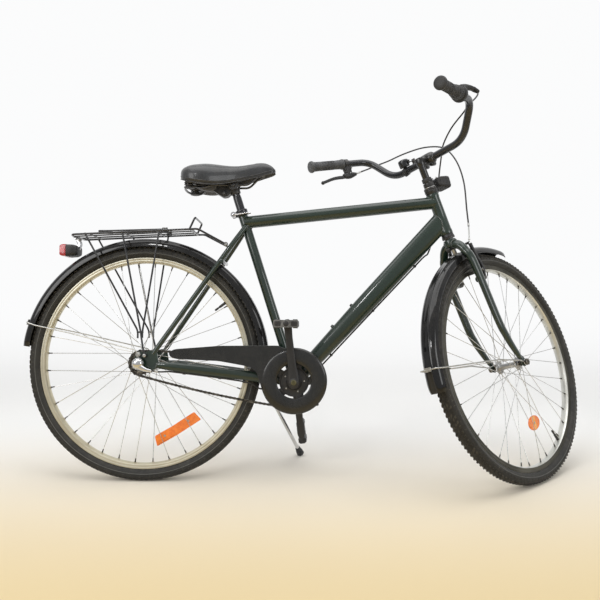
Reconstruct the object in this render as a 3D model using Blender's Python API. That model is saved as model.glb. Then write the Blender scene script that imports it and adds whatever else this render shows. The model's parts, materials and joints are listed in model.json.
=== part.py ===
"""A 28-inch city bicycle with a hub gear, standing on its side stand with the handlebar turned left.

The bicycle is drawn upright in its own frame: X runs forward from the rear axle, Y to the rider's
left and Z up from the ground. Steered pieces are drawn in a frame on the steering axis, seat pieces
in a frame on the seat tube's axis, and turning pieces in a frame on their own axle. Empties carry
those frames, and the last step leans the whole bicycle over on to its stand.
"""
import math

import bmesh
import bpy
from mathutils import Matrix, Quaternion, Vector

for item in list(bpy.data.objects):
    bpy.data.objects.remove(item, do_unlink=True)

# %% Driving dimensions, in metres and degrees
GAP = 0.0003
TYRE_RADIUS = 0.3525
TYRE_HALF = 0.0205
RIM_RADIUS = 0.3165
RIM_BED = 0.2995
RIM_HALF = 0.0125
WHEEL_SIDES = 32
SPOKES = 36
SPOKE_RADIUS = 0.0010

WHEELBASE = 1.116
HEAD_ANGLE = 69.9
FORK_RAKE = 0.0605
SEAT_ANGLE = 72.2
BB_X = 0.451
BB_Z = 0.3005

STEER = 43.0
LEAN = 7.58
CRANK_ANGLE = 96.3

CRANK_LENGTH = 0.170
CHAIN_PITCH = 0.0127
RING_TEETH = 38
SPROCKET_TEETH = 18
CHAIN_LINE = -0.046

TOP_TUBE_SEAT = 0.5012
TOP_TUBE_HEAD = 0.5393
TOP_TUBE_RADIUS = 0.01875
SEAT_TUBE_TOP = 0.541
SEAT_TUBE_RADIUS = 0.0143
SEAT_POST_RADIUS = 0.0127
SEAT_POST_TOP = 0.607
HEAD_TUBE = (0.4380, 0.5660)
HEAD_TUBE_RADIUS = 0.0175
DOWN_TUBE_HEAD = 0.4815
STEERER_RADIUS = 0.0127
QUILL_RADIUS = 0.0110

BAR_RADIUS = 0.0111
BAR_FORWARD = 0.0398
BAR_HEIGHT = 0.6754
GRIP_LENGTH = 0.118

DROPOUT_Y = 0.0665
FENDER_CROWN = 0.3745
FENDER_SKIRT = 0.3500
FENDER_HALF = 0.0270

STAND_PIVOT = Vector((0.366, 0.047, 0.266))
STAND_FOOT = Vector((0.465, 0.236, 0.0390))
STAND_FOLDED = Vector((0.060, 0.062, 0.290))

REAR_AXLE = Vector((0.0, 0.0, TYRE_RADIUS))
FRONT_AXLE = Vector((WHEELBASE, 0.0, TYRE_RADIUS))
BB = Vector((BB_X, 0.0, BB_Z))

BOTTLE_BOSSES = (0.30, 0.43)
EYELETS = (-0.0040, 0.0160)
EYELET_HEIGHT = 0.3790

CLAMP_HEIGHT = SEAT_TUBE_TOP - 0.0095
CLAMP_SCREW = Vector((-0.0250, 0.0, CLAMP_HEIGHT))
RAIL_HEIGHT = 0.8880
SPRING_AT = Vector((0.1520, 0.0500, 0.8500))
SPRING_TOP = 0.8860

TOOTH_HALF = 0.0010
SPINDLE = 0.0085
PEDAL_IN = 0.0900
PEDAL_OUT = 0.1830
CHAIN_SAG = 0.0075

RACK_HALF = 0.0600
RACK_REAR = -0.2110
RACK_FRONT = 0.1440
CLIP_HINGE = Vector((0.0600, 0.0, 0.7545))

BAR_BEND = Vector((0.0398, 0.1373, 0.6754))
BAR_RISE = Vector((0.0330, 0.2083, 0.7636))
BAR_END = Vector((-0.1800, 0.2611, 0.7879))
LEVER_AT = 0.1290
LEVER_HINGE = Vector((0.0, -0.0325, 0.0060))
BRAKE_PIVOT = Vector((0.0, 0.0430, 0.2790))
CABLE_RADIUS = 0.0024


# %% Materials
def material(name, colour, roughness, metallic=0.0):
    """A Principled material with one colour."""
    made = bpy.data.materials.new(name)
    made.use_nodes = True
    shader = made.node_tree.nodes["Principled BSDF"]
    shader.inputs["Base Color"].default_value = (*colour, 1.0)
    shader.inputs["Roughness"].default_value = roughness
    shader.inputs["Metallic"].default_value = metallic
    return made


GREEN = material("green_lacquer", (0.012, 0.030, 0.018), 0.28)
BLACK = material("black_lacquer", (0.012, 0.012, 0.014), 0.30)
PLASTIC = material("black_plastic", (0.020, 0.020, 0.020), 0.55)
RUBBER = material("rubber", (0.030, 0.030, 0.030), 0.80)
VINYL = material("black_vinyl", (0.020, 0.021, 0.022), 0.38)
ALLOY = material("warm_alloy", (0.60, 0.54, 0.42), 0.35, 1.0)
STEEL = material("bright_steel", (0.62, 0.62, 0.62), 0.25, 1.0)
CHAIN_STEEL = material("oiled_steel", (0.10, 0.09, 0.08), 0.45, 1.0)
RED_LENS = material("red_lens", (0.55, 0.01, 0.02), 0.20)
CLEAR_LENS = material("clear_lens", (0.80, 0.80, 0.80), 0.10)
AMBER = material("amber_reflector", (0.80, 0.20, 0.01), 0.25)


# %% Frames that carry the pieces
def empty(name, parent=None, matrix=Matrix.Identity(4)):
    """A bare frame that pieces are parented to."""
    frame = bpy.data.objects.new(name, None)
    bpy.context.collection.objects.link(frame)
    frame.parent = parent
    frame.matrix_basis = matrix
    return frame


STEER_TILT = Matrix.Rotation(math.radians(HEAD_ANGLE - 90.0), 4, "Y")
STEER_FOOT = FRONT_AXLE - STEER_TILT.to_3x3() @ Vector((FORK_RAKE, 0.0, 0.0))
STRAIGHT = Matrix.Translation(STEER_FOOT) @ STEER_TILT
SEAT_TILT = Matrix.Translation(BB) @ Matrix.Rotation(math.radians(SEAT_ANGLE - 90.0), 4, "Y")

BIKE = empty("bike")
STEERING = empty("steering", BIKE, STRAIGHT @ Matrix.Rotation(math.radians(STEER), 4, "Z"))
SEAT = empty("seat", BIKE, SEAT_TILT)
REAR_HUB = empty("rear_hub_frame", BIKE, Matrix.Translation(REAR_AXLE))
FRONT_HUB = empty("front_hub_frame", STEERING, Matrix.Translation((FORK_RAKE, 0.0, 0.0)))
CRANKSET = empty(
    "crankset",
    BIKE,
    Matrix.Translation(BB) @ Matrix.Rotation(math.radians(-CRANK_ANGLE), 4, "Y"),
)


def on_axis(distance, forward=0.0, side=0.0):
    """A point by its distance along the steering axis, in the bicycle's frame, wheel straight."""
    return STRAIGHT @ Vector((forward, side, distance))


def on_seat_tube(distance):
    """A point on the seat tube's axis, in the bicycle's frame."""
    return SEAT_TILT @ Vector((0.0, 0.0, distance))


# %% Shape tools
def skin(rings, closed=False):
    """Join rings of points into one closed skin; a ring of one point is a pole."""
    bm = bmesh.new()
    loops = [[bm.verts.new(point) for point in ring] for ring in rings]
    following = loops[1:] + (loops[:1] if closed else [])
    for first, second in zip(loops, following):
        count = max(len(first), len(second))
        for i in range(count):
            j = (i + 1) % count
            if len(first) == 1:
                bm.faces.new((first[0], second[j], second[i]))
            elif len(second) == 1:
                bm.faces.new((first[i], first[j], second[0]))
            else:
                bm.faces.new((first[i], first[j], second[j], second[i]))
    if not closed:
        for end in (loops[0], loops[-1]):
            if len(end) > 2:
                bm.faces.new(end)
    bmesh.ops.recalc_face_normals(bm, faces=bm.faces)
    return bm


def piece(name, bm, look=None, parent=BIKE, matrix=Matrix.Identity(4)):
    """Turn a bmesh into an object, shaded smooth over its gentle edges."""
    mesh = bpy.data.meshes.new(name)
    bm.to_mesh(mesh)
    bm.free()
    if look:
        mesh.materials.append(look)
    made = bpy.data.objects.new(name, mesh)
    bpy.context.collection.objects.link(made)
    made.parent = parent
    made.matrix_basis = matrix
    smooth(made)
    return made


def smooth(made):
    """Shade smooth, with sharp edges kept."""
    made.data.shade_smooth()
    made.data.set_sharp_from_angle(angle=math.radians(35.0))


def apply_all(made):
    """Make an object's modifiers permanent."""
    graph = bpy.context.evaluated_depsgraph_get()
    mesh = bpy.data.meshes.new_from_object(made.evaluated_get(graph))
    made.modifiers.clear()
    made.data = mesh


def combine(target, others, operation="UNION"):
    """Join pieces to a piece, or cut them from it, and drop them."""
    group = bpy.data.collections.new("operands")
    for other in others:
        group.objects.link(other)
    bpy.context.view_layer.update()
    step = target.modifiers.new(operation.lower(), "BOOLEAN")
    step.operation = operation
    step.operand_type = "COLLECTION"
    step.collection = group
    step.solver = "EXACT"
    apply_all(target)
    for other in others:
        bpy.data.objects.remove(other, do_unlink=True)
    bpy.data.collections.remove(group)
    smooth(target)
    return target


def path_frames(points, up=None):
    """A side and an up direction at each point of a path, carried along without twist."""
    points = [Vector(p) for p in points]
    count = len(points)
    tangents = []
    for i in range(count):
        before = points[max(i - 1, 0)]
        after = points[min(i + 1, count - 1)]
        if 0 < i < count - 1:
            run = (points[i] - before).normalized() + (after - points[i]).normalized()
        else:
            run = after - before
        tangents.append(run.normalized())
    hint = Vector(up) if up else Vector((0.0, 0.0, 1.0))
    if abs(hint.dot(tangents[0])) > 0.95:
        hint = Vector((0.0, 1.0, 0.0))
    normal = (hint - tangents[0] * hint.dot(tangents[0])).normalized()
    frames = []
    for i, tangent in enumerate(tangents):
        if i:
            turn = tangents[i - 1].rotation_difference(tangent)
            normal = turn @ normal
            normal = (normal - tangent * normal.dot(tangent)).normalized()
        frames.append((points[i], tangent.cross(normal), normal))
    return frames


def oval(frame, half_side, half_up, sides):
    """An ellipse of points round a path frame."""
    centre, side, up = frame
    ring = []
    for k in range(sides):
        angle = 2.0 * math.pi * (k + 0.5) / sides
        ring.append(centre + side * (half_side * math.cos(angle)) + up * (half_up * math.sin(angle)))
    return ring


def tube(points, radius, sides=12, flat=None, up=None):
    """A round or oval bar along a path. radius and flat may be one value or one for each point."""
    frames = path_frames(points, up)
    radii = radius if isinstance(radius, (list, tuple)) else [radius] * len(frames)
    flats = flat if isinstance(flat, (list, tuple)) else [flat] * len(frames)
    rings = []
    for frame, half, other in zip(frames, radii, flats):
        rings.append(oval(frame, other if other else half, half, sides))
    return skin(rings)


def rounded(points, radius, steps=4):
    """A path with its corners rounded to an even bend."""
    points = [Vector(p) for p in points]
    out = [points[0]]
    for before, corner, after in zip(points, points[1:], points[2:]):
        back = (before - corner).normalized()
        ahead = (after - corner).normalized()
        half = back.angle(ahead) / 2.0
        reach = radius / math.tan(half)
        start = corner + back * reach
        end = corner + ahead * reach
        for k in range(steps + 1):
            t = k / steps
            out.append(start * (1 - t) ** 2 + corner * 2 * t * (1 - t) + end * t * t)
    out.append(points[-1])
    return out


def smooth_path(points, steps):
    """A Catmull-Rom curve through the points, for cables."""
    points = [Vector(p) for p in points]
    ends = [points[0] * 2 - points[1]] + points + [points[-1] * 2 - points[-2]]
    out = []
    for a, b, c, d in zip(ends, ends[1:], ends[2:], ends[3:]):
        for k in range(steps):
            t = k / steps
            out.append(
                0.5 * (b * 2 + (c - a) * t + (a * 2 - b * 5 + c * 4 - d) * t * t)
                + 0.5 * (b * 3 - a - c * 3 + d) * t ** 3
            )
    out.append(points[-1])
    return out


def turned(profile, sides=24, axis="Y", closed=None):
    """Turn a profile of (radius, along) points about an axis. A profile off the axis makes a ring."""
    rings = []
    for radius, along in profile:
        if radius < 1e-7:
            rings.append([spin_point(0.0, along, 0.0, axis)])
        else:
            ring = [
                spin_point(radius, along, 2.0 * math.pi * (k + 0.5) / sides, axis)
                for k in range(sides)
            ]
            rings.append(ring)
    on_the_axis = profile[0][0] < 1e-7
    return skin(rings, closed=not on_the_axis if closed is None else closed)


def spin_point(radius, along, angle, axis):
    """One point of a turned shape."""
    across = radius * math.cos(angle)
    up = radius * math.sin(angle)
    if axis == "Y":
        return Vector((across, along, up))
    if axis == "X":
        return Vector((along, across, up))
    return Vector((across, up, along))


def pipe(outer, inner, start, end, sides=16, axis="Z"):
    """A plain ring or sleeve with a clear bore."""
    bore = inner / math.cos(math.pi / sides)
    return turned([(outer, start), (outer, end), (bore, end), (bore, start)], sides, axis)


def rod(radius, start, end, sides=12, axis="Z"):
    """A plain round bar along an axis."""
    return turned([(0.0, start), (radius, start), (radius, end), (0.0, end)], sides, axis)


def block(size, centre=(0.0, 0.0, 0.0), bevel=0.0):
    """A box, with its edges taken off when bevel is given."""
    bm = bmesh.new()
    bmesh.ops.create_cube(bm, size=1.0)
    bmesh.ops.scale(bm, vec=size, verts=bm.verts)
    bmesh.ops.translate(bm, vec=centre, verts=bm.verts)
    if bevel:
        bmesh.ops.bevel(bm, geom=bm.edges[:], offset=bevel, segments=1, affect="EDGES")
    return bm


def plate(outline, start, end, axis="Y"):
    """A flat outline of (a, b) points given a thickness along an axis."""
    rings = []
    for along in (start, end):
        if axis == "Y":
            rings.append([Vector((a, along, b)) for a, b in outline])
        else:
            rings.append([Vector((a, b, along)) for a, b in outline])
    return skin(rings)


def arc(centre, radius, start, end, steps):
    """Points of a circle's arc in a plane, angles in degrees."""
    out = []
    for k in range(steps + 1):
        angle = math.radians(start + (end - start) * k / steps)
        out.append((centre[0] + radius * math.cos(angle), centre[1] + radius * math.sin(angle)))
    return out


def along(start, end, t):
    """The point a share t of the way from start to end."""
    return Vector(start).lerp(Vector(end), t)


def turned_to(direction):
    """The rotation that lays local Z along a direction."""
    return Vector((0.0, 0.0, 1.0)).rotation_difference(Vector(direction)).to_matrix().to_4x4()


# %% Frame: welded tubes, dropouts, bridges and bosses
def down_tube():
    """The oversize down tube, an oval that grows towards the head."""
    bottom = BB
    top = on_axis(DOWN_TUBE_HEAD)
    points = [along(bottom, top, t) for t in (0.0, 0.45, 1.0)]
    return tube(points, [0.0215, 0.0280, 0.0298], 10, [0.0190, 0.0190, 0.0165])


def chain_stay(side):
    """An oval stay from the bottom bracket to a dropout."""
    points = [
        (BB_X - 0.012, side * 0.0210, 0.3020),
        (0.3850, side * 0.0325, 0.3080),
        (0.2345, side * 0.0490, 0.3270),
        (0.1000, side * 0.0630, 0.3430),
        (0.0480, side * DROPOUT_Y, 0.3480),
    ]
    tall = [0.0130, 0.0130, 0.0125, 0.0100, 0.0080]
    wide = [0.0085, 0.0085, 0.0085, 0.0080, 0.0065]
    return tube(points, tall, 8, wide)


def seat_stay(side):
    """A slim round stay from a dropout to the side of the seat tube."""
    low = Vector((0.0380, side * DROPOUT_Y, 0.3800))
    high = on_seat_tube(0.487) + Vector((0.0, side * 0.0150, 0.0))
    bend = along(low, high, 0.86) + Vector((0.0, side * 0.0100, 0.0))
    return tube([low, bend, high], 0.0075, 8)


def dropout(side):
    """The plate that holds the axle, with two eyelets above it."""
    outline = [(-0.0160, 0.3460), (-0.0120, 0.3340), (0.0100, 0.3280), (0.0400, 0.3340), (0.0580, 0.3420)]
    outline += [(0.0560, 0.3540), (0.0500, 0.3880), (0.0340, 0.3920), (0.0220, 0.3870), (-0.0070, 0.3870)]
    outline += [(-0.0120, 0.3800), (-0.0160, 0.3620)]
    return plate(outline, side * 0.0635, side * 0.0695)


def frame():
    """The green frame, one welded piece."""
    head = rod(HEAD_TUBE_RADIUS, HEAD_TUBE[0], HEAD_TUBE[1], 12)
    target = piece("frame", head, GREEN, BIKE, STRAIGHT)
    apply_transform(target)
    others = []

    def add(bm, matrix=Matrix.Identity(4)):
        others.append(piece("weld", bm, None, BIKE, matrix))

    add(down_tube())
    add(tube([on_seat_tube(TOP_TUBE_SEAT), on_axis(TOP_TUBE_HEAD)], TOP_TUBE_RADIUS, 10))
    add(rod(SEAT_TUBE_RADIUS, 0.004, SEAT_TUBE_TOP, 12), SEAT_TILT)
    add(rod(0.0205, -0.034, 0.034, 12, "Y"), Matrix.Translation(BB))
    for side in (-1, 1):
        add(chain_stay(side))
        add(seat_stay(side))
        add(dropout(side))
    add(rod(0.0060, -0.0380, 0.0380, 8, "Y"), Matrix.Translation((0.2345, 0.0, 0.6560)))
    add(rod(0.0060, -0.0330, 0.0330, 8, "Y"), Matrix.Translation((0.4010, 0.0, 0.3065)))
    direction = (on_axis(DOWN_TUBE_HEAD) - BB).normalized()
    normal = turned_to((-direction.z, 0.0, direction.x))
    for share in BOTTLE_BOSSES:
        spot = Matrix.Translation(along(BB, on_axis(DOWN_TUBE_HEAD), share))
        add(rod(0.0045, 0.0150, 0.0275 + 0.0060 * share, 6), spot @ normal)
    combine(target, others)

    cuts = [
        piece("cut", rod(0.0150, HEAD_TUBE[0] - 0.02, HEAD_TUBE[1] + 0.02, 12), None, BIKE, STRAIGHT),
        piece(
            "cut",
            rod(bore(SEAT_POST_RADIUS, 12), 0.2350, SEAT_TUBE_TOP + 0.02, 12),
            None,
            BIKE,
            SEAT_TILT,
        ),
        piece("cut", rod(0.0170, -0.05, 0.05, 12, "Y"), None, BIKE, Matrix.Translation(BB)),
        piece("cut", rod(bore(0.0050, 8), -0.1, 0.1, 8, "Y"), None, BIKE, Matrix.Translation(REAR_AXLE)),
    ]
    for side in (-1, 1):
        for x in EYELETS:
            eyelet = Matrix.Translation((x, 0.0, EYELET_HEIGHT))
            cuts.append(piece("cut", rod(0.0031, side * 0.0550, side * 0.0780, 6, "Y"), None, BIKE, eyelet))
    return combine(target, cuts, "DIFFERENCE")


def bore(radius, sides):
    """The corner radius of a faceted bore that clears a round of this radius."""
    return (radius + GAP) / math.cos(math.pi / sides)


def apply_transform(made):
    """Move an object's placement into its mesh, so that its own frame is its parent's."""
    made.data.transform(made.matrix_basis)
    made.matrix_basis = Matrix.Identity(4)


def headset_cup(name, start, end, flare_at_top):
    """A pressed cup that seats a headset bearing at one end of the head tube."""
    wide = 0.0195
    inner = bore(STEERER_RADIUS, 12)
    low, high = (HEAD_TUBE_RADIUS, wide) if flare_at_top else (wide, HEAD_TUBE_RADIUS)
    profile = [(inner, start), (low, start), (high, end), (inner, end)]
    return piece(name, turned(profile, 12, "Z"), BLACK, BIKE, STRAIGHT)


def bottom_bracket():
    """The sealed bearing cartridge in the bottom bracket shell."""
    clear = bore(SPINDLE, 12)
    bm = turned([(clear, -0.0335), (0.0163, -0.0335), (0.0163, 0.0335), (clear, 0.0335)], 12, "Y")
    return piece("bottom_bracket", bm, STEEL, BIKE, Matrix.Translation(BB))


# %% Seat clamp with its quick-release lever


def seat_clamp():
    """The collar round the seat tube, with its two ears, screw and nut behind."""
    collar = piece("seat_clamp", rod(0.0182, CLAMP_HEIGHT - 0.0090, CLAMP_HEIGHT + 0.0090, 12), BLACK, SEAT)
    ears = piece("ear", block((0.0180, 0.0180, 0.0150), (-0.0225, 0.0, CLAMP_HEIGHT)), None, SEAT)
    combine(collar, [ears])
    cuts = [
        piece("cut", rod(bore(SEAT_TUBE_RADIUS, 12), 0.5, 0.6, 12), None, SEAT),
        piece("cut", block((0.0300, 0.0024, 0.0300), (-0.0280, 0.0, CLAMP_HEIGHT)), None, SEAT),
    ]
    combine(collar, cuts, "DIFFERENCE")
    screw = piece(
        "screw",
        rod(0.0032, -0.0270, 0.0120, 6, "Y"),
        None,
        SEAT,
        Matrix.Translation(CLAMP_SCREW),
    )
    nut = piece("nut", rod(0.0062, 0.0080, 0.0165, 6, "Y"), None, SEAT, Matrix.Translation(CLAMP_SCREW))
    return combine(collar, [screw, nut])


def seat_clamp_lever():
    """The cam lever on the near side, lying forward along the collar."""
    frame_ = empty("seat_lever_frame", SEAT, Matrix.Translation(CLAMP_SCREW))
    cam = piece("seat_clamp_lever", rod(0.0085, -0.0225, -0.0125, 10, "Y"), STEEL, frame_)
    path = rounded(
        [(0.0030, -0.0180, -0.0010), (0.0200, -0.0240, -0.0050), (0.0520, -0.0245, -0.0120)],
        0.012,
        2,
    )
    blade = piece("blade", tube(path, [0.0046, 0.0046, 0.0046, 0.0050, 0.0062], 6, 0.0024), None, frame_)
    combine(cam, [blade])
    cut = piece("cut", rod(bore(0.0032, 6), -0.05, 0.0, 6, "Y"), None, frame_)
    return combine(cam, [cut], "DIFFERENCE")


# %% Seat post and saddle
def seat_post():
    """A plain round post with a swaged top."""
    profile = [(0.0, 0.395), (SEAT_POST_RADIUS, 0.395), (SEAT_POST_RADIUS, 0.583), (0.0110, 0.590)]
    profile += [(0.0110, SEAT_POST_TOP), (0.0, SEAT_POST_TOP)]
    return piece("seat_post", turned(profile, 12, "Z"), BLACK, SEAT)


def saddle_clamp():
    """The round clamp on the post's top that grips both rails."""
    body = piece(
        "saddle_clamp",
        rod(0.0150, -0.0300, 0.0300, 10, "Y"),
        BLACK,
        SEAT,
        FROM_SEAT @ SADDLE_CLAMP,
    )
    apply_transform(body)
    neck = piece("neck", rod(0.0150, 0.5920, 0.6120, 10), None, BIKE, SEAT_TILT)
    bolt = piece("bolt", rod(0.0060, -0.0360, 0.0360, 5, "Y"), None, BIKE, SADDLE_CLAMP)
    combine(body, [neck, bolt])
    cuts = [piece("cut", rod(bore(0.0110, 12), 0.5800, SEAT_POST_TOP + GAP, 12), None, BIKE, SEAT_TILT)]
    for side in (-1, 1):
        groove = Matrix.Translation((0.0, side * 0.0220, RAIL_HEIGHT))
        cuts.append(piece("cut", rod(bore(0.0034, 6), 0.1, 0.4, 6, "X"), None, BIKE, groove))
    return combine(body, cuts, "DIFFERENCE")


FROM_SEAT = SEAT_TILT.inverted()
SADDLE_CLAMP = Matrix.Translation((on_seat_tube(0.6125).x, 0.0, RAIL_HEIGHT))


def saddle_rails():
    """One bent wire: from the nose back under the clamp to a loop that carries the springs."""
    half = [
        (0.3560, -0.0060, 0.9210),
        (0.3380, -0.0140, 0.9160),
        (0.3080, -0.0220, RAIL_HEIGHT),
        (0.2000, -0.0220, RAIL_HEIGHT),
        (0.1650, -0.0300, 0.8480),
        (0.1480, -0.0640, 0.8440),
        (0.1180, -0.0560, 0.8440),
        (0.1060, -0.0200, 0.8440),
    ]
    other = [(x, -y, z) for x, y, z in reversed(half)]
    path = rounded(half + other, 0.010, 1)
    return piece("saddle_rails", tube(path, 0.0034, 4), STEEL, SEAT, FROM_SEAT)


def saddle_spring(name, side):
    """A coil spring between the rear loop of the rails and the saddle's base."""
    turns = 4.0
    radius = 0.0135
    wire_radius = 0.0018
    per_turn = 7
    count = int(turns * per_turn)
    low = SPRING_AT.z
    points = []
    for k in range(count + 1):
        angle = side * 2.0 * math.pi * k / per_turn
        rise = low + (SPRING_TOP - low) * k / count
        points.append(
            (
                SPRING_AT.x - 0.016 + radius * math.cos(angle),
                side * SPRING_AT.y + radius * math.sin(angle),
                rise,
            ),
        )
    pitch = (SPRING_TOP - low) / turns
    print(name, "least gap between turns, mm:", round((pitch - 2 * wire_radius) * 1000, 2))
    return piece(name, tube(points, wire_radius, 4), STEEL, SEAT, FROM_SEAT)


def saddle_section(x, half, top, bottom):
    """One cross-section of the padded top: a crown, rolled sides and a hem drawn in under a hollow pan."""
    over = []
    count = 10
    for k in range(count):
        angle = math.pi * k / (count - 1)
        lift = math.sin(angle) ** 0.60
        over.append(Vector((x, half * math.cos(angle), bottom + 0.010 + (top - bottom - 0.010) * lift)))
    depth = min(0.0120, (top - bottom) * 0.35)
    under = ((-0.93, 0.0), (-0.83, 0.0), (-0.74, depth), (0.74, depth), (0.83, 0.0), (0.93, 0.0))
    return over + [Vector((x, half * across, bottom + up)) for across, up in under]


SADDLE_STATIONS = (
    (0.1080, 0.036, 0.9260, 0.9040),
    (0.1120, 0.058, 0.9350, 0.8990),
    (0.1220, 0.076, 0.9420, 0.8950),
    (0.1400, 0.089, 0.9485, 0.8905),
    (0.1620, 0.094, 0.9515, 0.8885),
    (0.1860, 0.091, 0.9535, 0.8885),
    (0.2100, 0.080, 0.9525, 0.8905),
    (0.2350, 0.064, 0.9505, 0.8930),
    (0.2600, 0.047, 0.9495, 0.8985),
    (0.2850, 0.036, 0.9510, 0.9030),
    (0.3100, 0.0290, 0.9555, 0.9060),
    (0.3350, 0.0250, 0.9595, 0.9110),
    (0.3560, 0.0235, 0.9595, 0.9170),
    (0.3720, 0.0210, 0.9540, 0.9215),
    (0.3830, 0.0170, 0.9460, 0.9250),
    (0.3890, 0.0100, 0.9380, 0.9280),
)


def saddle_cover():
    """The padded saddle: wide and round behind, dished in the middle, raised at the nose."""
    rings = [saddle_section(*station) for station in SADDLE_STATIONS]
    return piece("saddle_cover", skin(rings), VINYL, SEAT, FROM_SEAT)


# %% Rear wheel
def tyre(name, parent):
    """The tyre: a round casing with a slight tread crown, open towards the rim."""
    half = TYRE_HALF
    profile = [
        (RIM_RADIUS + GAP, -0.0112),
        (0.3310, -half),
        (0.3465, -0.0140),
        (TYRE_RADIUS, 0.0),
        (0.3465, 0.0140),
        (0.3310, half),
        (RIM_RADIUS + GAP, 0.0112),
    ]
    return piece(name, turned(profile, WHEEL_SIDES, "Y", closed=True), RUBBER, parent)


def rim(name, parent):
    """The alloy rim: brake tracks and a rounded spoke bed."""
    half = RIM_HALF
    profile = [
        (RIM_RADIUS, -half),
        (0.3030, -half + 0.0008),
        (RIM_BED, 0.0),
        (0.3030, half - 0.0008),
        (RIM_RADIUS, half),
    ]
    return piece(name, turned(profile, WHEEL_SIDES, "Y", closed=True), ALLOY, parent)


def spoke_ends(flange, index, crossings=3):
    """Both ends of one spoke: one just inside the flange's edge, the other at the rim's bed."""
    hole_radius, edge_radius, half = flange
    side = 1 if index % 2 else -1
    forward = 1 if index // 2 % 2 else -1
    lay = side * forward * 0.0012
    rim_angle = 2.0 * math.pi * (index + 0.5) / SPOKES
    hole_angle = rim_angle + forward * crossings * 0.92 * 4.0 * math.pi / SPOKES
    hole = Vector((hole_radius * math.cos(hole_angle), 0.0, hole_radius * math.sin(hole_angle)))
    reach = RIM_BED * math.cos(math.pi / WHEEL_SIDES) - GAP
    end = Vector((reach * math.cos(rim_angle), side * 0.0030 + lay, reach * math.sin(rim_angle)))
    run = Vector((end.x - hole.x, 0.0, end.z - hole.z)).normalized()
    nearest = -hole.dot(run)
    offset = (hole + run * nearest).length
    leave = hole + run * (nearest + math.sqrt(edge_radius ** 2 - offset ** 2))
    leave.y = side * half + lay
    return leave + (leave - end).normalized() * 0.0040, end


def hub(name, parent, profile, flange):
    """A hub shell with its spokes laced into both flanges."""
    shell = piece(name, turned(profile, 10, "Y"), STEEL, parent)
    spokes = [
        piece("spoke", tube(spoke_ends(flange, k), SPOKE_RADIUS, 3), None, parent)
        for k in range(SPOKES)
    ]
    return combine(shell, spokes)


def rear_hub():
    """The wide gear hub with a bore for its axle."""
    profile = [
        (0.0065, -0.0400), (0.0190, -0.0400), (0.0220, -0.0310), (0.0335, -0.0306), (0.0335, -0.0256),
        (0.0260, -0.0226), (0.0260, 0.0226), (0.0335, 0.0256), (0.0335, 0.0306), (0.0200, 0.0310),
        (0.0180, 0.0400), (0.0065, 0.0400),
    ]
    return hub("rear_hub", REAR_HUB, profile, (0.0285, 0.0330, 0.0281))


def front_hub():
    """The slim front hub with a bore for its axle."""
    profile = [
        (0.0055, -0.0400), (0.0110, -0.0400), (0.0115, -0.0356), (0.0205, -0.0353), (0.0205, -0.0303),
        (0.0095, -0.0250), (0.0095, 0.0250), (0.0205, 0.0303), (0.0205, 0.0353), (0.0115, 0.0356),
        (0.0110, 0.0400), (0.0055, 0.0400),
    ]
    return hub("front_hub", FRONT_HUB, profile, (0.0165, 0.0202, 0.0328))


def axle(name, parent, radius, half, cone, nut):
    """A threaded axle with its cones inside the dropouts and its nuts outside."""
    inner, outer = cone
    nut_in, nut_out = nut
    side = [(radius, -half), (radius, -nut_out), (0.0100, -nut_out), (0.0100, -nut_in)]
    side += [(radius, -nut_in), (radius, -outer), (0.0085, -outer), (radius, -inner)]
    profile = [(0.0, -half)] + side + [(r, -y) for r, y in reversed(side)] + [(0.0, half)]
    return piece(name, turned(profile, 6, "Y"), STEEL, parent)


def rear_axle():
    """The gear hub's axle with its shift linkage on the right and its strapped brake arm on the left."""
    made = axle("rear_axle", REAR_HUB, 0.0050, 0.0830, (0.0445, 0.0632), (0.0698, 0.0780))
    arm = [(-0.0130, -0.0100), (0.0, -0.0160), (0.0150, -0.0160), (0.1150, -0.0310), (0.1290, -0.0290)]
    arm += [(0.1300, -0.0220), (0.1150, -0.0170), (0.0150, 0.0110), (0.0, 0.0150), (-0.0130, 0.0080)]
    cap = [
        (0.0, -0.0810),
        (0.0150, -0.0810),
        (0.0165, -0.0860),
        (0.0150, -0.0960),
        (0.0090, -0.1000),
        (0.0, -0.1000),
    ]
    elbow = [(0.0040, -0.0900, -0.0100), (0.0240, -0.0900, -0.0180), (0.0390, -0.0880, -0.0195)]
    parts = [
        piece("arm", plate(arm, 0.0480, 0.0510), None, REAR_HUB),
        piece("strap", block((0.0080, 0.0300, 0.0030), (0.1220, 0.0620, -0.0250)), None, REAR_HUB),
        piece("cap", turned(cap, 8, "Y"), None, REAR_HUB),
        piece("elbow", tube(elbow, [0.0075, 0.0062, 0.0045], 6), None, REAR_HUB),
    ]
    return combine(made, parts)


def reflector(name, parent, centre_angle, spread, radius, height):
    """A thin bent reflector clipped across the spokes on the wheel's centre plane."""
    parts = []
    steps = 4
    for k in range(steps + 1):
        angle = math.radians(centre_angle + spread * (k / steps - 0.5))
        direction = Vector((math.cos(angle), 0.0, math.sin(angle)))
        centre = direction * radius
        thick = Vector((0.0, 0.0012, 0.0))
        tall = direction * (height / 2.0)
        parts.append(
            [centre - tall - thick, centre + tall - thick, centre + tall + thick, centre - tall + thick],
        )
    return piece(name, skin(parts), AMBER, parent)


def toothed_outline(teeth, tip, root):
    """The outline of a chain wheel: each tooth is a point between two seats."""
    out = []
    for k in range(teeth):
        for share, radius in ((-0.20, root), (0.0, tip), (0.20, root)):
            angle = 2.0 * math.pi * (k + share) / teeth
            out.append((radius * math.cos(angle), radius * math.sin(angle)))
    return out


def wheel_pitch_radius(teeth):
    """The pitch radius of a chain wheel."""
    return CHAIN_PITCH / 2.0 / math.sin(math.pi / teeth)


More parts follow.
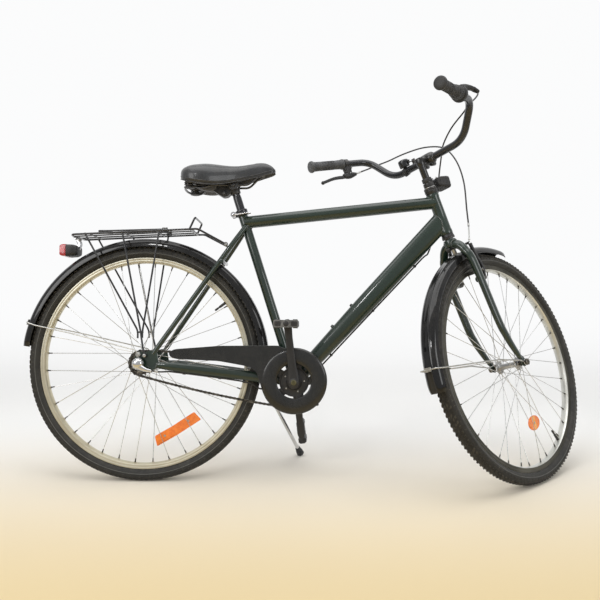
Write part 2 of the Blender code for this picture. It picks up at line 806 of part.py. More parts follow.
def chain_wheel(name, teeth, parent, hole, phase, look):
    """A flat chain wheel with pointed teeth and a round hole."""
    pitch_radius = wheel_pitch_radius(teeth)
    outline = toothed_outline(teeth, pitch_radius + 0.0024, pitch_radius - 0.0045)
    turn = Matrix.Rotation(phase, 4, "Y")
    disc = piece(name, plate(outline, CHAIN_LINE - TOOTH_HALF, CHAIN_LINE + TOOTH_HALF), look, parent, turn)
    apply_transform(disc)
    cut = piece("cut", rod(hole, -0.09, 0.09, 16, "Y"), None, parent)
    return combine(disc, [cut], "DIFFERENCE")


# %% Cranks, chainring and pedals
CRANK_STATIONS = (
    (-0.0190, 0.0060, 0.0585, 0.0700),
    (-0.0140, 0.0135, 0.0565, 0.0735),
    (0.0000, 0.0170, 0.0565, 0.0745),
    (0.0200, 0.0155, 0.0570, 0.0740),
    (0.0420, 0.0135, 0.0612, 0.0742),
    (0.1300, 0.0105, 0.0655, 0.0765),
    (0.1600, 0.0120, 0.0670, 0.0785),
    (0.1750, 0.0110, 0.0680, 0.0790),
    (0.1840, 0.0050, 0.0695, 0.0775),
)


def crank_spindle():
    """The spindle that carries both crank arms."""
    return piece("crank_spindle", rod(SPINDLE, -0.0705, 0.0705, 10, "Y"), STEEL, CRANKSET)


def crank_arm(name, side):
    """A crank arm: thick at the spindle, slim and flared outwards at the pedal, with its pedal axle."""
    sign = 1.0 if side < 0 else -1.0
    rings = []
    for reach, half, near, far in CRANK_STATIONS:
        corners = ((near, -half), (far - 0.0035, -half), (far, -half * 0.62))
        corners += ((far, half * 0.62), (far - 0.0035, half), (near, half))
        rings.append([Vector((sign * reach, side * y, z)) for y, z in corners])
    arm = piece(name, skin(rings), BLACK, CRANKSET)
    profile = [
        (0.0, 0.0720),
        (0.0085, 0.0720),
        (0.0085, 0.0860),
        (0.0050, 0.0865),
        (0.0045, PEDAL_OUT - 0.008),
    ]
    profile = [(radius, side * y) for radius, y in profile + [(0.0, PEDAL_OUT - 0.008)]]
    place = Matrix.Translation((sign * CRANK_LENGTH, 0.0, 0.0))
    combine(arm, [piece("axle", turned(profile, 8, "Y"), None, CRANKSET, place)])
    hole = piece("cut", rod(bore(SPINDLE, 10), side * 0.0400, side * 0.0708, 10, "Y"), None, CRANKSET)
    return combine(arm, [hole], "DIFFERENCE")


def chainring():
    """The chainring: a toothed ring on five spokes round a boss that seats on the spindle."""
    ring = chain_wheel("chainring", RING_TEETH, CRANKSET, 0.0640, RING_PHASE, BLACK)
    boss = [(0.0, -0.0560), (0.0200, -0.0560), (0.0230, -0.0440), (0.0, -0.0440)]
    others = [piece("boss", turned(boss, 12, "Y"), None, CRANKSET)]
    for k in range(5):
        turn = Matrix.Rotation(math.radians(72.0 * k + 20.0), 4, "Y")
        others.append(
            piece(
                "spoke",
                block((0.0500, 0.0032, 0.0160), (0.0430, CHAIN_LINE, 0.0)),
                None,
                CRANKSET,
                turn,
            ),
        )
    combine(ring, others)
    cut = piece("cut", rod(bore(SPINDLE, 10), -0.09, 0.0, 10, "Y"), None, CRANKSET)
    return combine(ring, [cut], "DIFFERENCE")


def pedal(name, side, tilt):
    """A block pedal: a hollow barrel on the pedal axle between two treads, with cross plates."""
    sign = 1.0 if side < 0 else -1.0
    place = Matrix.Translation(
        (sign * CRANK_LENGTH, 0.0, 0.0),
    ) @ Matrix.Rotation(math.radians(tilt), 4, "Y")
    frame_ = empty(name + "_frame", CRANKSET, place)
    barrel = piece(
        name,
        rod(0.0110, side * (PEDAL_IN + 0.0010), side * (PEDAL_OUT - 0.0010), 8, "Y"),
        PLASTIC,
        frame_,
    )
    tread = [(-0.0090, -0.0070), (-0.0050, -0.0125), (0.0050, -0.0125), (0.0090, -0.0070)]
    tread += [(a, -b) for a, b in reversed(tread)]
    others = []
    for way in (-1, 1):
        outline = [(a + way * 0.0250, b) for a, b in tread]
        others.append(piece("tread", plate(outline, side * PEDAL_IN, side * PEDAL_OUT), None, frame_))
    for spot in (PEDAL_IN + 0.0070, PEDAL_OUT - 0.0070):
        others.append(
            piece("bridge", block((0.0400, 0.0060, 0.0190), (0.0, side * spot, 0.0)), None, frame_),
        )
    combine(barrel, others)
    cut = piece(
        "cut",
        rod(bore(0.0050, 8), side * 0.0800, side * (PEDAL_OUT - 0.0050), 8, "Y"),
        None,
        frame_,
    )
    return combine(barrel, [cut], "DIFFERENCE")


# %% Chain: rollers between side plates, wrapped on both chain wheels
def chain_path():
    """The pitch line's four tangent points and arcs, as a function from length to a point."""
    big = wheel_pitch_radius(RING_TEETH)
    small = wheel_pitch_radius(SPROCKET_TEETH)
    rear = Vector((REAR_AXLE.x, REAR_AXLE.z))
    front = Vector((BB_X, BB_Z))
    span = front - rear
    base = math.atan2(span.y, span.x)
    lift = math.asin((big - small) / span.length)
    top = base + math.pi / 2.0 + lift
    bottom = base - math.pi / 2.0 - lift
    return rear, front, small, big, top, bottom


def chain_points():
    """Every roller's place: round the sprocket, along the top, round the ring, back below."""
    rear, front, small, big, top, bottom = chain_path()

    def rim_point(centre, radius, angle):
        return centre + Vector((radius * math.cos(angle), radius * math.sin(angle)))

    line = []
    steps = 60
    wrap = 2.0 * math.pi - (top - bottom)
    for k in range(steps + 1):
        line.append(rim_point(rear, small, bottom - wrap * k / steps))
    for k in range(1, steps + 1):
        angle = top + (bottom - top) * k / steps
        line.append(rim_point(front, big, angle))
    start, end = line[-1], line[0]
    for k in range(1, steps):
        t = k / steps
        sag = Vector((0.0, -4.0 * CHAIN_SAG * t * (1.0 - t)))
        line.append(start.lerp(end, t) + sag)
    lengths = [0.0]
    for a, b in zip(line, line[1:] + line[:1]):
        lengths.append(lengths[-1] + (b - a).length)
    count = int(round(lengths[-1] / CHAIN_PITCH / 2.0)) * 2
    print("chain length, m:", round(lengths[-1], 4), "links:", count)
    line.append(line[0])
    out = []
    index = 0
    for k in range(count):
        want = lengths[-1] * k / count
        while lengths[index + 1] < want:
            index += 1
        t = (want - lengths[index]) / (lengths[index + 1] - lengths[index])
        out.append(line[index].lerp(line[index + 1], t))
    return out


REAR_WHEEL_CENTRE = Vector((REAR_AXLE.x, REAR_AXLE.z))
CHAIN = chain_points()


def tooth_phase(centre, teeth):
    """The turn that puts the teeth midway between the rollers that lie on the wheel."""
    radius = wheel_pitch_radius(teeth)
    step = 2.0 * math.pi / teeth
    total = Vector((0.0, 0.0))
    for first, second in zip(CHAIN, CHAIN[1:] + CHAIN[:1]):
        if abs((first - centre).length - radius) < 4e-4 and abs((second - centre).length - radius) < 4e-4:
            middle = (first + second) / 2.0 - centre
            angle = math.atan2(middle.y, middle.x)
            total += Vector((math.cos(angle * teeth), math.sin(angle * teeth)))
    return math.atan2(total.y, total.x) / teeth % step


RING_PHASE = math.radians(CRANK_ANGLE) - tooth_phase(Vector((BB_X, BB_Z)), RING_TEETH)
SPROCKET_PHASE = -tooth_phase(REAR_WHEEL_CENTRE, SPROCKET_TEETH)


def chain_piece():
    """The chain as one linked body: side plates on both sides, joined by a roller at each pitch."""
    base, inner, outer = 0.0028, 0.0015, 0.0034
    low, high = -0.0040, 0.0040
    count = len(CHAIN)
    bm = bmesh.new()
    links = []
    for k, point in enumerate(CHAIN):
        ahead = CHAIN[(k + 1) % count] - CHAIN[k - 1]
        run = Vector((ahead.x, 0.0, ahead.y)).normalized()
        up = Vector((-run.z, 0.0, run.x))
        centre = Vector((point.x, CHAIN_LINE, point.y))
        spots = ((-base, -inner, low), (base, -inner, low), (0.0, -inner, high), (0.0, -outer, 0.0))
        sides = []
        for way in (1.0, -1.0):
            sides.append(
                [
                    bm.verts.new(centre + run * x + Vector((0.0, way * y, 0.0)) + up * z)
                    for x, y, z in spots
                ],
            )
        links.append(sides)
    for k in range(count):
        near, far = links[k]
        for i in range(3):
            bm.faces.new((near[i], near[(i + 1) % 3], far[(i + 1) % 3], far[i]))
        for side in (0, 1):
            back, front, top, edge = links[k][side]
            back_2, front_2, top_2, edge_2 = links[(k + 1) % count][side]
            bm.faces.new((front, back_2, top_2, top))
            bm.faces.new((top, top_2, edge_2, edge))
            bm.faces.new((edge, edge_2, back_2, front))
            bm.faces.new((edge, front, back))
    bmesh.ops.recalc_face_normals(bm, faces=bm.faces)
    return piece("chain", bm, CHAIN_STEEL, BIKE)


# %% Chain guard
def chain_guard():
    """A dished cover over the chainring with an arm along the chain's upper run, open behind."""
    disc = 0.0970
    centre = (BB_X, BB_Z + 0.003)
    outline = arc(centre, disc, 196.0, 448.0, 20)
    outline += [(0.4050, 0.4065), (0.3300, 0.4060), (0.2300, 0.4050), (0.0980, 0.3945), (0.0820, 0.3840)]
    outline += [(0.0870, 0.3720), (0.1050, 0.3655), (0.2300, 0.3605), (0.3100, 0.3465), (0.3400, 0.3330)]
    guard = piece("chain_guard", plate(outline, -0.0600, -0.0360), PLASTIC, BIKE)
    inside = arc(centre, disc - 0.0025, 266.0, 447.0, 14)
    inside += [(0.4050, 0.4038), (0.3300, 0.4033), (0.2300, 0.4023), (0.1400, 0.3953), (0.1300, 0.4200)]
    inside += [(0.0600, 0.4200), (0.0600, 0.3300), (0.2300, 0.3200), (0.3000, 0.2000), (0.4440, 0.1900)]
    cuts = [
        piece("cut", plate(inside, -0.0580, -0.0100), None, BIKE),
        piece(
            "cut",
            rod(0.0500, -0.09, 0.0, 20, "Y"),
            None,
            BIKE,
            Matrix.Translation((centre[0], 0.0, centre[1])),
        ),
    ]
    return combine(guard, cuts, "DIFFERENCE")


# %% Fenders and stays
def fender(name, parent, centre, start, end, steps, crown, skirt):
    """A thin arched blade round a wheel, from one angle to another."""
    thick = 0.0015
    arch = ((-1.0, 0.0), (-0.90, 0.62), (-0.45, 0.95), (0.45, 0.95), (0.90, 0.62), (1.0, 0.0))
    rings = []
    for k in range(steps + 1):
        angle = math.radians(start + (end - start) * k / steps)
        direction = Vector((math.cos(angle), 0.0, math.sin(angle)))
        ring = []
        for half, lift in ((FENDER_HALF, crown - skirt), (FENDER_HALF - thick, crown - skirt - thick)):
            side = [
                centre + direction * (skirt + lift * up) + Vector((0.0, half * across, 0.0))
                for across, up in arch
            ]
            ring += side if half == FENDER_HALF else reversed(side)
        rings.append(ring)
    return piece(name, skin(rings), BLACK, parent)


def wire(points, radius, sides=6, bend=None, steps=3):
    """A bent wire."""
    path = rounded(points, bend, steps) if bend else points
    return tube(path, radius, sides)


def polar(centre, degrees, radius, side):
    """A point beside a wheel, by its angle and its distance from the wheel's middle."""
    angle = math.radians(degrees)
    return centre + Vector((radius * math.cos(angle), side, radius * math.sin(angle)))


def rear_fender():
    """The rear fender with its lug to the frame's bridge."""
    blade = fender("rear_fender", BIKE, REAR_AXLE, -1.0, 172.5, 17, FENDER_CROWN, FENDER_SKIRT)
    through = [polar(REAR_AXLE, 52.2, 0.3700, 0.0), polar(REAR_AXLE, 52.2, 0.3758, 0.0)]
    bolt = piece("bolt", tube(through, 0.0060, 6), None, BIKE)
    return combine(blade, [bolt])


def rear_fender_stay():
    """A wire hoop from the dropouts' rear eyelets up and over the fender's tail."""
    half = [(EYELETS[0], -0.0725, EYELET_HEIGHT), (-0.0120, -0.0720, 0.3920), (-0.2203, -0.0400, 0.4409)]
    half += [polar(REAR_AXLE, 161.4, 0.3480, -0.0300), polar(REAR_AXLE, 161.4, 0.3740, -0.0270)]
    half += [polar(REAR_AXLE, 161.4, 0.3785, -0.0140)]
    path = half + [(x, -y, z) for x, y, z in reversed(half)]
    hoop = piece("rear_fender_stay", wire(path, 0.0020, 4), STEEL, BIKE)
    place = Matrix.Translation((EYELETS[0], 0.0, EYELET_HEIGHT))
    return combine(
        hoop,
        [piece("screw", eyelet_screw(side, 0.0702), None, BIKE, place) for side in (-1, 1)],
    )


def front_fender():
    """The front fender, with its lug under the fork crown."""
    centre = Vector((FORK_RAKE, 0.0, 0.0))
    blade = fender("front_fender", STEERING, centre, 62.0, 175.0, 11, 0.3770, 0.3540)
    lug = piece(
        "lug",
        tube([polar(centre, 98.6, 0.3740, 0.0), polar(centre, 98.6, 0.3940, 0.0)], 0.0070, 6),
        None,
        STEERING,
    )
    return combine(blade, [lug])


def front_fender_stay():
    """A hoop from the fork's dropouts to a bracket on the back of the front fender."""
    centre = Vector((FORK_RAKE, 0.0, 0.0))
    half = [(0.0525, -0.0594, 0.0030), (0.0380, -0.0594, 0.0120), (-0.0500, -0.0500, 0.0420)]
    half += [polar(centre, 165.0, 0.3480, -0.0330), polar(centre, 165.0, 0.3800, -0.0270)]
    half += [polar(centre, 165.0, 0.3808, -0.0140)]
    path = half + [(x, -y, z) for x, y, z in reversed(half)]
    hoop = piece("front_fender_stay", wire(path, 0.0020, 4), STEEL, STEERING)
    parts = []
    for side in (-1, 1):
        ring = piece("eye", pipe(0.0095, 0.0048, side * 0.0578, side * 0.0610, 8, "Y"), None, STEERING,
                     Matrix.Translation(centre))
        parts.append(ring)
    turn = Matrix.Translation(
        polar(centre, 165.0, 0.3815, 0.0),
    ) @ Matrix.Rotation(math.radians(-165.0), 4, "Y")
    parts.append(piece("bracket", block((0.0034, 0.0300, 0.0200)), None, STEERING, turn))
    return combine(hoop, parts)


def deck(x, y):
    """A point on the rack's deck, which rises a little towards the front."""
    return Vector((x, y, 0.7330 + 0.0160 * (x - RACK_REAR) / (RACK_FRONT - RACK_REAR)))


def eyelet_screw(side, under_head):
    """A screw through an eyelet of the dropout, on one side of the bicycle."""
    profile = [(0.0, 0.0590), (0.0022, 0.0590), (0.0022, under_head), (0.0060, under_head)]
    profile += [(0.0060, under_head + 0.0080), (0.0, under_head + 0.0080)]
    return turned([(radius, side * y) for radius, y in profile], 6, "Y")


def rack():
    """The black wire carrier: loop, middle wires, stop, legs and struts, welded as one."""
    parts = []

    def add(points, radius=0.0030, bend=None):
        parts.append(piece("wire", wire(points, radius, 5, bend, 1), None, BIKE))

    tail = [deck(RACK_REAR, -RACK_HALF), deck(RACK_REAR - 0.014, 0.0), deck(RACK_REAR, RACK_HALF)]
    loop = [deck(RACK_FRONT, -RACK_HALF)] + tail + [deck(RACK_FRONT, RACK_HALF)]
    target = piece("rack", wire(loop, 0.0033, 5, 0.014, 2), BLACK, BIKE)
    for side in (-1, 1):
        y = side * RACK_HALF
        strut = [
            deck(RACK_FRONT - 0.0060, y),
            deck(RACK_FRONT + 0.0200, y),
            (0.2280, side * 0.0480, 0.7160),
        ]
        add(strut + [(0.2450, side * 0.0400, 0.7070)], 0.0032, 0.008)
        for top, low, end in ((-0.1710, -0.0075, 0.4260), (0.0500, 0.0060, 0.4270)):
            add([deck(top, y), (low, side * 0.0640, 0.4480), (low, side * 0.0655, end)], 0.0029, 0.012)
        middle = [deck(-0.0600, y), (0.0000, side * 0.0640, 0.4480), (0.0100, side * 0.0740, 0.4000)]
        add(middle + [(EYELETS[1], side * 0.0740, EYELET_HEIGHT - 0.0030)], 0.0030, 0.008)
        add([(-0.0105, side * 0.0642, 0.4440), (0.0090, side * 0.0642, 0.4440)], 0.0030)
        place = Matrix.Translation((EYELETS[1], 0.0, EYELET_HEIGHT))
        parts.append(piece("screw", eyelet_screw(side, 0.0706), None, BIKE, place))
    stop = [deck(RACK_FRONT - 0.004, -RACK_HALF), Vector((0.1560, -RACK_HALF, 0.7840))]
    stop += [(p.x, -p.y, p.z) for p in reversed(stop)]
    add(stop, 0.0032, 0.008)
    for y in (-0.0200, 0.0200):
        add([deck(RACK_REAR - 0.0060, y), deck(RACK_FRONT, y)])
    for x in (-0.1600, RACK_FRONT - 0.0020):
        add([deck(x, -RACK_HALF), deck(x, RACK_HALF)])
    light_tab = block((0.0100, 0.0440, 0.0026), (RACK_REAR + 0.0060, 0.0, 0.7290))
    parts.append(piece("tab", light_tab, None, BIKE))
    for side in (-1, 1):
        parts.append(
            piece("ear", block((0.0160, 0.0030, 0.0170), (0.0600, side * 0.0296, 0.7500)), None, BIKE),
        )
        parts.append(
            piece("foot", block((0.0160, 0.0130, 0.0030), (0.0600, side * 0.0240, 0.7440)), None, BIKE),
        )
    combine(target, parts)
    hole = piece(
        "cut",
        rod(bore(0.0026, 8), -0.05, 0.05, 8, "Y"),
        None,
        BIKE,
        Matrix.Translation(CLIP_HINGE),
    )
    return combine(target, [hole], "DIFFERENCE")


def rack_clip():
    """The sprung bail that holds luggage down, with its grip plate at the rear."""
    frame_ = empty("rack_clip_frame", BIKE, Matrix.Translation(CLIP_HINGE))
    bail = piece("rack_clip", rod(0.0026, -0.0335, 0.0335, 8, "Y"), BLACK, frame_)
    half = 0.0240
    route = [(0.0, half, 0.0), (-0.1980, half, -0.0055), (-0.1980, -half, -0.0055), (0.0, -half, 0.0)]
    others = [
        piece("wire", wire(route, 0.0024, 6, 0.010, 2), None, frame_),
        piece("grip", block((0.0380, 0.0400, 0.0070), (-0.1880, 0.0, -0.0052)), None, frame_),
        piece("bar", block((0.0120, 0.0560, 0.0036), (-0.1300, 0.0, -0.0036)), None, frame_),
    ]
    return combine(bail, others)


# %% Lights
def rear_light():
    """The rear lamp body on its bracket, and its red lens."""
    shape = [
        [Vector((x, y * w, 0.6905 + z * h)) for y, z in ((-1, -0.7), (-0.7, -1), (0.7, -1), (1, -0.7),
                                                         (1, 0.7), (0.7, 1), (-0.7, 1), (-1, 0.7))]
        for x, w, h in ((-0.2460, 0.032, 0.0185), (-0.2220, 0.031, 0.0180), (-0.2080, 0.022, 0.0120))
    ]
    body = piece("rear_light_body", skin(shape), PLASTIC, BIKE)
    route = [(-0.2130, 0.0, 0.6960), (-0.2060, 0.0, 0.7100), (-0.2130, 0.0, 0.7240)]
    arm = piece("arm", wire(route, 0.0035, 6, 0.008, 2), None, BIKE)
    ear = piece("ear", block((0.010, 0.044, 0.0028), (-0.2140, 0.0, 0.7262)), None, BIKE)
    combine(body, [arm, ear])
    shape = [
        [Vector((x, y * w, 0.6905 + z * h)) for y, z in ((-1, -0.7), (-0.7, -1), (0.7, -1), (1, -0.7),
                                                         (1, 0.7), (0.7, 1), (-0.7, 1), (-1, 0.7))]
        for x, w, h in ((-0.2600, 0.024, 0.0130), (-0.2560, 0.031, 0.0175), (-0.2463, 0.032, 0.0185))
    ]
    piece("rear_light_lens", skin(shape), RED_LENS, BIKE)


def headlight():
    """The front lamp on its bracket, and its clear lens."""
    def section(x, half_y, half_z, centre_z=0.6000):
        corners = ((-1, -0.7), (-0.7, -1), (0.7, -1), (1, -0.7), (1, 0.7), (0.7, 1), (-0.7, 1), (-1, 0.7))
        return [Vector((x, y * half_y, centre_z + z * half_z)) for y, z in corners]

    body = piece("headlight_body", skin([
        section(0.0420, 0.012, 0.010), section(0.0520, 0.020, 0.016), section(0.0930, 0.024, 0.0185),
    ]), PLASTIC, STEERING)
    strap = piece("strap", pipe(0.0150, 0.0127, 0.6060, 0.6180, 16), None, STEERING)
    arm = piece(
        "arm",
        wire([(0.0130, 0.0, 0.6120), (0.0300, 0.0, 0.6100), (0.0460, 0.0, 0.6020)], 0.0040, 6),
        None,
        STEERING,
    )
    combine(body, [strap, arm])
    piece("headlight_lens", skin([
        section(0.0933, 0.0235, 0.0180), section(0.0985, 0.0225, 0.0170), section(0.1010, 0.0170, 0.0125),
    ]), CLEAR_LENS, STEERING)


# %% Axles, stand
def kickstand():
    """The stand: a clamp round both chain stays, a leg that swings back on its pin, and a rubber foot."""
    down = (STAND_FOOT - STAND_PIVOT).normalized()
    folded = (STAND_FOLDED - STAND_PIVOT).normalized()
    hinge = down.cross(folded).normalized()
    away = -(down + folded).normalized()
    basis = Matrix((away, hinge.cross(away), hinge)).transposed().to_4x4()
    place = Matrix.Translation(STAND_PIVOT) @ basis
    frame_ = empty("kickstand_frame", BIKE, place)
    run = basis.inverted().to_3x3() @ down
    length = (STAND_FOOT - STAND_PIVOT).length

    leg = piece("kickstand_leg", rod(0.0125, -0.0060, 0.0060, 12), STEEL, frame_)
    bar = tube([run * 0.0050, run * 0.0300, run * (length - 0.0340)], [0.0056, 0.0060, 0.0059], 8)
    combine(leg, [piece("bar", bar, None, frame_)])
    combine(leg, [piece("cut", rod(bore(0.0040, 8), -0.02, 0.02, 8), None, frame_)], "DIFFERENCE")
    foot = tube(
        [run * (length - 0.0337), run * (length - 0.0200), run * (length - 0.0040)],
        [0.0075, 0.0095, 0.0125],
        12,
    )
    piece("kickstand_foot", foot, RUBBER, frame_)

    ear = arc((0.0, 0.0), 0.0110, 90.0, 270.0, 4) + [(0.0220, -0.0085), (0.0220, 0.0085)]
    bracket = piece("kickstand_bracket", rod(0.0040, -0.0120, 0.0120, 8), STEEL, frame_)
    parts = [piece("ear", plate(ear, side * 0.0064, side * 0.0104, "Z"), None, frame_) for side in (-1, 1)]
    parts.append(piece("web", block((0.0070, 0.0150, 0.0190), (0.0188, 0.0, 0.0)), None, frame_))
    link = [place @ Vector((0.0200, 0.0, 0.0)), Vector((0.3745, 0.0140, 0.2880))]
    parts.append(piece("link", tube(link, 0.0080, 6), None, BIKE))
    parts.append(piece("lower_plate", block((0.0280, 0.0760, 0.0100), (0.3745, 0.0, 0.2880)), None, BIKE))
    parts.append(piece("upper_plate", block((0.0280, 0.0760, 0.0050), (0.3745, 0.0, 0.3270)), None, BIKE))
    parts.append(
        piece("bolt", rod(0.0060, 0.2780, 0.3340, 6), None, BIKE, Matrix.Translation((0.3745, 0.0, 0.0))),
    )
    return combine(bracket, parts)


# %% Steered pieces: fork, stem, handlebar
def fork_blade(side):
    """A unicrown blade: it sweeps out from the steerer, runs straight, then curves to the dropout."""
    points = [
        (0.0, side * 0.0060, 0.4060),
        (0.0, side * 0.0300, 0.3990),
        (0.0, side * 0.0460, 0.3780),
        (0.0015, side * 0.0545, 0.3300),
        (0.0050, side * 0.0550, 0.1500),
        (0.0150, side * 0.0548, 0.1000),
        (0.0290, side * 0.0540, 0.0680),
        (0.0460, side * 0.0532, 0.0280),
        (0.0530, side * 0.0530, 0.0140),
    ]
    tall = [0.0140, 0.0150, 0.0150, 0.0150, 0.0130, 0.0115, 0.0100, 0.0085, 0.0075]
    wide = [0.0140, 0.0130, 0.0115, 0.0100, 0.0092, 0.0087, 0.0077, 0.0066, 0.0050]
    return tube(points, tall, 8, wide, up=(1.0, 0.0, 0.0))


def fork():
    """The green fork: steerer, crown, blades, tips and brake posts, with its locknut on top."""
    profile = [(0.0, 0.3960), (0.0180, 0.3960), (0.0188, 0.4190), (STEERER_RADIUS, 0.4205)]
    profile += [
        (STEERER_RADIUS, 0.5806),
        (0.0192, 0.5808),
        (0.0192, 0.5870),
        (0.0162, 0.5900),
        (0.0162, 0.6030),
    ]
    target = piece("fork", turned(profile + [(0.0, 0.6030)], 12, "Z"), GREEN, STEERING)
    others = []
    tip = [
        (0.0440, 0.0260),
        (0.0600, 0.0240),
        (0.0720, 0.0080),
        (0.0720, -0.0080),
        (0.0600, -0.0130),
        (0.0490, -0.0060),
    ]
    for side in (-1, 1):
        others.append(piece("blade", fork_blade(side), None, STEERING))
        others.append(piece("tip", plate(tip, side * 0.0508, side * 0.0552), None, STEERING))
        boss = Matrix.Translation((0.0, side * BRAKE_PIVOT.y, BRAKE_PIVOT.z))
        others.append(piece("boss", rod(0.0070, 0.0040, 0.0250, 6, "X"), None, STEERING, boss))
        others.append(piece("post", rod(0.0040, 0.0200, 0.0440, 8, "X"), None, STEERING, boss))
    combine(target, others)
    cuts = [
        piece("cut", rod(bore(QUILL_RADIUS, 12), 0.5300, 0.6200, 12), None, STEERING),
        piece(
            "cut",
            rod(bore(0.0042, 8), -0.1, 0.1, 8, "Y"),
            None,
            STEERING,
            Matrix.Translation((FORK_RAKE, 0.0, 0.0)),
        ),
    ]
    return combine(target, cuts, "DIFFERENCE")


def stem():
    """The quill stem with a short forward reach and a two-piece bar clamp."""
    profile = [
        (0.0, 0.5350),
        (QUILL_RADIUS, 0.5350),
        (QUILL_RADIUS, 0.6600),
        (0.0135, 0.6640),
        (0.0135, 0.6820),
    ]
    quill = piece("stem", turned(profile + [(0.0110, 0.6850), (0.0, 0.6850)], 12, "Z"), BLACK, STEERING)
    at_bar = Matrix.Translation((BAR_FORWARD, 0.0, BAR_HEIGHT))
    others = [
        piece(
            "reach",
            tube([(0.0040, 0.0, 0.6740), (BAR_FORWARD, 0.0, BAR_HEIGHT)], 0.0130, 8),
            None,
            STEERING,
        ),
        piece("shell", rod(0.0190, -0.0210, 0.0210, 12, "Y"), None, STEERING, at_bar),
    ]
    for side in (-1, 1):
        spot = Matrix.Translation((BAR_FORWARD + 0.0010, side * 0.0130, BAR_HEIGHT - 0.0180))
        others.append(piece("bolt", rod(0.0036, -0.0110, 0.0130, 6, "X"), None, STEERING, spot))
    combine(quill, others)
    cut = piece("cut", rod(bore(0.0125, 12), -0.0300, 0.0300, 12, "Y"), None, STEERING, at_bar)
    return combine(quill, [cut], "DIFFERENCE")


def bar_path():
    """The handlebar's centre line, from its right end to its left end."""
    left = [BAR_BEND, BAR_RISE, BAR_END]
    right = [Vector((p.x, -p.y, p.z)) for p in reversed(left)]
    return rounded(right + left, 0.045, 2)


def handlebar():
    """The bent bar, thicker where the stem clamps it."""
    bar = piece("handlebar", tube(bar_path(), BAR_RADIUS, 8), BLACK, STEERING)
    sleeve = piece("sleeve", rod(0.0125, -0.0320, 0.0320, 12, "Y"), None, STEERING,
                   Matrix.Translation((BAR_FORWARD, 0.0, BAR_HEIGHT)))
    return combine(bar, [sleeve])


def bar_frame(side, from_end):
    """A frame on the straight end of the bar: Z runs from the rider's end forward, at a distance."""
    end = Vector((BAR_END.x, side * BAR_END.y, BAR_END.z))
    rise = Vector((BAR_RISE.x, side * BAR_RISE.y, BAR_RISE.z))
    direction = (rise - end).normalized()
    across = Vector((0.0, 0.0, 1.0)).cross(direction).normalized()
    up = direction.cross(across)
    basis = Matrix((across, up, direction)).transposed().to_4x4()
    return Matrix.Translation(end + direction * from_end) @ basis


def grip(name, side):
    """A rubber grip, closed at its end, with a flange at the inner end."""
    inner = bore(BAR_RADIUS, 10)
    profile = [(0.0, -0.0060), (0.0150, -0.0050), (0.0166, 0.0020), (0.0148, 0.0300), (0.0158, 0.0650)]
    profile += [(0.0150, 0.1000), (0.0170, GRIP_LENGTH), (inner, GRIP_LENGTH), (inner, -GAP), (0.0, -GAP)]
    length = GRIP_LENGTH if side > 0 else GRIP_LENGTH - 0.022
    scaled = [(r, z if z < 0.0 else z * length / GRIP_LENGTH) for r, z in profile]
    return piece(name, turned(scaled, 10, "Z"), RUBBER, STEERING, bar_frame(side, 0.0))


# %% Brake lever, shifter and bell on the bar


def brake_lever():
    """The lever's clamp and housing on the left of the bar, and the lever blade that pivots in it."""
    place = bar_frame(1, LEVER_AT)
    clamp = piece("brake_lever_clamp", rod(0.0155, -0.0070, 0.0070, 12), BLACK, STEERING, place)
    parts = [
        piece("housing", block((0.0190, 0.0250, 0.0260), (0.0, -0.0250, 0.0030)), None, STEERING, place),
        piece(
            "barrel",
            tube([(0.0, -0.0200, 0.0120), (0.0, -0.0215, 0.0370)], 0.0042, 6),
            None,
            STEERING,
            place,
        ),
    ]
    combine(clamp, parts)
    slot = piece("cut", block((0.0112, 0.0300, 0.0420), (0.0, -0.0420, 0.0010)), None, STEERING, place)
    combine(clamp, [slot], "DIFFERENCE")
    bar = piece("cut", rod(bore(BAR_RADIUS, 8), -0.0200, 0.0200, 8), None, STEERING, place)
    combine(clamp, [bar], "DIFFERENCE")
    pin = piece(
        "pin",
        rod(0.0024, -0.0090, 0.0090, 6, "X"),
        None,
        STEERING,
        place @ Matrix.Translation(LEVER_HINGE),
    )
    combine(clamp, [pin])
    frame_ = empty("brake_lever_frame", STEERING, place @ Matrix.Translation(LEVER_HINGE))
    knuckle = piece("brake_lever", rod(0.0052, -0.0050, 0.0050, 10, "X"), BLACK, frame_)
    path = rounded(
        [(0.0, 0.0, -0.0020), (0.0, -0.0050, -0.0220), (0.0, -0.0030, -0.0600), (0.0, -0.0110, -0.1080)],
        0.03,
        2,
    )
    parts = [
        piece("blade", tube(path, 0.0036, 6, 0.0046, up=(0.0, 1.0, 0.0)), None, frame_),
        piece(
            "tip",
            turned(ball(0.0060, 4), 6, "Z"),
            None,
            frame_,
            Matrix.Translation((0.0, -0.0110, -0.1080)),
        ),
    ]
    combine(knuckle, parts)
    return combine(
        knuckle,
        [piece("cut", rod(bore(0.0024, 6), -0.02, 0.02, 6, "X"), None, frame_)],
        "DIFFERENCE",
    )


def ball(radius, steps):
    """The profile of a ball."""
    out = []
    for k in range(steps + 1):
        angle = math.pi * k / steps - math.pi / 2.0
        out.append((max(radius * math.cos(angle), 0.0) if 0 < k < steps else 0.0, radius * math.sin(angle)))
    return out


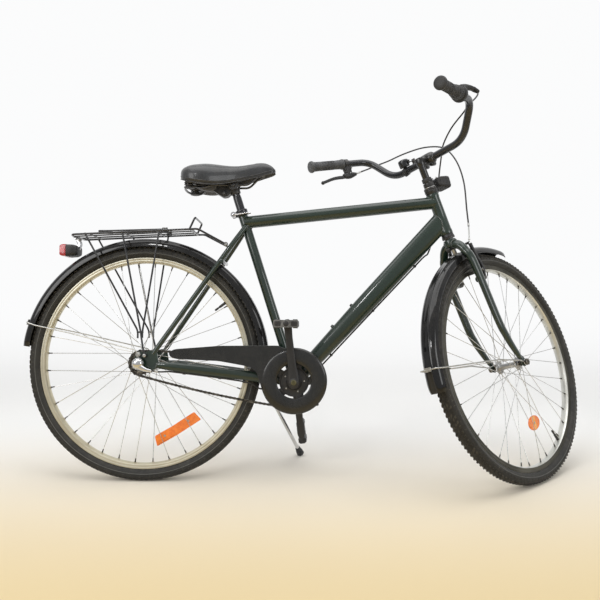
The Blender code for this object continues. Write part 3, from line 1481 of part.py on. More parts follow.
def shifter():
    """The twist shifter: a turning collar next to the short grip and its fixed housing."""
    start = GRIP_LENGTH - 0.022 + GAP
    place = bar_frame(-1, start)
    inner = bore(BAR_RADIUS, 12)
    collar = [(inner, 0.0), (0.0180, 0.0), (0.0188, 0.0180), (0.0205, 0.0280), (inner, 0.0280)]
    piece("shifter_collar", turned(collar, 12, "Z"), RUBBER, STEERING, place)
    fixed = [(inner, 0.0283), (0.0225, 0.0283), (0.0235, 0.0380), (0.0200, 0.0480), (inner, 0.0480)]
    housing = piece("shifter_housing", turned(fixed, 12, "Z"), PLASTIC, STEERING, place)
    route = [(0.0130, 0.0140, 0.0400), (0.0180, 0.0200, 0.0600), (0.0220, 0.0180, 0.0840)]
    spout = piece("spout", tube(route, [0.0080, 0.0065, 0.0035], 8), None, STEERING, place)
    return combine(housing, [spout])


def bell():
    """The bell on the bar beside the stem, with its thumb lever."""
    place = Matrix.Translation((BAR_FORWARD, 0.0850, BAR_HEIGHT))
    clamp = piece("bell_body", rod(0.0150, -0.0060, 0.0060, 12, "Y"), PLASTIC, STEERING, place)
    dome = [(0.0, 0.0185), (0.0165, 0.0200), (0.0175, 0.0300), (0.0130, 0.0380), (0.0, 0.0410)]
    parts = [
        piece("post", rod(0.0060, 0.0120, 0.0200, 6), None, STEERING, place),
        piece("dome", turned(dome, 10, "Z"), None, STEERING, place),
        piece("lug", block((0.0060, 0.0090, 0.0036), (0.0, -0.0190, 0.0290)), None, STEERING, place),
        piece(
            "pin",
            rod(0.0018, 0.0200, 0.0280, 6),
            None,
            STEERING,
            place @ Matrix.Translation((0.0, -0.0210, 0.0)),
        ),
    ]
    combine(clamp, parts)
    combine(
        clamp,
        [piece("cut", rod(bore(BAR_RADIUS, 12), -0.02, 0.02, 12, "Y"), None, STEERING, place)],
        "DIFFERENCE",
    )
    frame_ = empty("bell_lever_frame", STEERING, place @ Matrix.Translation((0.0, -0.0210, 0.0235)))
    lever = piece("bell_lever", rod(0.0040, -0.0018, 0.0018, 8), STEEL, frame_)
    parts = [
        piece("arm", block((0.0240, 0.0044, 0.0022), (0.0130, 0.0, 0.0)), None, frame_),
        piece("thumb", block((0.0030, 0.0120, 0.0100), (0.0250, 0.0, 0.0020)), None, frame_),
    ]
    combine(lever, parts)
    return combine(lever, [piece("cut", rod(bore(0.0018, 6), -0.02, 0.02, 6), None, frame_)], "DIFFERENCE")


# %% Front brake


def brake_arm(name, side):
    """A linear-pull brake arm on its fork post, with its pad facing the rim."""
    frame_ = empty(
        name + "_frame",
        STEERING,
        Matrix.Translation((0.0340, side * BRAKE_PIVOT.y, BRAKE_PIVOT.z)),
    )
    barrel = piece(name, rod(0.0080, -0.0080, 0.0080, 10, "X"), BLACK, frame_)
    path = [
        (0.0, side * 0.0030, 0.0040),
        (0.0030, side * 0.0060, 0.0300),
        (0.0030, 0.0, 0.0700),
        (0.0030, -side * 0.0040, 0.1100),
    ]
    parts = [
        piece("blade", tube(path, 0.0050, 6, 0.0064, up=(0.0, 1.0, 0.0)), None, frame_),
        piece(
            "post",
            tube([(0.0, side * 0.0060, 0.0240), (-0.0080, -side * 0.0200, 0.0240)], 0.0036, 6),
            None,
            frame_,
        ),
        piece("pad", block((0.0560, 0.0090, 0.0085), (-0.0080, -side * 0.0228, 0.0232)), None, frame_),
    ]
    combine(barrel, parts)
    return combine(
        barrel,
        [piece("cut", rod(bore(0.0040, 10), -0.02, 0.03, 10, "X"), None, frame_)],
        "DIFFERENCE",
    )


# %% Cables
def cable(name, points, radius, parent):
    """A cable: a curve with a round bevel and filled ends."""
    curve = bpy.data.curves.new(name, "CURVE")
    curve.dimensions = "3D"
    curve.bevel_depth = radius
    curve.bevel_resolution = 1
    curve.use_fill_caps = True
    curve.materials.append(RUBBER)
    line = curve.splines.new("POLY")
    line.points.add(len(points) - 1)
    for spot, point in zip(line.points, points):
        spot.co = (*point, 1.0)
    made = bpy.data.objects.new(name, curve)
    bpy.context.collection.objects.link(made)
    made.parent = parent
    return made


def from_steering(forward, side, height):
    """A steered point in the bicycle's frame, at the turned handlebar."""
    return STEERING.matrix_basis @ Vector((forward, side, height))


def under_down_tube(share):
    """A point on the cable's line under the down tube, by its share of the way to the head."""
    direction = (on_axis(DOWN_TUBE_HEAD) - BB).normalized()
    below = Vector((direction.z, 0.0, -direction.x))
    return along(
        BB,
        on_axis(DOWN_TUBE_HEAD),
        share,
    ) + below * (0.0275 + 0.0070 * share) + Vector((0.0, 0.0040, 0.0))


def evenly(points, count):
    """Points at even steps along a smooth curve through a route."""
    line = smooth_path(points, 12)
    lengths = [0.0]
    for a, b in zip(line, line[1:]):
        lengths.append(lengths[-1] + (b - a).length)
    out = []
    index = 0
    for k in range(count):
        want = lengths[-1] * k / (count - 1)
        while index < len(line) - 2 and lengths[index + 1] < want:
            index += 1
        t = (want - lengths[index]) / (lengths[index + 1] - lengths[index])
        out.append(line[index].lerp(line[index + 1], t))
    return out


def brake_cable():
    """The brake cable: from the lever in an arch before the stem to the right brake arm's top."""
    start = bar_frame(1, LEVER_AT)
    route = [start @ Vector((0.0, -0.0216, 0.0375)), start @ Vector((0.0, -0.0225, 0.0520))]
    route += [
        (0.0300, 0.2270, 0.7400),
        (0.0640, 0.2130, 0.7410),
        (0.0990, 0.1800, 0.7480),
        (0.1330, 0.1350, 0.7520),
        (0.1639, 0.0800, 0.7456),
    ]
    route += [(0.1800, 0.0300, 0.7238)]
    route += [(0.1740, 0.0000, 0.6931), (0.1600, -0.0220, 0.6400), (0.1310, -0.0350, 0.5724)]
    route += [
        (0.0885, -0.0380, 0.4914),
        (0.0700, -0.0360, 0.4433),
        (0.0500, -0.0360, 0.4080),
        (0.0380, -0.0375, 0.3940),
    ]
    points = evenly(route, 29)
    print("brake cable, m:", round(sum((b - a).length for a, b in zip(points, points[1:])), 3))
    return cable("brake_cable", points, CABLE_RADIUS, STEERING)


def shift_cable():
    """The shift cable: from the twist grip past the head, under the down tube and the right chain stay."""
    start = STEERING.matrix_basis @ bar_frame(-1, GRIP_LENGTH - 0.022 + GAP)
    route = [start @ Vector((0.0222, 0.0179, 0.0845)), start @ Vector((0.0270, 0.0160, 0.1050))]
    route += [from_steering(0.1050, -0.1350, 0.7640), from_steering(0.1100, -0.0750, 0.7420)]
    route += [from_steering(0.1150, -0.0250, 0.7100), from_steering(0.1330, 0.0100, 0.6800)]
    route += [from_steering(0.1350, 0.0400, 0.6350), from_steering(0.1150, 0.0480, 0.5920)]
    route += [on_axis(0.5450, 0.0200, 0.0800), on_axis(0.4900, -0.0050, 0.0600)]
    route += [under_down_tube(0.860) + Vector((0.0, 0.0120, 0.0)), under_down_tube(0.800)]
    route += [under_down_tube(share) for share in (0.55, 0.30, 0.12)]
    route += [
        (0.4560, -0.0060, 0.2750),
        (0.4280, -0.0190, 0.2750),
        (0.4000, -0.0300, 0.2770),
        (0.3745, -0.0340, 0.2770),
    ]
    route += [
        (0.3480, -0.0360, 0.2800),
        (0.3150, -0.0400, 0.2970),
        (0.2345, -0.0500, 0.3105),
        (0.1000, -0.0630, 0.3280),
    ]
    route += [
        (0.0800, -0.0665, 0.3290),
        (0.0620, -0.0745, 0.3290),
        (0.0500, -0.0840, 0.3310),
        (0.0405, -0.0880, 0.3330),
    ]
    points = evenly(route, 54)
    print("shift cable, m:", round(sum((b - a).length for a, b in zip(points, points[1:])), 3))
    return cable("shift_cable", points, CABLE_RADIUS, BIKE)


# %% Standing the bicycle on the floor
def lowest(matrix, name, local=Matrix.Identity(4)):
    """The lowest height of a piece when the bicycle is placed by a matrix."""
    place = matrix @ local
    return min((place @ vertex.co).z for vertex in bpy.data.objects[name].data.vertices)


def stand_on_floor():
    """Lean and pitch the bicycle until both tyres and the stand's foot touch the floor."""
    steered = STEERING.matrix_basis @ FRONT_HUB.matrix_basis
    foot = bpy.data.objects["kickstand_foot"].parent.matrix_basis
    lean = math.radians(LEAN)
    pitch = 0.0
    for _ in range(40):
        matrix = Matrix.Rotation(-lean, 4, "X") @ Matrix.Rotation(pitch, 4, "Y")
        rear_low = lowest(matrix, "rear_tyre", REAR_HUB.matrix_basis)
        front_low = lowest(matrix, "front_tyre", steered)
        foot_low = lowest(matrix, "kickstand_foot", foot)
        pitch += (front_low - rear_low) / WHEELBASE
        lean += (foot_low - (rear_low + front_low) / 2.0) / STAND_FOOT.y
    print("lean and pitch, degrees:", round(math.degrees(lean), 3), round(math.degrees(pitch), 3))
    matrix = Matrix.Rotation(-lean, 4, "X") @ Matrix.Rotation(pitch, 4, "Y")
    BIKE.matrix_basis = matrix
    bpy.context.view_layer.update()
    low, high = bounds()
    middle = (low + high) / 2.0
    return Matrix.Translation((-middle.x, -middle.y, -low.z)) @ matrix


def bounds():
    """The corners of the box that holds every piece."""
    graph = bpy.context.evaluated_depsgraph_get()
    corners = []
    for made in bpy.data.objects:
        if made.type in ("MESH", "CURVE"):
            mesh = bpy.data.meshes.new_from_object(made.evaluated_get(graph))
            corners += [made.matrix_world @ vertex.co for vertex in mesh.vertices]
    low = Vector([min(corner[i] for corner in corners) for i in range(3)])
    high = Vector([max(corner[i] for corner in corners) for i in range(3)])
    print("size, m:", [round(v, 4) for v in high - low])
    return low, high


def main():
    """Build every piece, then stand the bicycle on the floor."""
    frame()
    headset_cup("headset_upper_cup", HEAD_TUBE[1] + GAP, 0.5800, True)
    headset_cup("headset_lower_cup", 0.4225, HEAD_TUBE[0] - GAP, False)
    bottom_bracket()
    seat_clamp()
    seat_clamp_lever()
    seat_post()
    saddle_clamp()
    saddle_rails()
    saddle_spring("saddle_spring_right", -1)
    saddle_spring("saddle_spring_left", 1)
    saddle_cover()

    tyre("rear_tyre", REAR_HUB)
    rim("rear_rim", REAR_HUB)
    rear_hub()
    rear_axle()
    chain_wheel("rear_sprocket", SPROCKET_TEETH, REAR_HUB, 0.0215, SPROCKET_PHASE, CHAIN_STEEL)
    reflector("rear_reflector", REAR_HUB, -62.0, 34.0, 0.2290, 0.0280)

    tyre("front_tyre", FRONT_HUB)
    rim("front_rim", FRONT_HUB)
    front_hub()
    axle("front_axle", FRONT_HUB, 0.0042, 0.0700, (0.0415, 0.0500), (0.0618, 0.0670))
    reflector("front_reflector", FRONT_HUB, -86.0, 18.0, 0.1900, 0.0300)

    crank_spindle()
    chainring()
    crank_arm("crank_arm_right", -1)
    crank_arm("crank_arm_left", 1)
    pedal("pedal_right", -1, CRANK_ANGLE)
    pedal("pedal_left", 1, CRANK_ANGLE + 82.0)
    chain_piece()
    chain_guard()

    rear_fender()
    rear_fender_stay()
    rack()
    rack_clip()
    rear_light()
    kickstand()

    fork()
    stem()
    handlebar()
    grip("grip_left", 1)
    grip("grip_right", -1)
    brake_lever()
    shifter()
    bell()
    headlight()
    brake_arm("brake_arm_right", -1)
    brake_arm("brake_arm_left", 1)
    front_fender()
    front_fender_stay()
    brake_cable()
    shift_cable()

    BIKE.matrix_basis = stand_on_floor()


main()
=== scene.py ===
# %% [markdown]
# # A city bicycle on its side stand
#
# The solids of this bicycle come from a CAD model. This notebook dresses them: every tube, wire,
# casting and moulding gets the smooth shape and the finish that the real one has. The cells go
# from the frame outwards, one kind of piece at a time, and each text cell says what the piece is
# on a real bicycle before the code makes it.

# %% Load the CAD model
import json
from math import asin, atan2, copysign, cos, degrees, exp, pi, radians, sin, sqrt

import bmesh
import bpy
from mathutils import Matrix, Vector
from mathutils.bvhtree import BVHTree


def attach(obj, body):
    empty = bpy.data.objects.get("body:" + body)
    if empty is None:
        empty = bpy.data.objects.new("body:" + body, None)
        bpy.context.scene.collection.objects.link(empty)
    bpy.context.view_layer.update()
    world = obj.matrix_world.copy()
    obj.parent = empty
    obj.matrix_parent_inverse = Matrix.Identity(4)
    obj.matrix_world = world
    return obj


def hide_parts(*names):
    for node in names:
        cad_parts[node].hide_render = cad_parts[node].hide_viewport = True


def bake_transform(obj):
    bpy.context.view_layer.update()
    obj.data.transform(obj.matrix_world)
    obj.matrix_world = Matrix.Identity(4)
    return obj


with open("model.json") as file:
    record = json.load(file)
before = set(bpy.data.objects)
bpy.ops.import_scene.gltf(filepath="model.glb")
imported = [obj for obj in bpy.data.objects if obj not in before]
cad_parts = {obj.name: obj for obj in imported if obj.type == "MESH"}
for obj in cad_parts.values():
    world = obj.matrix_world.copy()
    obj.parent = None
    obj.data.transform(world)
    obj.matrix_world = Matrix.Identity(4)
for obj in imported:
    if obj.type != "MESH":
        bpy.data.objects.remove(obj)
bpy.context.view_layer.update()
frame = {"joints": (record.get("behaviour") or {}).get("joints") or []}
JOINTS = {joint["name"]: joint for joint in frame["joints"]}
print("joints:", sorted(JOINTS))

# %% [markdown]
# A bicycle is drawn upright, with its wheels straight, but this one leans on its stand with the
# handlebar turned. So the shapes are written in three frames that move with it: the bicycle's own
# frame (X forward from the rear axle, Y to its left, Z up from the ground), the steered frame
# (Z up the steering axis, X forward, from the height of the front axle), and the seat tube's
# frame. All three are read from the joints, so nothing is placed by eye.

# %% The bicycle's own frames
TYRE_RADIUS = 0.3525
FORK_RAKE = 0.0605
HEAD_ANGLE = 69.9
SEAT_ANGLE = 72.2
BB = Vector((0.451, 0, 0.3005))
REAR_AXLE = Vector((0, 0, TYRE_RADIUS))
FRONT_AXLE = Vector((1.116, 0, TYRE_RADIUS))


def spot_of(joint):
    """Where a joint's axis passes, in the scene."""
    return Vector(JOINTS[joint]["pos_m"])


def axis_of(joint):
    """The direction of a joint's axis."""
    return Vector(JOINTS[joint]["axis"]).normalized()


def frame_from(x, y, z, origin):
    """A placement from three directions and an origin."""
    turn = Matrix((x, y, z)).transposed().to_4x4()
    return Matrix.Translation(origin) @ turn


def bicycle_frame():
    """The upright bicycle's frame, from the rear axle and the crank axle."""
    side = axis_of("rear_wheel_spin")
    to_crank = (spot_of("crank_turn") - spot_of("rear_wheel_spin")).normalized()
    rise = (BB - REAR_AXLE).normalized()
    up_from_crank = to_crank.cross(side)
    forward = to_crank * rise.x - up_from_crank * rise.z
    up = to_crank * rise.z + up_from_crank * rise.x
    return frame_from(forward, side, up, spot_of("rear_wheel_spin") - up * TYRE_RADIUS)


def steered_frame():
    """The frame of the fork and the handlebar."""
    up = axis_of("steering_turn")
    side = axis_of("front_wheel_spin")
    return frame_from(side.cross(up), side, up, spot_of("steering_turn"))


BIKE = bicycle_frame()
STEER = steered_frame()
STEER_TILT = Matrix.Rotation(radians(HEAD_ANGLE - 90), 4, "Y")
STRAIGHT = Matrix.Translation(FRONT_AXLE - STEER_TILT.to_3x3() @ Vector((FORK_RAKE, 0, 0))) @ STEER_TILT
SEAT_TILT = Matrix.Translation(BB) @ Matrix.Rotation(radians(SEAT_ANGLE - 90), 4, "Y")
REAR_HUB = BIKE @ Matrix.Translation(REAR_AXLE)
FRONT_HUB = STEER @ Matrix.Translation((FORK_RAKE, 0, 0))
LEAN = degrees(asin(BIKE.col[1].z))
print("lean, degrees:", round(-LEAN, 2), "frame origin:", [round(v, 4) for v in BIKE.translation])


def on_head(distance, forward=0, side=0):
    """A point along the steering axis of the frame, in the bicycle's frame."""
    return STRAIGHT @ Vector((forward, side, distance))


def on_seat(distance, forward=0, side=0):
    """A point along the seat tube, in the bicycle's frame."""
    return SEAT_TILT @ Vector((forward, side, distance))


# %% [markdown]
# The stage is a photographer's: a pale warm floor that rises into a white backdrop, with large
# soft lamps. The backdrop's white comes from its own surface as the camera and shiny things see
# it, so the lamps can stay at a plain level and the colours stay as they are written. The camera
# stands where the photographer stood, which was solved from the wheels and the frame.

# %% Camera, floor and backdrop
CAMERA_SPOT = Vector((0.5221, -1.9071, 0.7056))
CAMERA_PITCH = -4.888
CAMERA_YAW = -1.543
CAMERA_ROLL = 0.17
CAMERA_LENS = 39.48


def camera():
    """The photograph's camera."""
    data = bpy.data.cameras.new("camera")
    data.lens = CAMERA_LENS
    data.sensor_width = 36
    made = bpy.data.objects.new("camera", data)
    bpy.context.scene.collection.objects.link(made)
    made.location = CAMERA_SPOT + BIKE.translation
    made.rotation_euler = (radians(90 + CAMERA_PITCH), radians(CAMERA_ROLL), radians(-CAMERA_YAW))
    bpy.context.scene.camera = made
    return made


camera()
print("camera at", [round(v, 4) for v in bpy.context.scene.camera.location])

# %% [markdown]
# The floor and the backdrop are one sweep: flat under the bicycle, then curved up behind it, so
# there is no hard corner. Its colour warms towards the camera, as the studio floor does. Only
# the far part glows for the camera, and the bicycle's shadow stays on the floor.

# %% The sweep
FLOOR_WARM = (0.71, 0.565, 0.32)
FLOOR_PALE = (0.894, 0.89, 0.88)
BACKDROP_WHITE = (0.968, 0.971, 0.974)
WARM_DEPTH = {"From Min": -0.95, "From Max": 0.62, "interpolation_type": "SMOOTHSTEP"}
WHITE_DEPTH = {"From Min": 0.55, "From Max": 2.6, "interpolation_type": "SMOOTHSTEP"}
SWEEP_START = 1.7
SWEEP_RADIUS = 1.6


def sweep_mesh():
    """A floor that curves up into a wall, as one strip along X."""
    profile = [(-6, 0), (SWEEP_START, 0)]
    for k in range(1, 25):
        angle = radians(90 * k / 24)
        profile.append((SWEEP_START + SWEEP_RADIUS * sin(angle), SWEEP_RADIUS * (1 - cos(angle))))
    profile.append((SWEEP_START + SWEEP_RADIUS, 7))
    bm = bmesh.new()
    rows = [[bm.verts.new((x, y, z)) for y, z in profile] for x in (-9, 9)]
    for k in range(len(profile) - 1):
        bm.faces.new((rows[0][k], rows[1][k], rows[1][k + 1], rows[0][k + 1]))
    mesh = bpy.data.meshes.new("studio_sweep")
    bm.to_mesh(mesh)
    bm.free()
    mesh.shade_smooth()
    return mesh


def node(tree, kind, spot=(0, 0), **values):
    """A shader node with some of its settings and unlinked sockets filled in."""
    made = tree.nodes.new(kind)
    made.location = spot
    for key, value in values.items():
        if key in made.inputs:
            made.inputs[key].default_value = value
        else:
            setattr(made, key, value)
    return made


def sweep_material():
    """Matt paper: warm in front, pale behind, and white where it rises."""
    look = bpy.data.materials.new("studio_paper")
    look.use_nodes = True
    tree = look.node_tree
    tree.nodes.clear()
    place = node(tree, "ShaderNodeTexCoord", (-1200, 0))
    split = node(tree, "ShaderNodeSeparateXYZ", (-1000, 0))
    depth = node(tree, "ShaderNodeMapRange", (-800, 100), **WARM_DEPTH)
    warm = node(tree, "ShaderNodeMix", (-560, 100), data_type="RGBA")
    warm.inputs["A"].default_value = (*FLOOR_WARM, 1)
    warm.inputs["B"].default_value = (*FLOOR_PALE, 1)
    clouds = node(tree, "ShaderNodeTexNoise", (-1000, -220), Scale=1.1, Detail=3)
    cloud_range = node(tree, "ShaderNodeMapRange", (-800, -220), **{"To Min": 0.97, "To Max": 1.03})
    cloudy = node(tree, "ShaderNodeMix", (-340, 60), data_type="RGBA", blend_type="MULTIPLY")
    cloudy.inputs["Factor"].default_value = 1
    paper = node(tree, "ShaderNodeBsdfDiffuse", (-120, 60))
    glow = node(tree, "ShaderNodeEmission", (-120, -140), Color=(*BACKDROP_WHITE, 1))
    rise = node(tree, "ShaderNodeMapRange", (-800, -480), **WHITE_DEPTH)
    path = node(tree, "ShaderNodeLightPath", (-800, -760))
    sees = node(tree, "ShaderNodeMath", (-560, -700), operation="MAXIMUM")
    sees_glass = node(tree, "ShaderNodeMath", (-380, -700), operation="MAXIMUM")
    both = node(tree, "ShaderNodeMath", (-200, -560), operation="MULTIPLY")
    mix = node(tree, "ShaderNodeMixShader", (120, 0))
    out = node(tree, "ShaderNodeOutputMaterial", (320, 0))
    link = tree.links.new
    link(place.outputs["Object"], split.inputs[0])
    link(place.outputs["Object"], clouds.inputs["Vector"])
    link(split.outputs["Y"], depth.inputs["Value"])
    link(split.outputs["Y"], rise.inputs["Value"])
    link(depth.outputs["Result"], warm.inputs["Factor"])
    link(clouds.outputs["Fac"], cloud_range.inputs["Value"])
    link(warm.outputs["Result"], cloudy.inputs["A"])
    link(cloud_range.outputs["Result"], cloudy.inputs["B"])
    link(cloudy.outputs["Result"], paper.inputs["Color"])
    link(path.outputs["Is Camera Ray"], sees.inputs[0])
    link(path.outputs["Is Glossy Ray"], sees.inputs[1])
    link(sees.outputs[0], sees_glass.inputs[0])
    link(path.outputs["Is Transmission Ray"], sees_glass.inputs[1])
    link(sees_glass.outputs[0], both.inputs[0])
    link(rise.outputs["Result"], both.inputs[1])
    link(both.outputs[0], mix.inputs[0])
    link(paper.outputs[0], mix.inputs[1])
    link(glow.outputs[0], mix.inputs[2])
    link(mix.outputs[0], out.inputs["Surface"])
    return look


sweep = bpy.data.objects.new("studio_sweep", sweep_mesh())
bpy.context.scene.collection.objects.link(sweep)
sweep.data.materials.append(sweep_material())
print("sweep rises from y =", SWEEP_START)

# %% [markdown]
# Gloss is only seen by what it reflects. A wide lamp above gives the long pale streak on top of
# each tube, two softer ones fill the sides, a small one adds the sharp sparks, and a plain pale
# world keeps the shadows open.

# %% Lamps and world
def lamp(name, spot, aim, size, watts, colour=(1, 1, 1)):
    """A large soft lamp that faces a point."""
    data = bpy.data.lights.new(name, "AREA")
    data.shape = "RECTANGLE"
    data.size, data.size_y = size
    data.energy = watts
    data.color = colour
    made = bpy.data.objects.new(name, data)
    bpy.context.scene.collection.objects.link(made)
    made.location = spot
    made.rotation_euler = (Vector(aim) - Vector(spot)).to_track_quat("-Z", "Y").to_euler()
    return made


lamp("lamp_above", (0, -0.2, 2.9), (0, 0, 0.3), (3.4, 2), 46, (1, 0.998, 0.992))
lamp("lamp_front_left", (-2.4, -2.3, 1.9), (0, 0, 0.5), (1.5, 1.5), 30, (1, 0.997, 0.99))
lamp("lamp_front_right", (2.6, -2, 1.6), (0.1, 0, 0.5), (1.4, 1.4), 22, (0.98, 0.99, 1))
lamp("lamp_spark", (-1.1, -2.6, 2.5), (0, 0, 0.6), (0.3, 0.3), 9)

world = bpy.data.worlds.new("studio")
world.use_nodes = True
world.node_tree.nodes["Background"].inputs["Color"].default_value = (0.975, 0.988, 1, 1)
world.node_tree.nodes["Background"].inputs["Strength"].default_value = 0.55
bpy.context.scene.world = world
bpy.context.scene.view_settings.view_transform = "Standard"

# %% [markdown]
# Most of a bicycle is one of four forms: a bent tube, a turned part, a plate, or a moulding
# lofted through several sections. Each form below is gathered as points and faces in a Form, so
# that one real piece, whatever it is made of, becomes one object. Its points are written in the
# frame that suits it, and the object carries that frame as its placement, which also gives the
# shader steady coordinates that follow the piece.

# %% Shape tools
TAU = 2 * pi


class Form:
    """Points and faces of one piece, gathered shell by shell."""

    def __init__(self):
        self.points = []
        self.faces = []
        self.looks = []

    def add(self, shell, matrix=None, look=0):
        """Take in a shell: its points, moved by a matrix, and its faces with a material number."""
        points, faces = shell
        first = len(self.points)
        for point in points:
            self.points.append(matrix @ Vector(point) if matrix else Vector(point))
        self.faces += [[first + index for index in face] for face in faces]
        self.looks += [look] * len(faces)
        return self

    def piece(self, name, body, looks, matrix=BIKE, replaces=(), slot=None, sharp=38):
        """Make the object, shade it, let it ride on a body and stand for its CAD nodes."""
        mesh = bpy.data.meshes.new(name)
        mesh.from_pydata([tuple(point) for point in self.points], [], self.faces)
        looks = looks if isinstance(looks, (list, tuple)) else [looks]
        for look in looks:
            mesh.materials.append(look)
        mesh.polygons.foreach_set("material_index", self.looks)
        bm = bmesh.new()
        bm.from_mesh(mesh)
        bmesh.ops.recalc_face_normals(bm, faces=bm.faces)
        bm.to_mesh(mesh)
        bm.free()
        mesh.shade_smooth()
        mesh.set_sharp_from_angle(angle=radians(sharp))
        made = bpy.data.objects.new(name, mesh)
        bpy.context.scene.collection.objects.link(made)
        made.matrix_world = matrix
        if body:
            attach(made, body)
        if replaces:
            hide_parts(*([replaces] if isinstance(replaces, str) else replaces))
        print(name, "faces:", len(mesh.polygons))
        return made


def bridge_rings(rings, caps=True, loop=False):
    """Faces that join rings of equal length, one after another."""
    size = len(rings[0])
    points = [point for ring in rings for point in ring]
    faces = []
    spans = len(rings) if loop else len(rings) - 1
    for k in range(spans):
        a, b = k * size, (k + 1) % len(rings) * size
        for i in range(size):
            j = (i + 1) % size
            faces.append([a + i, a + j, b + j, b + i])
    if caps and not loop:
        faces.append(list(range(size))[::-1])
        faces.append([len(points) - size + i for i in range(size)])
    return points, faces


def path_frames(points, up=None, loop=False):
    """Two side directions at each point of a path, carried along without twist."""
    points = [Vector(point) for point in points]
    count = len(points)
    frames = []
    side = None
    for k in range(count):
        before = points[k - 1] if k or loop else points[0]
        after = points[(k + 1) % count] if k < count - 1 or loop else points[-1]
        run = (after - before).normalized()
        if side is None:
            guide = up or ((0, 0, 1) if abs(run.z) < 0.9 else (1, 0, 0))
            side = Vector(guide).cross(run).normalized()
        else:
            side = (side - run * side.dot(run)).normalized()
        frames.append((side, run.cross(side)))
    return frames


def tube(points, radius, sides=20, flat=None, up=None, power=2):
    """A tube along a path; radius and flat may be one value or one per point."""
    count = len(points)
    tall = radius if isinstance(radius, (list, tuple)) else [radius] * count
    wide = tall if flat is None else (flat if isinstance(flat, (list, tuple)) else [flat] * count)
    rings = []
    for k, (side, rise) in enumerate(path_frames(points, up)):
        ring = []
        for i in range(sides):
            c, s = squared(TAU * (i + 0.5) / sides, 2 / power)
            ring.append(Vector(points[k]) + side * wide[k] * c + rise * tall[k] * s)
        rings.append(ring)
    return bridge_rings(rings)


def graded(start, end, count):
    """Sizes that change evenly along a path."""
    return [start + (end - start) * k / (count - 1) for k in range(count)]


def sided(points, side):
    """Points that are given for the left side, on the left (1) or on the right (-1)."""
    return [Vector((x, side * y, z)) for x, y, z in points]


def rounded(points, radius, steps=6):
    """A path whose corners are bent round."""
    points = [Vector(point) for point in points]
    radii = radius if isinstance(radius, (list, tuple)) else [radius] * len(points)
    out = [points[0]]
    for k in range(1, len(points) - 1):
        back = points[k - 1] - points[k]
        ahead = points[k + 1] - points[k]
        reach = min(radii[k], back.length * 0.48, ahead.length * 0.48)
        start = points[k] + back.normalized() * reach
        end = points[k] + ahead.normalized() * reach
        for i in range(steps + 1):
            t = i / steps
            out.append(start.lerp(points[k], t).lerp(points[k].lerp(end, t), t))
    out.append(points[-1])
    return out


def flowing(points, steps=8):
    """A smooth curve through a route's points."""
    points = [Vector(point) for point in points]
    count = len(points)
    out = []
    for k in range(count - 1):
        p1, p2 = points[k], points[k + 1]
        p0 = points[k - 1] if k else p1 * 2 - p2
        p3 = points[k + 2] if k < count - 2 else p2 * 2 - p1
        for i in range(steps):
            t = i / steps
            a = p1 * 2 + (p2 - p0) * t
            b = (p0 * 2 - p1 * 5 + p2 * 4 - p3) * t * t
            c = (p1 * 3 - p0 - p2 * 3 + p3) * t * t * t
            out.append((a + b + c) * 0.5)
    return out + [points[-1]]


def lofted(route, sizes, steps, sides, up, power=2):
    """A tube along a smooth route, whose height and width change as smoothly."""
    shape = flowing([(tall, wide, 0) for tall, wide in sizes], steps)
    return tube(flowing(route, steps), [s.x for s in shape], sides, [s.y for s in shape], up, power)


def spread(points, count):
    """Points at even steps along a line."""
    lengths = [0]
    for a, b in zip(points, points[1:]):
        lengths.append(lengths[-1] + (b - a).length)
    out = []
    index = 0
    for k in range(count):
        want = lengths[-1] * k / (count - 1)
        while index < len(points) - 2 and lengths[index + 1] < want:
            index += 1
        t = (want - lengths[index]) / max(lengths[index + 1] - lengths[index], 1e-9)
        out.append(points[index].lerp(points[index + 1], t))
    return out


def laid(a, b, height, axis):
    """A point from two numbers across an axis and one along it."""
    return {"X": (height, a, b), "Y": (a, height, b), "Z": (a, b, height)}[axis]


def spun(radius, height, angle, axis):
    """A point of a turned part about an axis."""
    return laid(radius * cos(angle), radius * sin(angle), height, axis)


def turned(profile, axis="Y", sides=48, loop=False):
    """A turned part from pairs of radius and height; a loop's profile closes on itself."""
    points, rows = [], []
    for radius, height in profile:
        if radius:
            rows.append(range(len(points), len(points) + sides))
            points += [spun(radius, height, TAU * k / sides, axis) for k in range(sides)]
        else:
            rows.append([len(points)] * sides)
            points.append(spun(0, height, 0, axis))
    faces = []
    for a, b in zip(rows, rows[1:] + rows[:1] if loop else rows[1:]):
        for k in range(sides):
            j = (k + 1) % sides
            face = list(dict.fromkeys((a[k], a[j], b[j], b[k])))
            if len(face) > 2:
                faces.append(face)
    return points, faces


def pin(radius, start, end, axis="Y", sides=32, edge=0.0006):
    """A round pin with eased edges."""
    edge = min(edge, abs(end - start) * 0.4, radius * 0.5)
    sign = copysign(1, end - start)
    profile = [(0, start), (radius - edge, start), (radius - edge * 0.3, start + sign * edge * 0.3)]
    profile += [(radius, start + sign * edge), (radius, end - sign * edge)]
    profile += [(radius - edge * 0.3, end - sign * edge * 0.3), (radius - edge, end), (0, end)]
    return turned(profile, axis, sides)


def ring_part(outer, inner, start, end, axis="Y", sides=48, edge=0.0005):
    """A collar or washer with eased edges."""
    sign = copysign(1, end - start)
    e = edge * sign
    profile = [(inner, start + e), (inner + edge, start), (outer - edge, start), (outer, start + e)]
    profile += [(outer, end - e), (outer - edge, end), (inner + edge, end), (inner, end - e)]
    return turned(profile, axis, sides, loop=True)


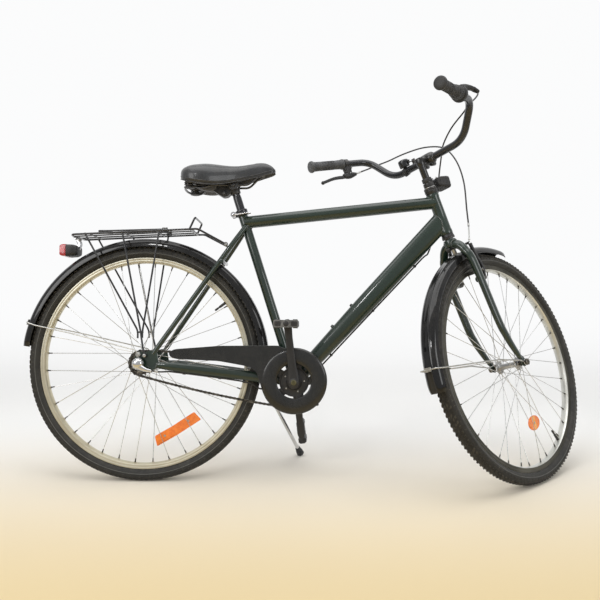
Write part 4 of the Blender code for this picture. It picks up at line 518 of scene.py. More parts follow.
def hexagon(size, start, end, axis="Y"):
    """A hexagonal nut or bolt head, with its corners turned off."""
    sign = copysign(1, end - start)
    corner = size / cos(pi / 6)
    e = min(abs(end - start) * 0.2, corner - size)
    rings = []
    e *= sign
    for radius, height in ((size * 0.97, start), (corner, start + e), (corner, end - e),
                           (size * 0.97, end)):
        rings.append([Vector(spun(radius, height, TAU * k / 6, axis)) for k in range(6)])
    return bridge_rings(rings)


def block(size, centre=(0, 0, 0), edge=0.0006):
    """A block whose edges are cut, from an octagon-cornered outline."""
    x, y, z = (v / 2 for v in size)
    e = min(edge, x * 0.6, y * 0.6, z * 0.6)
    rings = []
    for height, inset in ((-z, e), (-z + e, 0), (z - e, 0), (z, e)):
        a, b = x - inset, y - inset
        outline = [(a, b - e), (a - e, b), (e - a, b), (-a, b - e), (-a, e - b), (e - a, -b),
                   (a - e, -b), (a, e - b)]
        rings.append([Vector(centre) + Vector((px, py, height)) for px, py in outline])
    return bridge_rings(rings)


def inset_outline(outline, amount):
    """An outline moved inwards by an amount, corner by corner."""
    area = sum(a[0] * b[1] - b[0] * a[1] for a, b in zip(outline, outline[1:] + outline[:1]))
    sign = 1 if area > 0 else -1
    out = []
    for k, point in enumerate(outline):
        before, after = Vector(outline[k - 1]), Vector(outline[(k + 1) % len(outline)])
        here = Vector(point)
        a = (here - before).normalized()
        b = (after - here).normalized()
        na, nb = Vector((-a.y, a.x)) * sign, Vector((-b.y, b.x)) * sign
        middle = na + nb
        if middle.length < 1e-6:
            middle = na
        middle.normalize()
        out.append(here + middle * amount / max(middle.dot(na), 0.35))
    return [(p.x, p.y) for p in out]


def plate(outline, start, end, axis="Y", edge=0.0005):
    """A flat plate from an outline, with its edges eased."""
    sign = copysign(1, end - start)
    edge = min(edge, abs(end - start) * 0.35)
    small = inset_outline(outline, edge)
    rings = []
    for ring, height in ((small, start), (outline, start + sign * edge), (outline, end - sign * edge),
                         (small, end)):
        rings.append([Vector(laid(a, b, height, axis)) for a, b in ring])
    return bridge_rings(rings)


def both_ways(half):
    """A profile or outline mirrored in its second number, from the outermost point inwards."""
    return [(r, -h) for r, h in half if h] + [(r, h) for r, h in reversed(half)]


def on_side(side, profile):
    """A profile for the left side (1) or the right side (-1)."""
    return [(r, side * h) for r, h in profile]


def squared(angle, power, tall_power=None):
    """A point on a circle that is drawn out towards a square."""
    c, s = cos(angle), sin(angle)
    return copysign(abs(c) ** power, c), copysign(abs(s) ** (tall_power or power), s)


def arc(centre, radius, start, end, steps):
    """Points on an arc in a plane."""
    out = []
    for k in range(steps + 1):
        angle = radians(start + (end - start) * k / steps)
        out.append((centre[0] + radius * cos(angle), centre[1] + radius * sin(angle)))
    return out


def soft_outline(corners, radius, steps=5):
    """A closed outline whose corners are rounded."""
    count = len(corners)
    out = []
    for k in range(count):
        here = Vector(corners[k])
        back = Vector(corners[k - 1]) - here
        ahead = Vector(corners[(k + 1) % count]) - here
        reach = min(radius, back.length * 0.45, ahead.length * 0.45)
        start, end = here + back.normalized() * reach, here + ahead.normalized() * reach
        for i in range(steps + 1):
            t = i / steps
            p = start.lerp(here, t).lerp(here.lerp(end, t), t)
            out.append((p.x, p.y))
    return out


def oblong(left, right, low, high, radius):
    """A rectangle with rounded corners."""
    return soft_outline([(left, low), (right, low), (right, high), (left, high)], radius)


def turn_to(direction, spot=(0, 0, 0)):
    """A placement whose Z points along a direction."""
    return at(spot) @ Vector(direction).to_track_quat("Z", "Y").to_matrix().to_4x4()


def at(spot):
    """A placement at a spot, unturned."""
    return Matrix.Translation(spot)


def moved(x=0, y=0, z=0):
    """The same, from three numbers."""
    return at((x, y, z))


def turned_by(turn, axis):
    """A plain turn."""
    return Matrix.Rotation(radians(turn), 4, axis)


def polar(centre, turn, radius, side=0):
    """A point beside a wheel, by its angle and its distance from the wheel's middle."""
    angle = radians(turn)
    return Vector(centre) + Vector((radius * cos(angle), side, radius * sin(angle)))


def screw(under_head, head_radius, head_height, shank_radius, shank_length, socket=True):
    """A screw along Z: its head stands above the given height and its shank goes down from it."""
    top, tip = under_head + head_height, under_head - shank_length
    profile = [(0, tip), (shank_radius, tip), (shank_radius, under_head)]
    profile += [(head_radius * 0.97, under_head), (head_radius, under_head + head_height * 0.15)]
    profile += [(head_radius, top - head_height * 0.3), (head_radius * 0.86, top)]
    if socket:
        floor = top - head_height * 0.5
        profile += [(head_radius * 0.52, top), (head_radius * 0.48, floor), (0, floor)]
    else:
        profile += [(0, top + head_height * 0.12)]
    return turned(profile, "Z", 24)


# %% [markdown]
# ## Finishes
#
# Wear, dust, grain and turning lines are seen on many parts, always with the same cause, so each
# is a node group that is built once. A group only works out masks and heights that change over
# the surface. Each material then mixes its own colours with them.

# %% Helpers for node groups
def new_group(name, inputs, outputs):
    """An empty shader node group with named float or vector sockets."""
    tree = bpy.data.node_groups.new(name, "ShaderNodeTree")
    for label, default in inputs:
        kind = "NodeSocketVector" if isinstance(default, tuple) else "NodeSocketFloat"
        socket = tree.interface.new_socket(label, in_out="INPUT", socket_type=kind)
        socket.default_value = default
    for label in outputs:
        tree.interface.new_socket(label, in_out="OUTPUT", socket_type="NodeSocketFloat")
    return tree, node(tree, "NodeGroupInput", (-900, 0)), node(tree, "NodeGroupOutput", (500, 0))


def math_node(tree, operation, a, b=None, spot=(0, 0)):
    """One sum; a and b are numbers or sockets."""
    made = node(tree, "ShaderNodeMath", spot, operation=operation)
    for socket, value in zip(made.inputs, (a, b)):
        if isinstance(value, (int, float)):
            socket.default_value = value
        elif value is not None:
            tree.links.new(value, socket)
    return made.outputs[0]


def noise(tree, vector, scale, detail=2, rough=0.5):
    """A noise field over a place."""
    made = node(tree, "ShaderNodeTexNoise", Detail=detail, Roughness=rough)
    tree.links.new(vector, made.inputs["Vector"])
    if isinstance(scale, (int, float)):
        made.inputs["Scale"].default_value = scale
    else:
        tree.links.new(scale, made.inputs["Scale"])
    return made.outputs["Fac"]


def ramp(tree, value, low, high):
    """A smooth rise from 0 to 1 between two values."""
    limits = {"From Min": low, "From Max": high}
    made = node(tree, "ShaderNodeMapRange", interpolation_type="SMOOTHSTEP", **limits)
    tree.links.new(value, made.inputs["Value"])
    return made.outputs["Result"]


# %% [markdown]
# Paint and plating rub through first where a hand, a shoe or another part touches: on outward
# corners. Pointiness finds the corners, and noise breaks the line up so that it looks rubbed.

# %% Edge wear
def make_edge_wear():
    """A mask that is 1 on rubbed corners."""
    tree, start, end = new_group("edge_wear", [("Scale", 60), ("Amount", 0.5)], ["Mask"])
    place = node(tree, "ShaderNodeTexCoord", (-900, -200))
    corner = ramp(tree, node(tree, "ShaderNodeNewGeometry", (-900, 200)).outputs["Pointiness"], 0.53,
                  0.62)
    patch = noise(tree, place.outputs["Object"], start.outputs["Scale"], 4, 0.7)
    patchy = ramp(tree, patch, 0.42, 0.66)
    mask = math_node(tree, "MULTIPLY", math_node(tree, "MULTIPLY", corner, patchy),
                     start.outputs["Amount"])
    tree.links.new(mask, end.inputs["Mask"])
    return tree


EDGE_WEAR = make_edge_wear()

# %% [markdown]
# Dust settles on what faces up and stays in patches. Its mask is the upward part of the surface's
# normal, broken up by noise at two sizes.

# %% Dust
def make_dust():
    """A mask of settled dust."""
    tree, start, end = new_group("dust", [("Scale", 30), ("Amount", 0.3)], ["Mask"])
    place = node(tree, "ShaderNodeTexCoord", (-900, -200))
    facing = node(tree, "ShaderNodeSeparateXYZ", (-700, 200))
    tree.links.new(node(tree, "ShaderNodeNewGeometry", (-900, 200)).outputs["Normal"], facing.inputs[0])
    upward = ramp(tree, facing.outputs["Z"], -0.2, 0.95)
    fine = noise(tree, place.outputs["Object"], start.outputs["Scale"], 6, 0.75)
    specks = noise(tree, place.outputs["Object"], 900, 1)
    mixed = math_node(tree, "MULTIPLY", ramp(tree, fine, 0.35, 0.75), ramp(tree, specks, 0.3, 0.7))
    mask = math_node(tree, "MULTIPLY", math_node(tree, "MULTIPLY", upward, mixed),
                     start.outputs["Amount"])
    tree.links.new(mask, end.inputs["Mask"])
    return tree


DUST = make_dust()

# %% [markdown]
# Moulded plastic and rubber copy the spark-eroded grain of their mould: small rounded pits. A
# fine noise and a cell pattern together give its height, and a mask to vary the gloss.

# %% Moulded grain
def make_grain():
    """The height of a fine pebbled grain."""
    tree, start, end = new_group("moulded_grain", [("Scale", 900), ("Pebble", 0.5)], ["Height", "Mask"])
    place = node(tree, "ShaderNodeTexCoord", (-900, -200))
    fine = noise(tree, place.outputs["Object"], start.outputs["Scale"], 2, 0.6)
    cells = node(tree, "ShaderNodeTexVoronoi", (-500, -200), feature="SMOOTH_F1")
    tree.links.new(place.outputs["Object"], cells.inputs["Vector"])
    tree.links.new(start.outputs["Scale"], cells.inputs["Scale"])
    pebbles = math_node(tree, "MULTIPLY", cells.outputs["Distance"], start.outputs["Pebble"])
    height = math_node(tree, "SUBTRACT", fine, pebbles)
    tree.links.new(height, end.inputs["Height"])
    tree.links.new(ramp(tree, fine, 0.3, 0.7), end.inputs["Mask"])
    return tree


GRAIN = make_grain()

# %% [markdown]
# Turned, drawn and brushed metal carries fine parallel lines. They are noise stretched by a
# different scale on each axis. Wider, fainter clouds are the handling marks on every finish.

# %% Drawn lines and handling marks
def make_lines():
    """The height of parallel tool lines."""
    tree, start, end = new_group("tool_lines", [("Stretch", (60, 3000, 60))], ["Height", "Mask"])
    place = node(tree, "ShaderNodeTexCoord", (-900, -200))
    stretch = node(tree, "ShaderNodeVectorMath", (-700, -100), operation="MULTIPLY")
    tree.links.new(place.outputs["Object"], stretch.inputs[0])
    tree.links.new(start.outputs["Stretch"], stretch.inputs[1])
    lines = noise(tree, stretch.outputs[0], 1, 3, 0.65)
    tree.links.new(lines, end.inputs["Height"])
    tree.links.new(ramp(tree, lines, 0.35, 0.65), end.inputs["Mask"])
    return tree


def make_handling():
    """Soft clouds and a few fine scratches."""
    tree, start, end = new_group("handling", [("Scale", 14)], ["Clouds", "Scratches"])
    place = node(tree, "ShaderNodeTexCoord", (-900, -200))
    clouds = noise(tree, place.outputs["Object"], start.outputs["Scale"], 5, 0.6)
    skew = node(tree, "ShaderNodeMapping", (-700, -300), Rotation=(0.5, 0.9, 0.3), Scale=(420, 22, 160))
    tree.links.new(place.outputs["Object"], skew.inputs["Vector"])
    hair = noise(tree, skew.outputs["Vector"], 1, 1)
    scratches = math_node(tree, "MULTIPLY", ramp(tree, hair, 0.72, 0.8), ramp(tree, clouds, 0.5, 0.7))
    tree.links.new(ramp(tree, clouds, 0.3, 0.7), end.inputs["Clouds"])
    tree.links.new(scratches, end.inputs["Scratches"])
    return tree


LINES = make_lines()
HANDLING = make_handling()

# %% [markdown]
# A finish is then a recipe: two near colours that drift into each other, what shows where it is
# rubbed, how much dust lies on it, how glossy it is, and which relief it has. Numbers that are the
# same all over, such as the clear coat, are set on the shader itself.

# %% The recipe for a finish
DUST_COLOUR = (0.42, 0.38, 0.33)


def placed(tree, group, spot, **values):
    """A group node with its values."""
    made = node(tree, "ShaderNodeGroup", spot)
    made.node_tree = group
    for key, value in values.items():
        made.inputs[key].default_value = value
    return made


def mixed(tree, factor, a, b, spot=(0, 0)):
    """A colour mix; a and b are colours or sockets."""
    made = node(tree, "ShaderNodeMix", spot, data_type="RGBA")
    tree.links.new(factor, made.inputs["Factor"])
    for socket, value in ((made.inputs["A"], a), (made.inputs["B"], b)):
        if isinstance(value, tuple):
            socket.default_value = (*value, 1)
        else:
            tree.links.new(value, socket)
    return made.outputs["Result"]


def finish(name, deep, light, rough, relief="grain", scale=900, pebble=0.5, depth=0.00004, metallic=0,
           coat=0, coat_rough=0.05, worn=(0.3, 0.3, 0.3), wear=0.3, dusty=0.25, cloud=14,
           stretch=(60, 3000, 60), sheen=0, specular=0.5):
    """A material from the recipe; its shader and its relief stay open for extras."""
    look = bpy.data.materials.new(name)
    look.use_nodes = True
    tree = look.node_tree
    shader = tree.nodes["Principled BSDF"]
    shader.location = (700, 0)
    handling = placed(tree, HANDLING, (-700, 200), Scale=cloud)
    edge = placed(tree, EDGE_WEAR, (-700, 0), Amount=wear)
    dust = placed(tree, DUST, (-700, -200), Amount=dusty)
    if relief == "lines":
        texture = placed(tree, LINES, (-700, -420), Stretch=stretch)
    else:
        texture = placed(tree, GRAIN, (-700, -420), Scale=scale, Pebble=pebble)
    colour = mixed(tree, handling.outputs["Clouds"], deep, light, (-400, 200))
    colour = mixed(tree, edge.outputs["Mask"], colour, worn, (-200, 200))
    colour = mixed(tree, math_node(tree, "MULTIPLY", handling.outputs["Scratches"], 0.35), colour, worn,
                   (0, 200))
    colour = mixed(tree, dust.outputs["Mask"], colour, DUST_COLOUR, (200, 200))
    base = math_node(tree, "MULTIPLY_ADD", texture.outputs["Mask"], rough * 0.25, (-400, -100))
    base.node.inputs[2].default_value = rough * 0.86
    gloss = math_node(tree, "MULTIPLY_ADD", dust.outputs["Mask"], 0.5, (-200, -100))
    tree.links.new(base, gloss.node.inputs[2])
    bump = node(tree, "ShaderNodeBump", (300, -300), Strength=1, Distance=depth)
    link = tree.links.new
    link(texture.outputs["Height"], bump.inputs["Height"])
    link(colour, shader.inputs["Base Color"])
    link(gloss, shader.inputs["Roughness"])
    link(bump.outputs["Normal"], shader.inputs["Normal"])
    constants = {"Metallic": metallic, "Coat Weight": coat, "Coat Roughness": coat_rough,
                 "Sheen Weight": sheen, "Specular IOR Level": specular}
    for key, value in constants.items():
        shader.inputs[key].default_value = value
    return look


# %% [markdown]
# Lacquer: the frame and fork are a deep bottle green under a clear coat, the bar, rack and fenders
# are black enamel. Both keep a faint orange peel. Where the enamel is rubbed, primer shows.

# %% Lacquers
BOTTLE_GREEN = ((0.0055, 0.0165, 0.01), (0.008, 0.0225, 0.014))
GREEN = finish("green_lacquer", *BOTTLE_GREEN, 0.34, scale=260, pebble=0.15, depth=0.00002, coat=0.75,
               coat_rough=0.035, worn=(0.09, 0.13, 0.1), wear=0.25, dusty=0.08, cloud=5, specular=0.35)
WELD = finish("green_weld", *BOTTLE_GREEN, 0.38, scale=500, pebble=0.6, depth=0.0002, coat=1,
              coat_rough=0.06, worn=(0.07, 0.1, 0.08), wear=0.3, dusty=0.12, cloud=9)
ENAMEL = finish("black_enamel", (0.0088, 0.0098, 0.0125), (0.0135, 0.0145, 0.0175), 0.26, scale=300,
                pebble=0.15, depth=0.00002, coat=0.55, coat_rough=0.04, worn=(0.1, 0.1, 0.1), wear=0.3,
                dusty=0.1, cloud=7, specular=0.3)
FENDER_BLACK = finish("fender_black", (0.005, 0.0051, 0.0057), (0.0084, 0.0084, 0.009), 0.16, scale=420,
                      pebble=0.2, depth=0.00002, coat=0.6, coat_rough=0.03, worn=(0.12, 0.12, 0.12),
                      wear=0.25, dusty=0.1, cloud=6, specular=0.1)
SATIN_BLACK = finish("satin_black", (0.011, 0.011, 0.012), (0.018, 0.018, 0.019), 0.42, scale=1100,
                     pebble=0.3, depth=0.00002, metallic=0, worn=(0.28, 0.27, 0.26), wear=0.45,
                     dusty=0.18, cloud=20)

# %% [markdown]
# Mouldings: the chain guard, pedals, lamp bodies and shifter are grained black plastic, the grips
# are softer rubber, and the tyres are duller still, with the grey of road dust in them. The left
# grip gets a lighter grey copy of the grip rubber, which is painted light.

# %% Plastics and rubbers
PLASTIC = finish("black_plastic", (0.011, 0.011, 0.012), (0.017, 0.017, 0.018), 0.5, scale=1400,
                 pebble=0.7, depth=0.00005, worn=(0.055, 0.055, 0.055), wear=0.5, dusty=0.22, cloud=18)
GLOSS_PLASTIC = finish("glossy_plastic", (0.006, 0.0063, 0.006), (0.009, 0.0094, 0.009), 0.27,
                       scale=2400, pebble=0.2, depth=0.00001, coat=0.2, coat_rough=0.05,
                       worn=(0.06, 0.06, 0.06), wear=0.35, dusty=0.16, cloud=12)
GRIP_RUBBER = finish("grip_rubber", (0.014, 0.014, 0.015), (0.023, 0.023, 0.024), 0.55, scale=1700,
                     pebble=0.8, depth=0.00006, worn=(0.05, 0.05, 0.05), wear=0.4, dusty=0.15, cloud=26,
                     sheen=0.04)
# A lighter grey copy of the grip rubber for the left grip: painted light, for the light that falls on
# that grip.
LIT_GRIP_RUBBER = finish("grip_rubber_painted_lit", (0.048, 0.05, 0.053), (0.076, 0.079, 0.082), 0.55, scale=1700,
                   pebble=0.8, depth=0.00006, worn=(0.07, 0.07, 0.07), wear=0.4, dusty=0.2, cloud=26,
                   sheen=0.08)
TYRE_RUBBER = finish("tyre_rubber", (0.0095, 0.0092, 0.0078), (0.0185, 0.0178, 0.0152), 0.66,
                     scale=1500, pebble=0.5, depth=0.00008, worn=(0.045, 0.041, 0.032), wear=0.7,
                     dusty=0.22, cloud=9, sheen=0.03)
TREAD_RUBBER = finish("tread_rubber", (0.0105, 0.0096, 0.0072), (0.024, 0.0215, 0.0165), 0.78,
                      scale=700, pebble=0.7, depth=0.00014, worn=(0.07, 0.063, 0.05), wear=0.8,
                      dusty=0.28, cloud=24)
SIDE_LINE = finish("sidewall_line", (0.07, 0.071, 0.066), (0.11, 0.11, 0.1), 0.6, scale=900,
                   depth=0.00004, worn=(0.12, 0.12, 0.12), wear=0.5, dusty=0.3, cloud=40)
HOUSING = finish("cable_housing", (0.012, 0.012, 0.012), (0.019, 0.019, 0.019), 0.4, relief="grain",
                 scale=2600, pebble=0.4, depth=0.00003, worn=(0.05, 0.05, 0.05), wear=0.3, dusty=0.2,
                 cloud=30)

# %% [markdown]
# Bare metals: the rear rim is warm champagne anodised alloy, the front one is paler, and its
# track is coloured dark all round. The spokes are bright drawn wire, the stays and the
# small hardware zinc plate, and the chain is dark, with oil in its corners.

# %% Metals
RIM_ALLOY = finish("champagne_rim", (0.51, 0.46, 0.33), (0.62, 0.57, 0.43), 0.33, relief="lines",
                   metallic=0.9, stretch=(40, 2200, 40), depth=0.00003, worn=(0.72, 0.68, 0.6),
                   wear=0.4, dusty=0.22, cloud=12)
BRAKE_TRACK = finish("brake_track", (0.47, 0.435, 0.34), (0.6, 0.575, 0.475), 0.42, relief="lines",
                     metallic=0.92, stretch=(900, 60, 900), depth=0.00003, worn=(0.7, 0.66, 0.6),
                     wear=0.4, dusty=0.3, cloud=10)
FRONT_RIM = finish("pale_rim", (0.56, 0.56, 0.52), (0.68, 0.68, 0.64), 0.36, relief="lines",
                   metallic=0.85, stretch=(40, 2200, 40), depth=0.00003, worn=(0.72, 0.7, 0.66),
                   wear=0.4, dusty=0.2, cloud=12)
# A dark finish for the front rim's brake track, all round.
DARK_FRONT_TRACK = finish("dark_front_track", (0.035, 0.034, 0.026), (0.11, 0.105, 0.085), 0.45, relief="lines",
                     metallic=0.6, stretch=(900, 60, 900), depth=0.00003, worn=(0.3, 0.29, 0.25),
                     wear=0.3, dusty=0.1, cloud=6)
WIRE = finish("drawn_wire", (0.5, 0.5, 0.49), (0.66, 0.66, 0.65), 0.28, relief="lines", metallic=1,
              stretch=(700, 700, 30), depth=0.00001, worn=(0.35, 0.33, 0.3), wear=0.2, dusty=0.12,
              cloud=20)
CHROME = finish("bright_chrome", (0.6, 0.6, 0.61), (0.72, 0.72, 0.73), 0.14, relief="lines", metallic=1,
                stretch=(200, 900, 200), depth=0.000004, worn=(0.45, 0.43, 0.4), wear=0.3, dusty=0.1,
                cloud=30)
ZINC = finish("zinc_plate", (0.42, 0.42, 0.41), (0.58, 0.58, 0.56), 0.36, relief="lines", metallic=1,
              stretch=(300, 1500, 300), depth=0.00002, worn=(0.3, 0.27, 0.23), wear=0.5, dusty=0.2,
              cloud=50)
CAST_ALLOY = finish("cast_alloy", (0.34, 0.34, 0.34), (0.48, 0.48, 0.47), 0.4, scale=1200, pebble=0.5,
                    metallic=0.95, depth=0.00003, worn=(0.62, 0.61, 0.58), wear=0.5, dusty=0.2,
                    cloud=18)
OILED = finish("oiled_steel", (0.022, 0.02, 0.018), (0.085, 0.078, 0.068), 0.34, scale=1600, pebble=0.5,
               metallic=0.9, depth=0.00004, worn=(0.42, 0.39, 0.34), wear=0.9, dusty=0.2, cloud=120)
BRASS = finish("bronzed_cap", (0.085, 0.09, 0.05), (0.17, 0.15, 0.085), 0.34, relief="lines",
               metallic=0.9, stretch=(900, 60, 900), depth=0.00002, worn=(0.6, 0.55, 0.4), wear=0.4,
               dusty=0.1, cloud=60)
print("finishes:", len(bpy.data.materials))

# %% [markdown]
# Lenses and reflectors are moulded with fine prisms on their back, which glitter. A strong cell
# relief under a clear coat gives that look, and the clear lamp lens also lets light through.

# %% Lenses
AMBER = finish("amber_prisms", (0.84, 0.155, 0.004), (0.98, 0.25, 0.012), 0.2, scale=380, pebble=2,
               depth=0.0006, coat=1, worn=(0.9, 0.5, 0.2), wear=0.2, dusty=0.15, cloud=90)
AMBER_PALE = finish("amber_band", (0.86, 0.38, 0.06), (0.98, 0.56, 0.16), 0.2, scale=380, pebble=2,
                    depth=0.0006, coat=1, worn=(0.9, 0.6, 0.3), wear=0.2, dusty=0.1, cloud=90)
RED = finish("red_prisms", (0.3, 0.003, 0.006), (0.52, 0.01, 0.016), 0.16, scale=420, pebble=1.6,
             depth=0.0003, coat=1, worn=(0.7, 0.2, 0.2), wear=0.2, dusty=0.1, cloud=60)
CLEAR = finish("clear_lens", (0.86, 0.88, 0.88), (0.95, 0.96, 0.96), 0.06, scale=300, pebble=0.4,
               depth=0.00003, worn=(0.8, 0.8, 0.8), wear=0.2, dusty=0.15, cloud=30)
CLEAR.node_tree.nodes["Principled BSDF"].inputs["Transmission Weight"].default_value = 0.9

# %% [markdown]
# ## Wheels
#
# The tyre is one lofted casing with its tread blocks standing on it, because the serrated edge
# shows against the pale floor. A crown curve gives the height of the casing at each place across
# it, so that the blocks follow the round. A displacement map could do this, but it would need a
# very dense mesh.

# %% Tyre
CASING = ((0.3172, 0.0112), (0.3192, 0.0136), (0.323, 0.0172), (0.327, 0.0194), (0.3318, 0.0203),
          (0.3368, 0.0198), (0.3415, 0.018), (0.3452, 0.015), (0.3477, 0.011), (0.349, 0.006),
          (0.3495, 0))
PITCHES = 146


def wheel_spot(angle, radius, y=0):
    """A point of a wheel."""
    return Vector((radius * cos(angle), y, radius * sin(angle)))


def crown(angle, y, lift):
    """A point over the casing: y across it, lifted along its normal."""
    steep = 26 * y
    out = Vector((1, steep * 0.9)).normalized() * lift
    return wheel_spot(angle, CASING[-1][0] - 13 * y * y + out.x, y + out.y)


def tread_block(angle, width, near, far, skew, lift):
    """One tread block: a slanted bar with a smaller top."""
    rings = []
    middle = (near + far) / 2
    for height, shrink in ((-0.0004, 1), (lift, 0.8)):
        ring = []
        for a, y, s in ((-1, near, -1), (1, near, -1), (1, far, 1), (-1, far, 1)):
            across = middle + (y - middle) * (1 - (1 - shrink) * 0.5)
            ring.append(crown(angle + a * width * shrink / 2 + s * skew / 2, across, height))
        rings.append(ring)
    return bridge_rings(rings)


def make_tyre(name, node_name, body, matrix, direction):
    """Casing, tread blocks, sidewall ribs and the fine line on each sidewall."""
    form = Form()
    smooth_profile = [(p.x, p.y) for p in flowing([(r, y, 0) for r, y in both_ways(CASING)], 3)]
    form.add(turned(smooth_profile, "Y", 144))
    step = TAU / PITCHES
    for k in range(PITCHES):
        for side in (-1, 1):
            late = k * step + (step / 2 if side > 0 else 0)
            skew = direction * side * step
            outer = tread_block(late, step * 0.52, side * 0.0102, side * 0.0156, skew * 0.35, 0.0019)
            form.add(outer, look=1)
            for lean in (-1, 1):
                rib = [(lean * step * 0.22, 0.3425, 0.0176), (0, 0.3385, 0.0198),
                       (lean * step * 0.1, 0.3345, 0.0204)]
                rib = [wheel_spot(late + turn, radius, side * y) for turn, radius, y in rib]
                form.add(tube(rib, 0.0008, 5), look=1)
            inner = tread_block(late + step * 0.5, step * 0.6, side * 0.0018, side * 0.0086, skew * 0.6,
                                0.0016)
            form.add(inner, look=1)
    for side in (-1, 1):
        line = on_side(side, [(0.3296, 0.0201), (0.3311, 0.0203), (0.3311, 0.0206), (0.3296, 0.0204)])
        form.add(turned(line, "Y", 144, loop=True), look=2)
        for radius, y in ((0.3215, 0.016), (0.3365, 0.0199)):
            bead_line = on_side(side, [(radius, y), (radius + 0.0006, y + 0.0006),
                                       (radius + 0.0012, y)])
            form.add(turned(bead_line, "Y", 144))
    return form.piece(name, body, [TYRE_RUBBER, TREAD_RUBBER, SIDE_LINE], matrix, node_name, "tyre",
                      sharp=50)


make_tyre("rear_tyre_dressed", "rear_tyre", "rear_wheel", REAR_HUB, 1)
make_tyre("front_tyre_dressed", "front_tyre", "front_wheel", FRONT_HUB, 1)

# %% [markdown]
# The rim is an extruded section bent into a hoop: a hooked edge for the tyre, a flat track for
# the brake pads with a fine wear groove, and a rounded bed. Turning that section about the axle
# gives it in one go. The 36 nipples and the valve are part of what is seen at its inner edge.

# %% Rim, nipples and valve
SPOKES = 36
SPOKE_CROSS = 60
SPOKE_END = 0.299
SPOKE_LAY = 0.0018


def spoke_line(index, flange):
    """The path of one spoke: head, elbow at the flange's hole, and its end in the rim."""
    hole_radius, half = flange
    side = 1 if index % 2 else -1
    forward = 1 if index // 2 % 2 else -1
    rim_angle = TAU * (index + 0.5) / SPOKES
    hole_angle = rim_angle + forward * radians(SPOKE_CROSS)
    head = wheel_spot(hole_angle, hole_radius, side * (half - forward * 0.0024))
    elbow = wheel_spot(hole_angle, hole_radius, side * (half + forward * SPOKE_LAY))
    return head, elbow, wheel_spot(rim_angle, SPOKE_END, side * 0.003)


def make_rim(name, node_name, body, matrix, flange, valve_angle, looks):
    """The hooped section with its nipples, and the valve in its cap."""
    form = Form()
    edge = [(0.315, 0.01), (0.3166, 0.0104), (0.317, 0.0114), (0.3166, 0.0122)]
    track = [(0.3166, 0.0122), (0.3158, 0.0125), (0.3108, 0.0125), (0.3104, 0.0122), (0.3098, 0.0122),
             (0.3094, 0.0125)]
    track += [(0.3042, 0.0124), (0.3034, 0.0118)]
    bed = [(0.3034, 0.0118), (0.3022, 0.0104), (0.3009, 0.0078), (0.3, 0.0046), (0.2995, 0)]
    for side in (-1, 1):
        for part, look in ((edge, 0), (track, 1), (bed, 0)):
            form.add(turned(on_side(side, part), "Y", 144), look=look)
    form.add(turned([(0.315, -0.01), (0.312, -0.007), (0.312, 0.007), (0.315, 0.01)], "Y", 144))
    for index in range(SPOKES):
        elbow, end = spoke_line(index, flange)[1:]
        run = (elbow - end).normalized()
        path = [end, end + run * 0.002, end + run * 0.0022, end + run * 0.01, end + run * 0.0118]
        form.add(tube(path, [0.0028, 0.0026, 0.0019, 0.0018, 0.0013], 8), look=2)
        form.add(ring_part(0.0036, 0.001, -0.0008, 0.0004, "Z", 12, 0.0002), turn_to(-run, end))
    rim = form.piece(name, body, looks + [OILED], matrix, node_name, "alloy")
    valve = Form()
    stem = [(0, 0.262), (0.0026, 0.2622), (0.0032, 0.264), (0.0032, 0.274), (0.0024, 0.2744),
            (0.0024, 0.277)]
    stem += [(0.0038, 0.279), (0.0042, 0.296), (0.005, 0.2996)]
    valve.add(turned(stem, "Z", 20), turned_by(90 - valve_angle, "Y"))
    valve.piece(name + "_valve", body, HOUSING, matrix)
    return rim


REAR_FLANGE = (0.029, 0.0281)
FRONT_FLANGE = (0.0168, 0.0328)
make_rim("rear_rim_dressed", "rear_rim", "rear_wheel", REAR_HUB, REAR_FLANGE, 37,
         [RIM_ALLOY, BRAKE_TRACK])
make_rim("front_rim_dressed", "front_rim", "front_wheel", FRONT_HUB, FRONT_FLANGE, -68.1,
         [FRONT_RIM, DARK_FRONT_TRACK])

# %% [markdown]
# The wheels are laced three-cross: each spoke leaves its flange nearly along the edge, crosses
# three others and ends in a nipple. Its elbow passes through a flange hole, and its flat head
# sits on the other face, half of the heads inside and half outside.

# %% Hubs and spokes
def add_spokes(form, flange, look):
    """All spokes with elbows and heads."""
    for index in range(SPOKES):
        head, elbow, end = spoke_line(index, flange)
        path = rounded([head, elbow, end], [0, 0.0016, 0], 3)
        form.add(tube(path, 0.00095, 7), look=look)
        away = (head - elbow).normalized()
        form.add(turned([(0, 0), (0.002, 0), (0.002, 0.0005), (0.0012, 0.0011), (0, 0.0012)], "Z", 10),
                 turn_to(away, head - away * 0.0004), look)


def make_hub(name, node_name, body, matrix, half_profile, flange, looks):
    """A turned hub shell, drilled flanges and spokes."""
    form = Form()
    shell = [(r, -y) for r, y in half_profile] + [(r, y) for r, y in reversed(half_profile)]
    form.add(turned(shell, "Y", 56))
    hole_radius, half = flange
    for side in (-1, 1):
        for k in range(SPOKES // 2):
            angle = TAU * k / 18 + (radians(15) if side > 0 else radians(5))
            spot = at(wheel_spot(angle, hole_radius, side * half))
            form.add(ring_part(0.0022, 0.0012, -0.0018, 0.0018, "Y", 10, 0.0003), spot)
    add_spokes(form, flange, 1)
    return form.piece(name, body, looks, matrix, node_name, "steel")


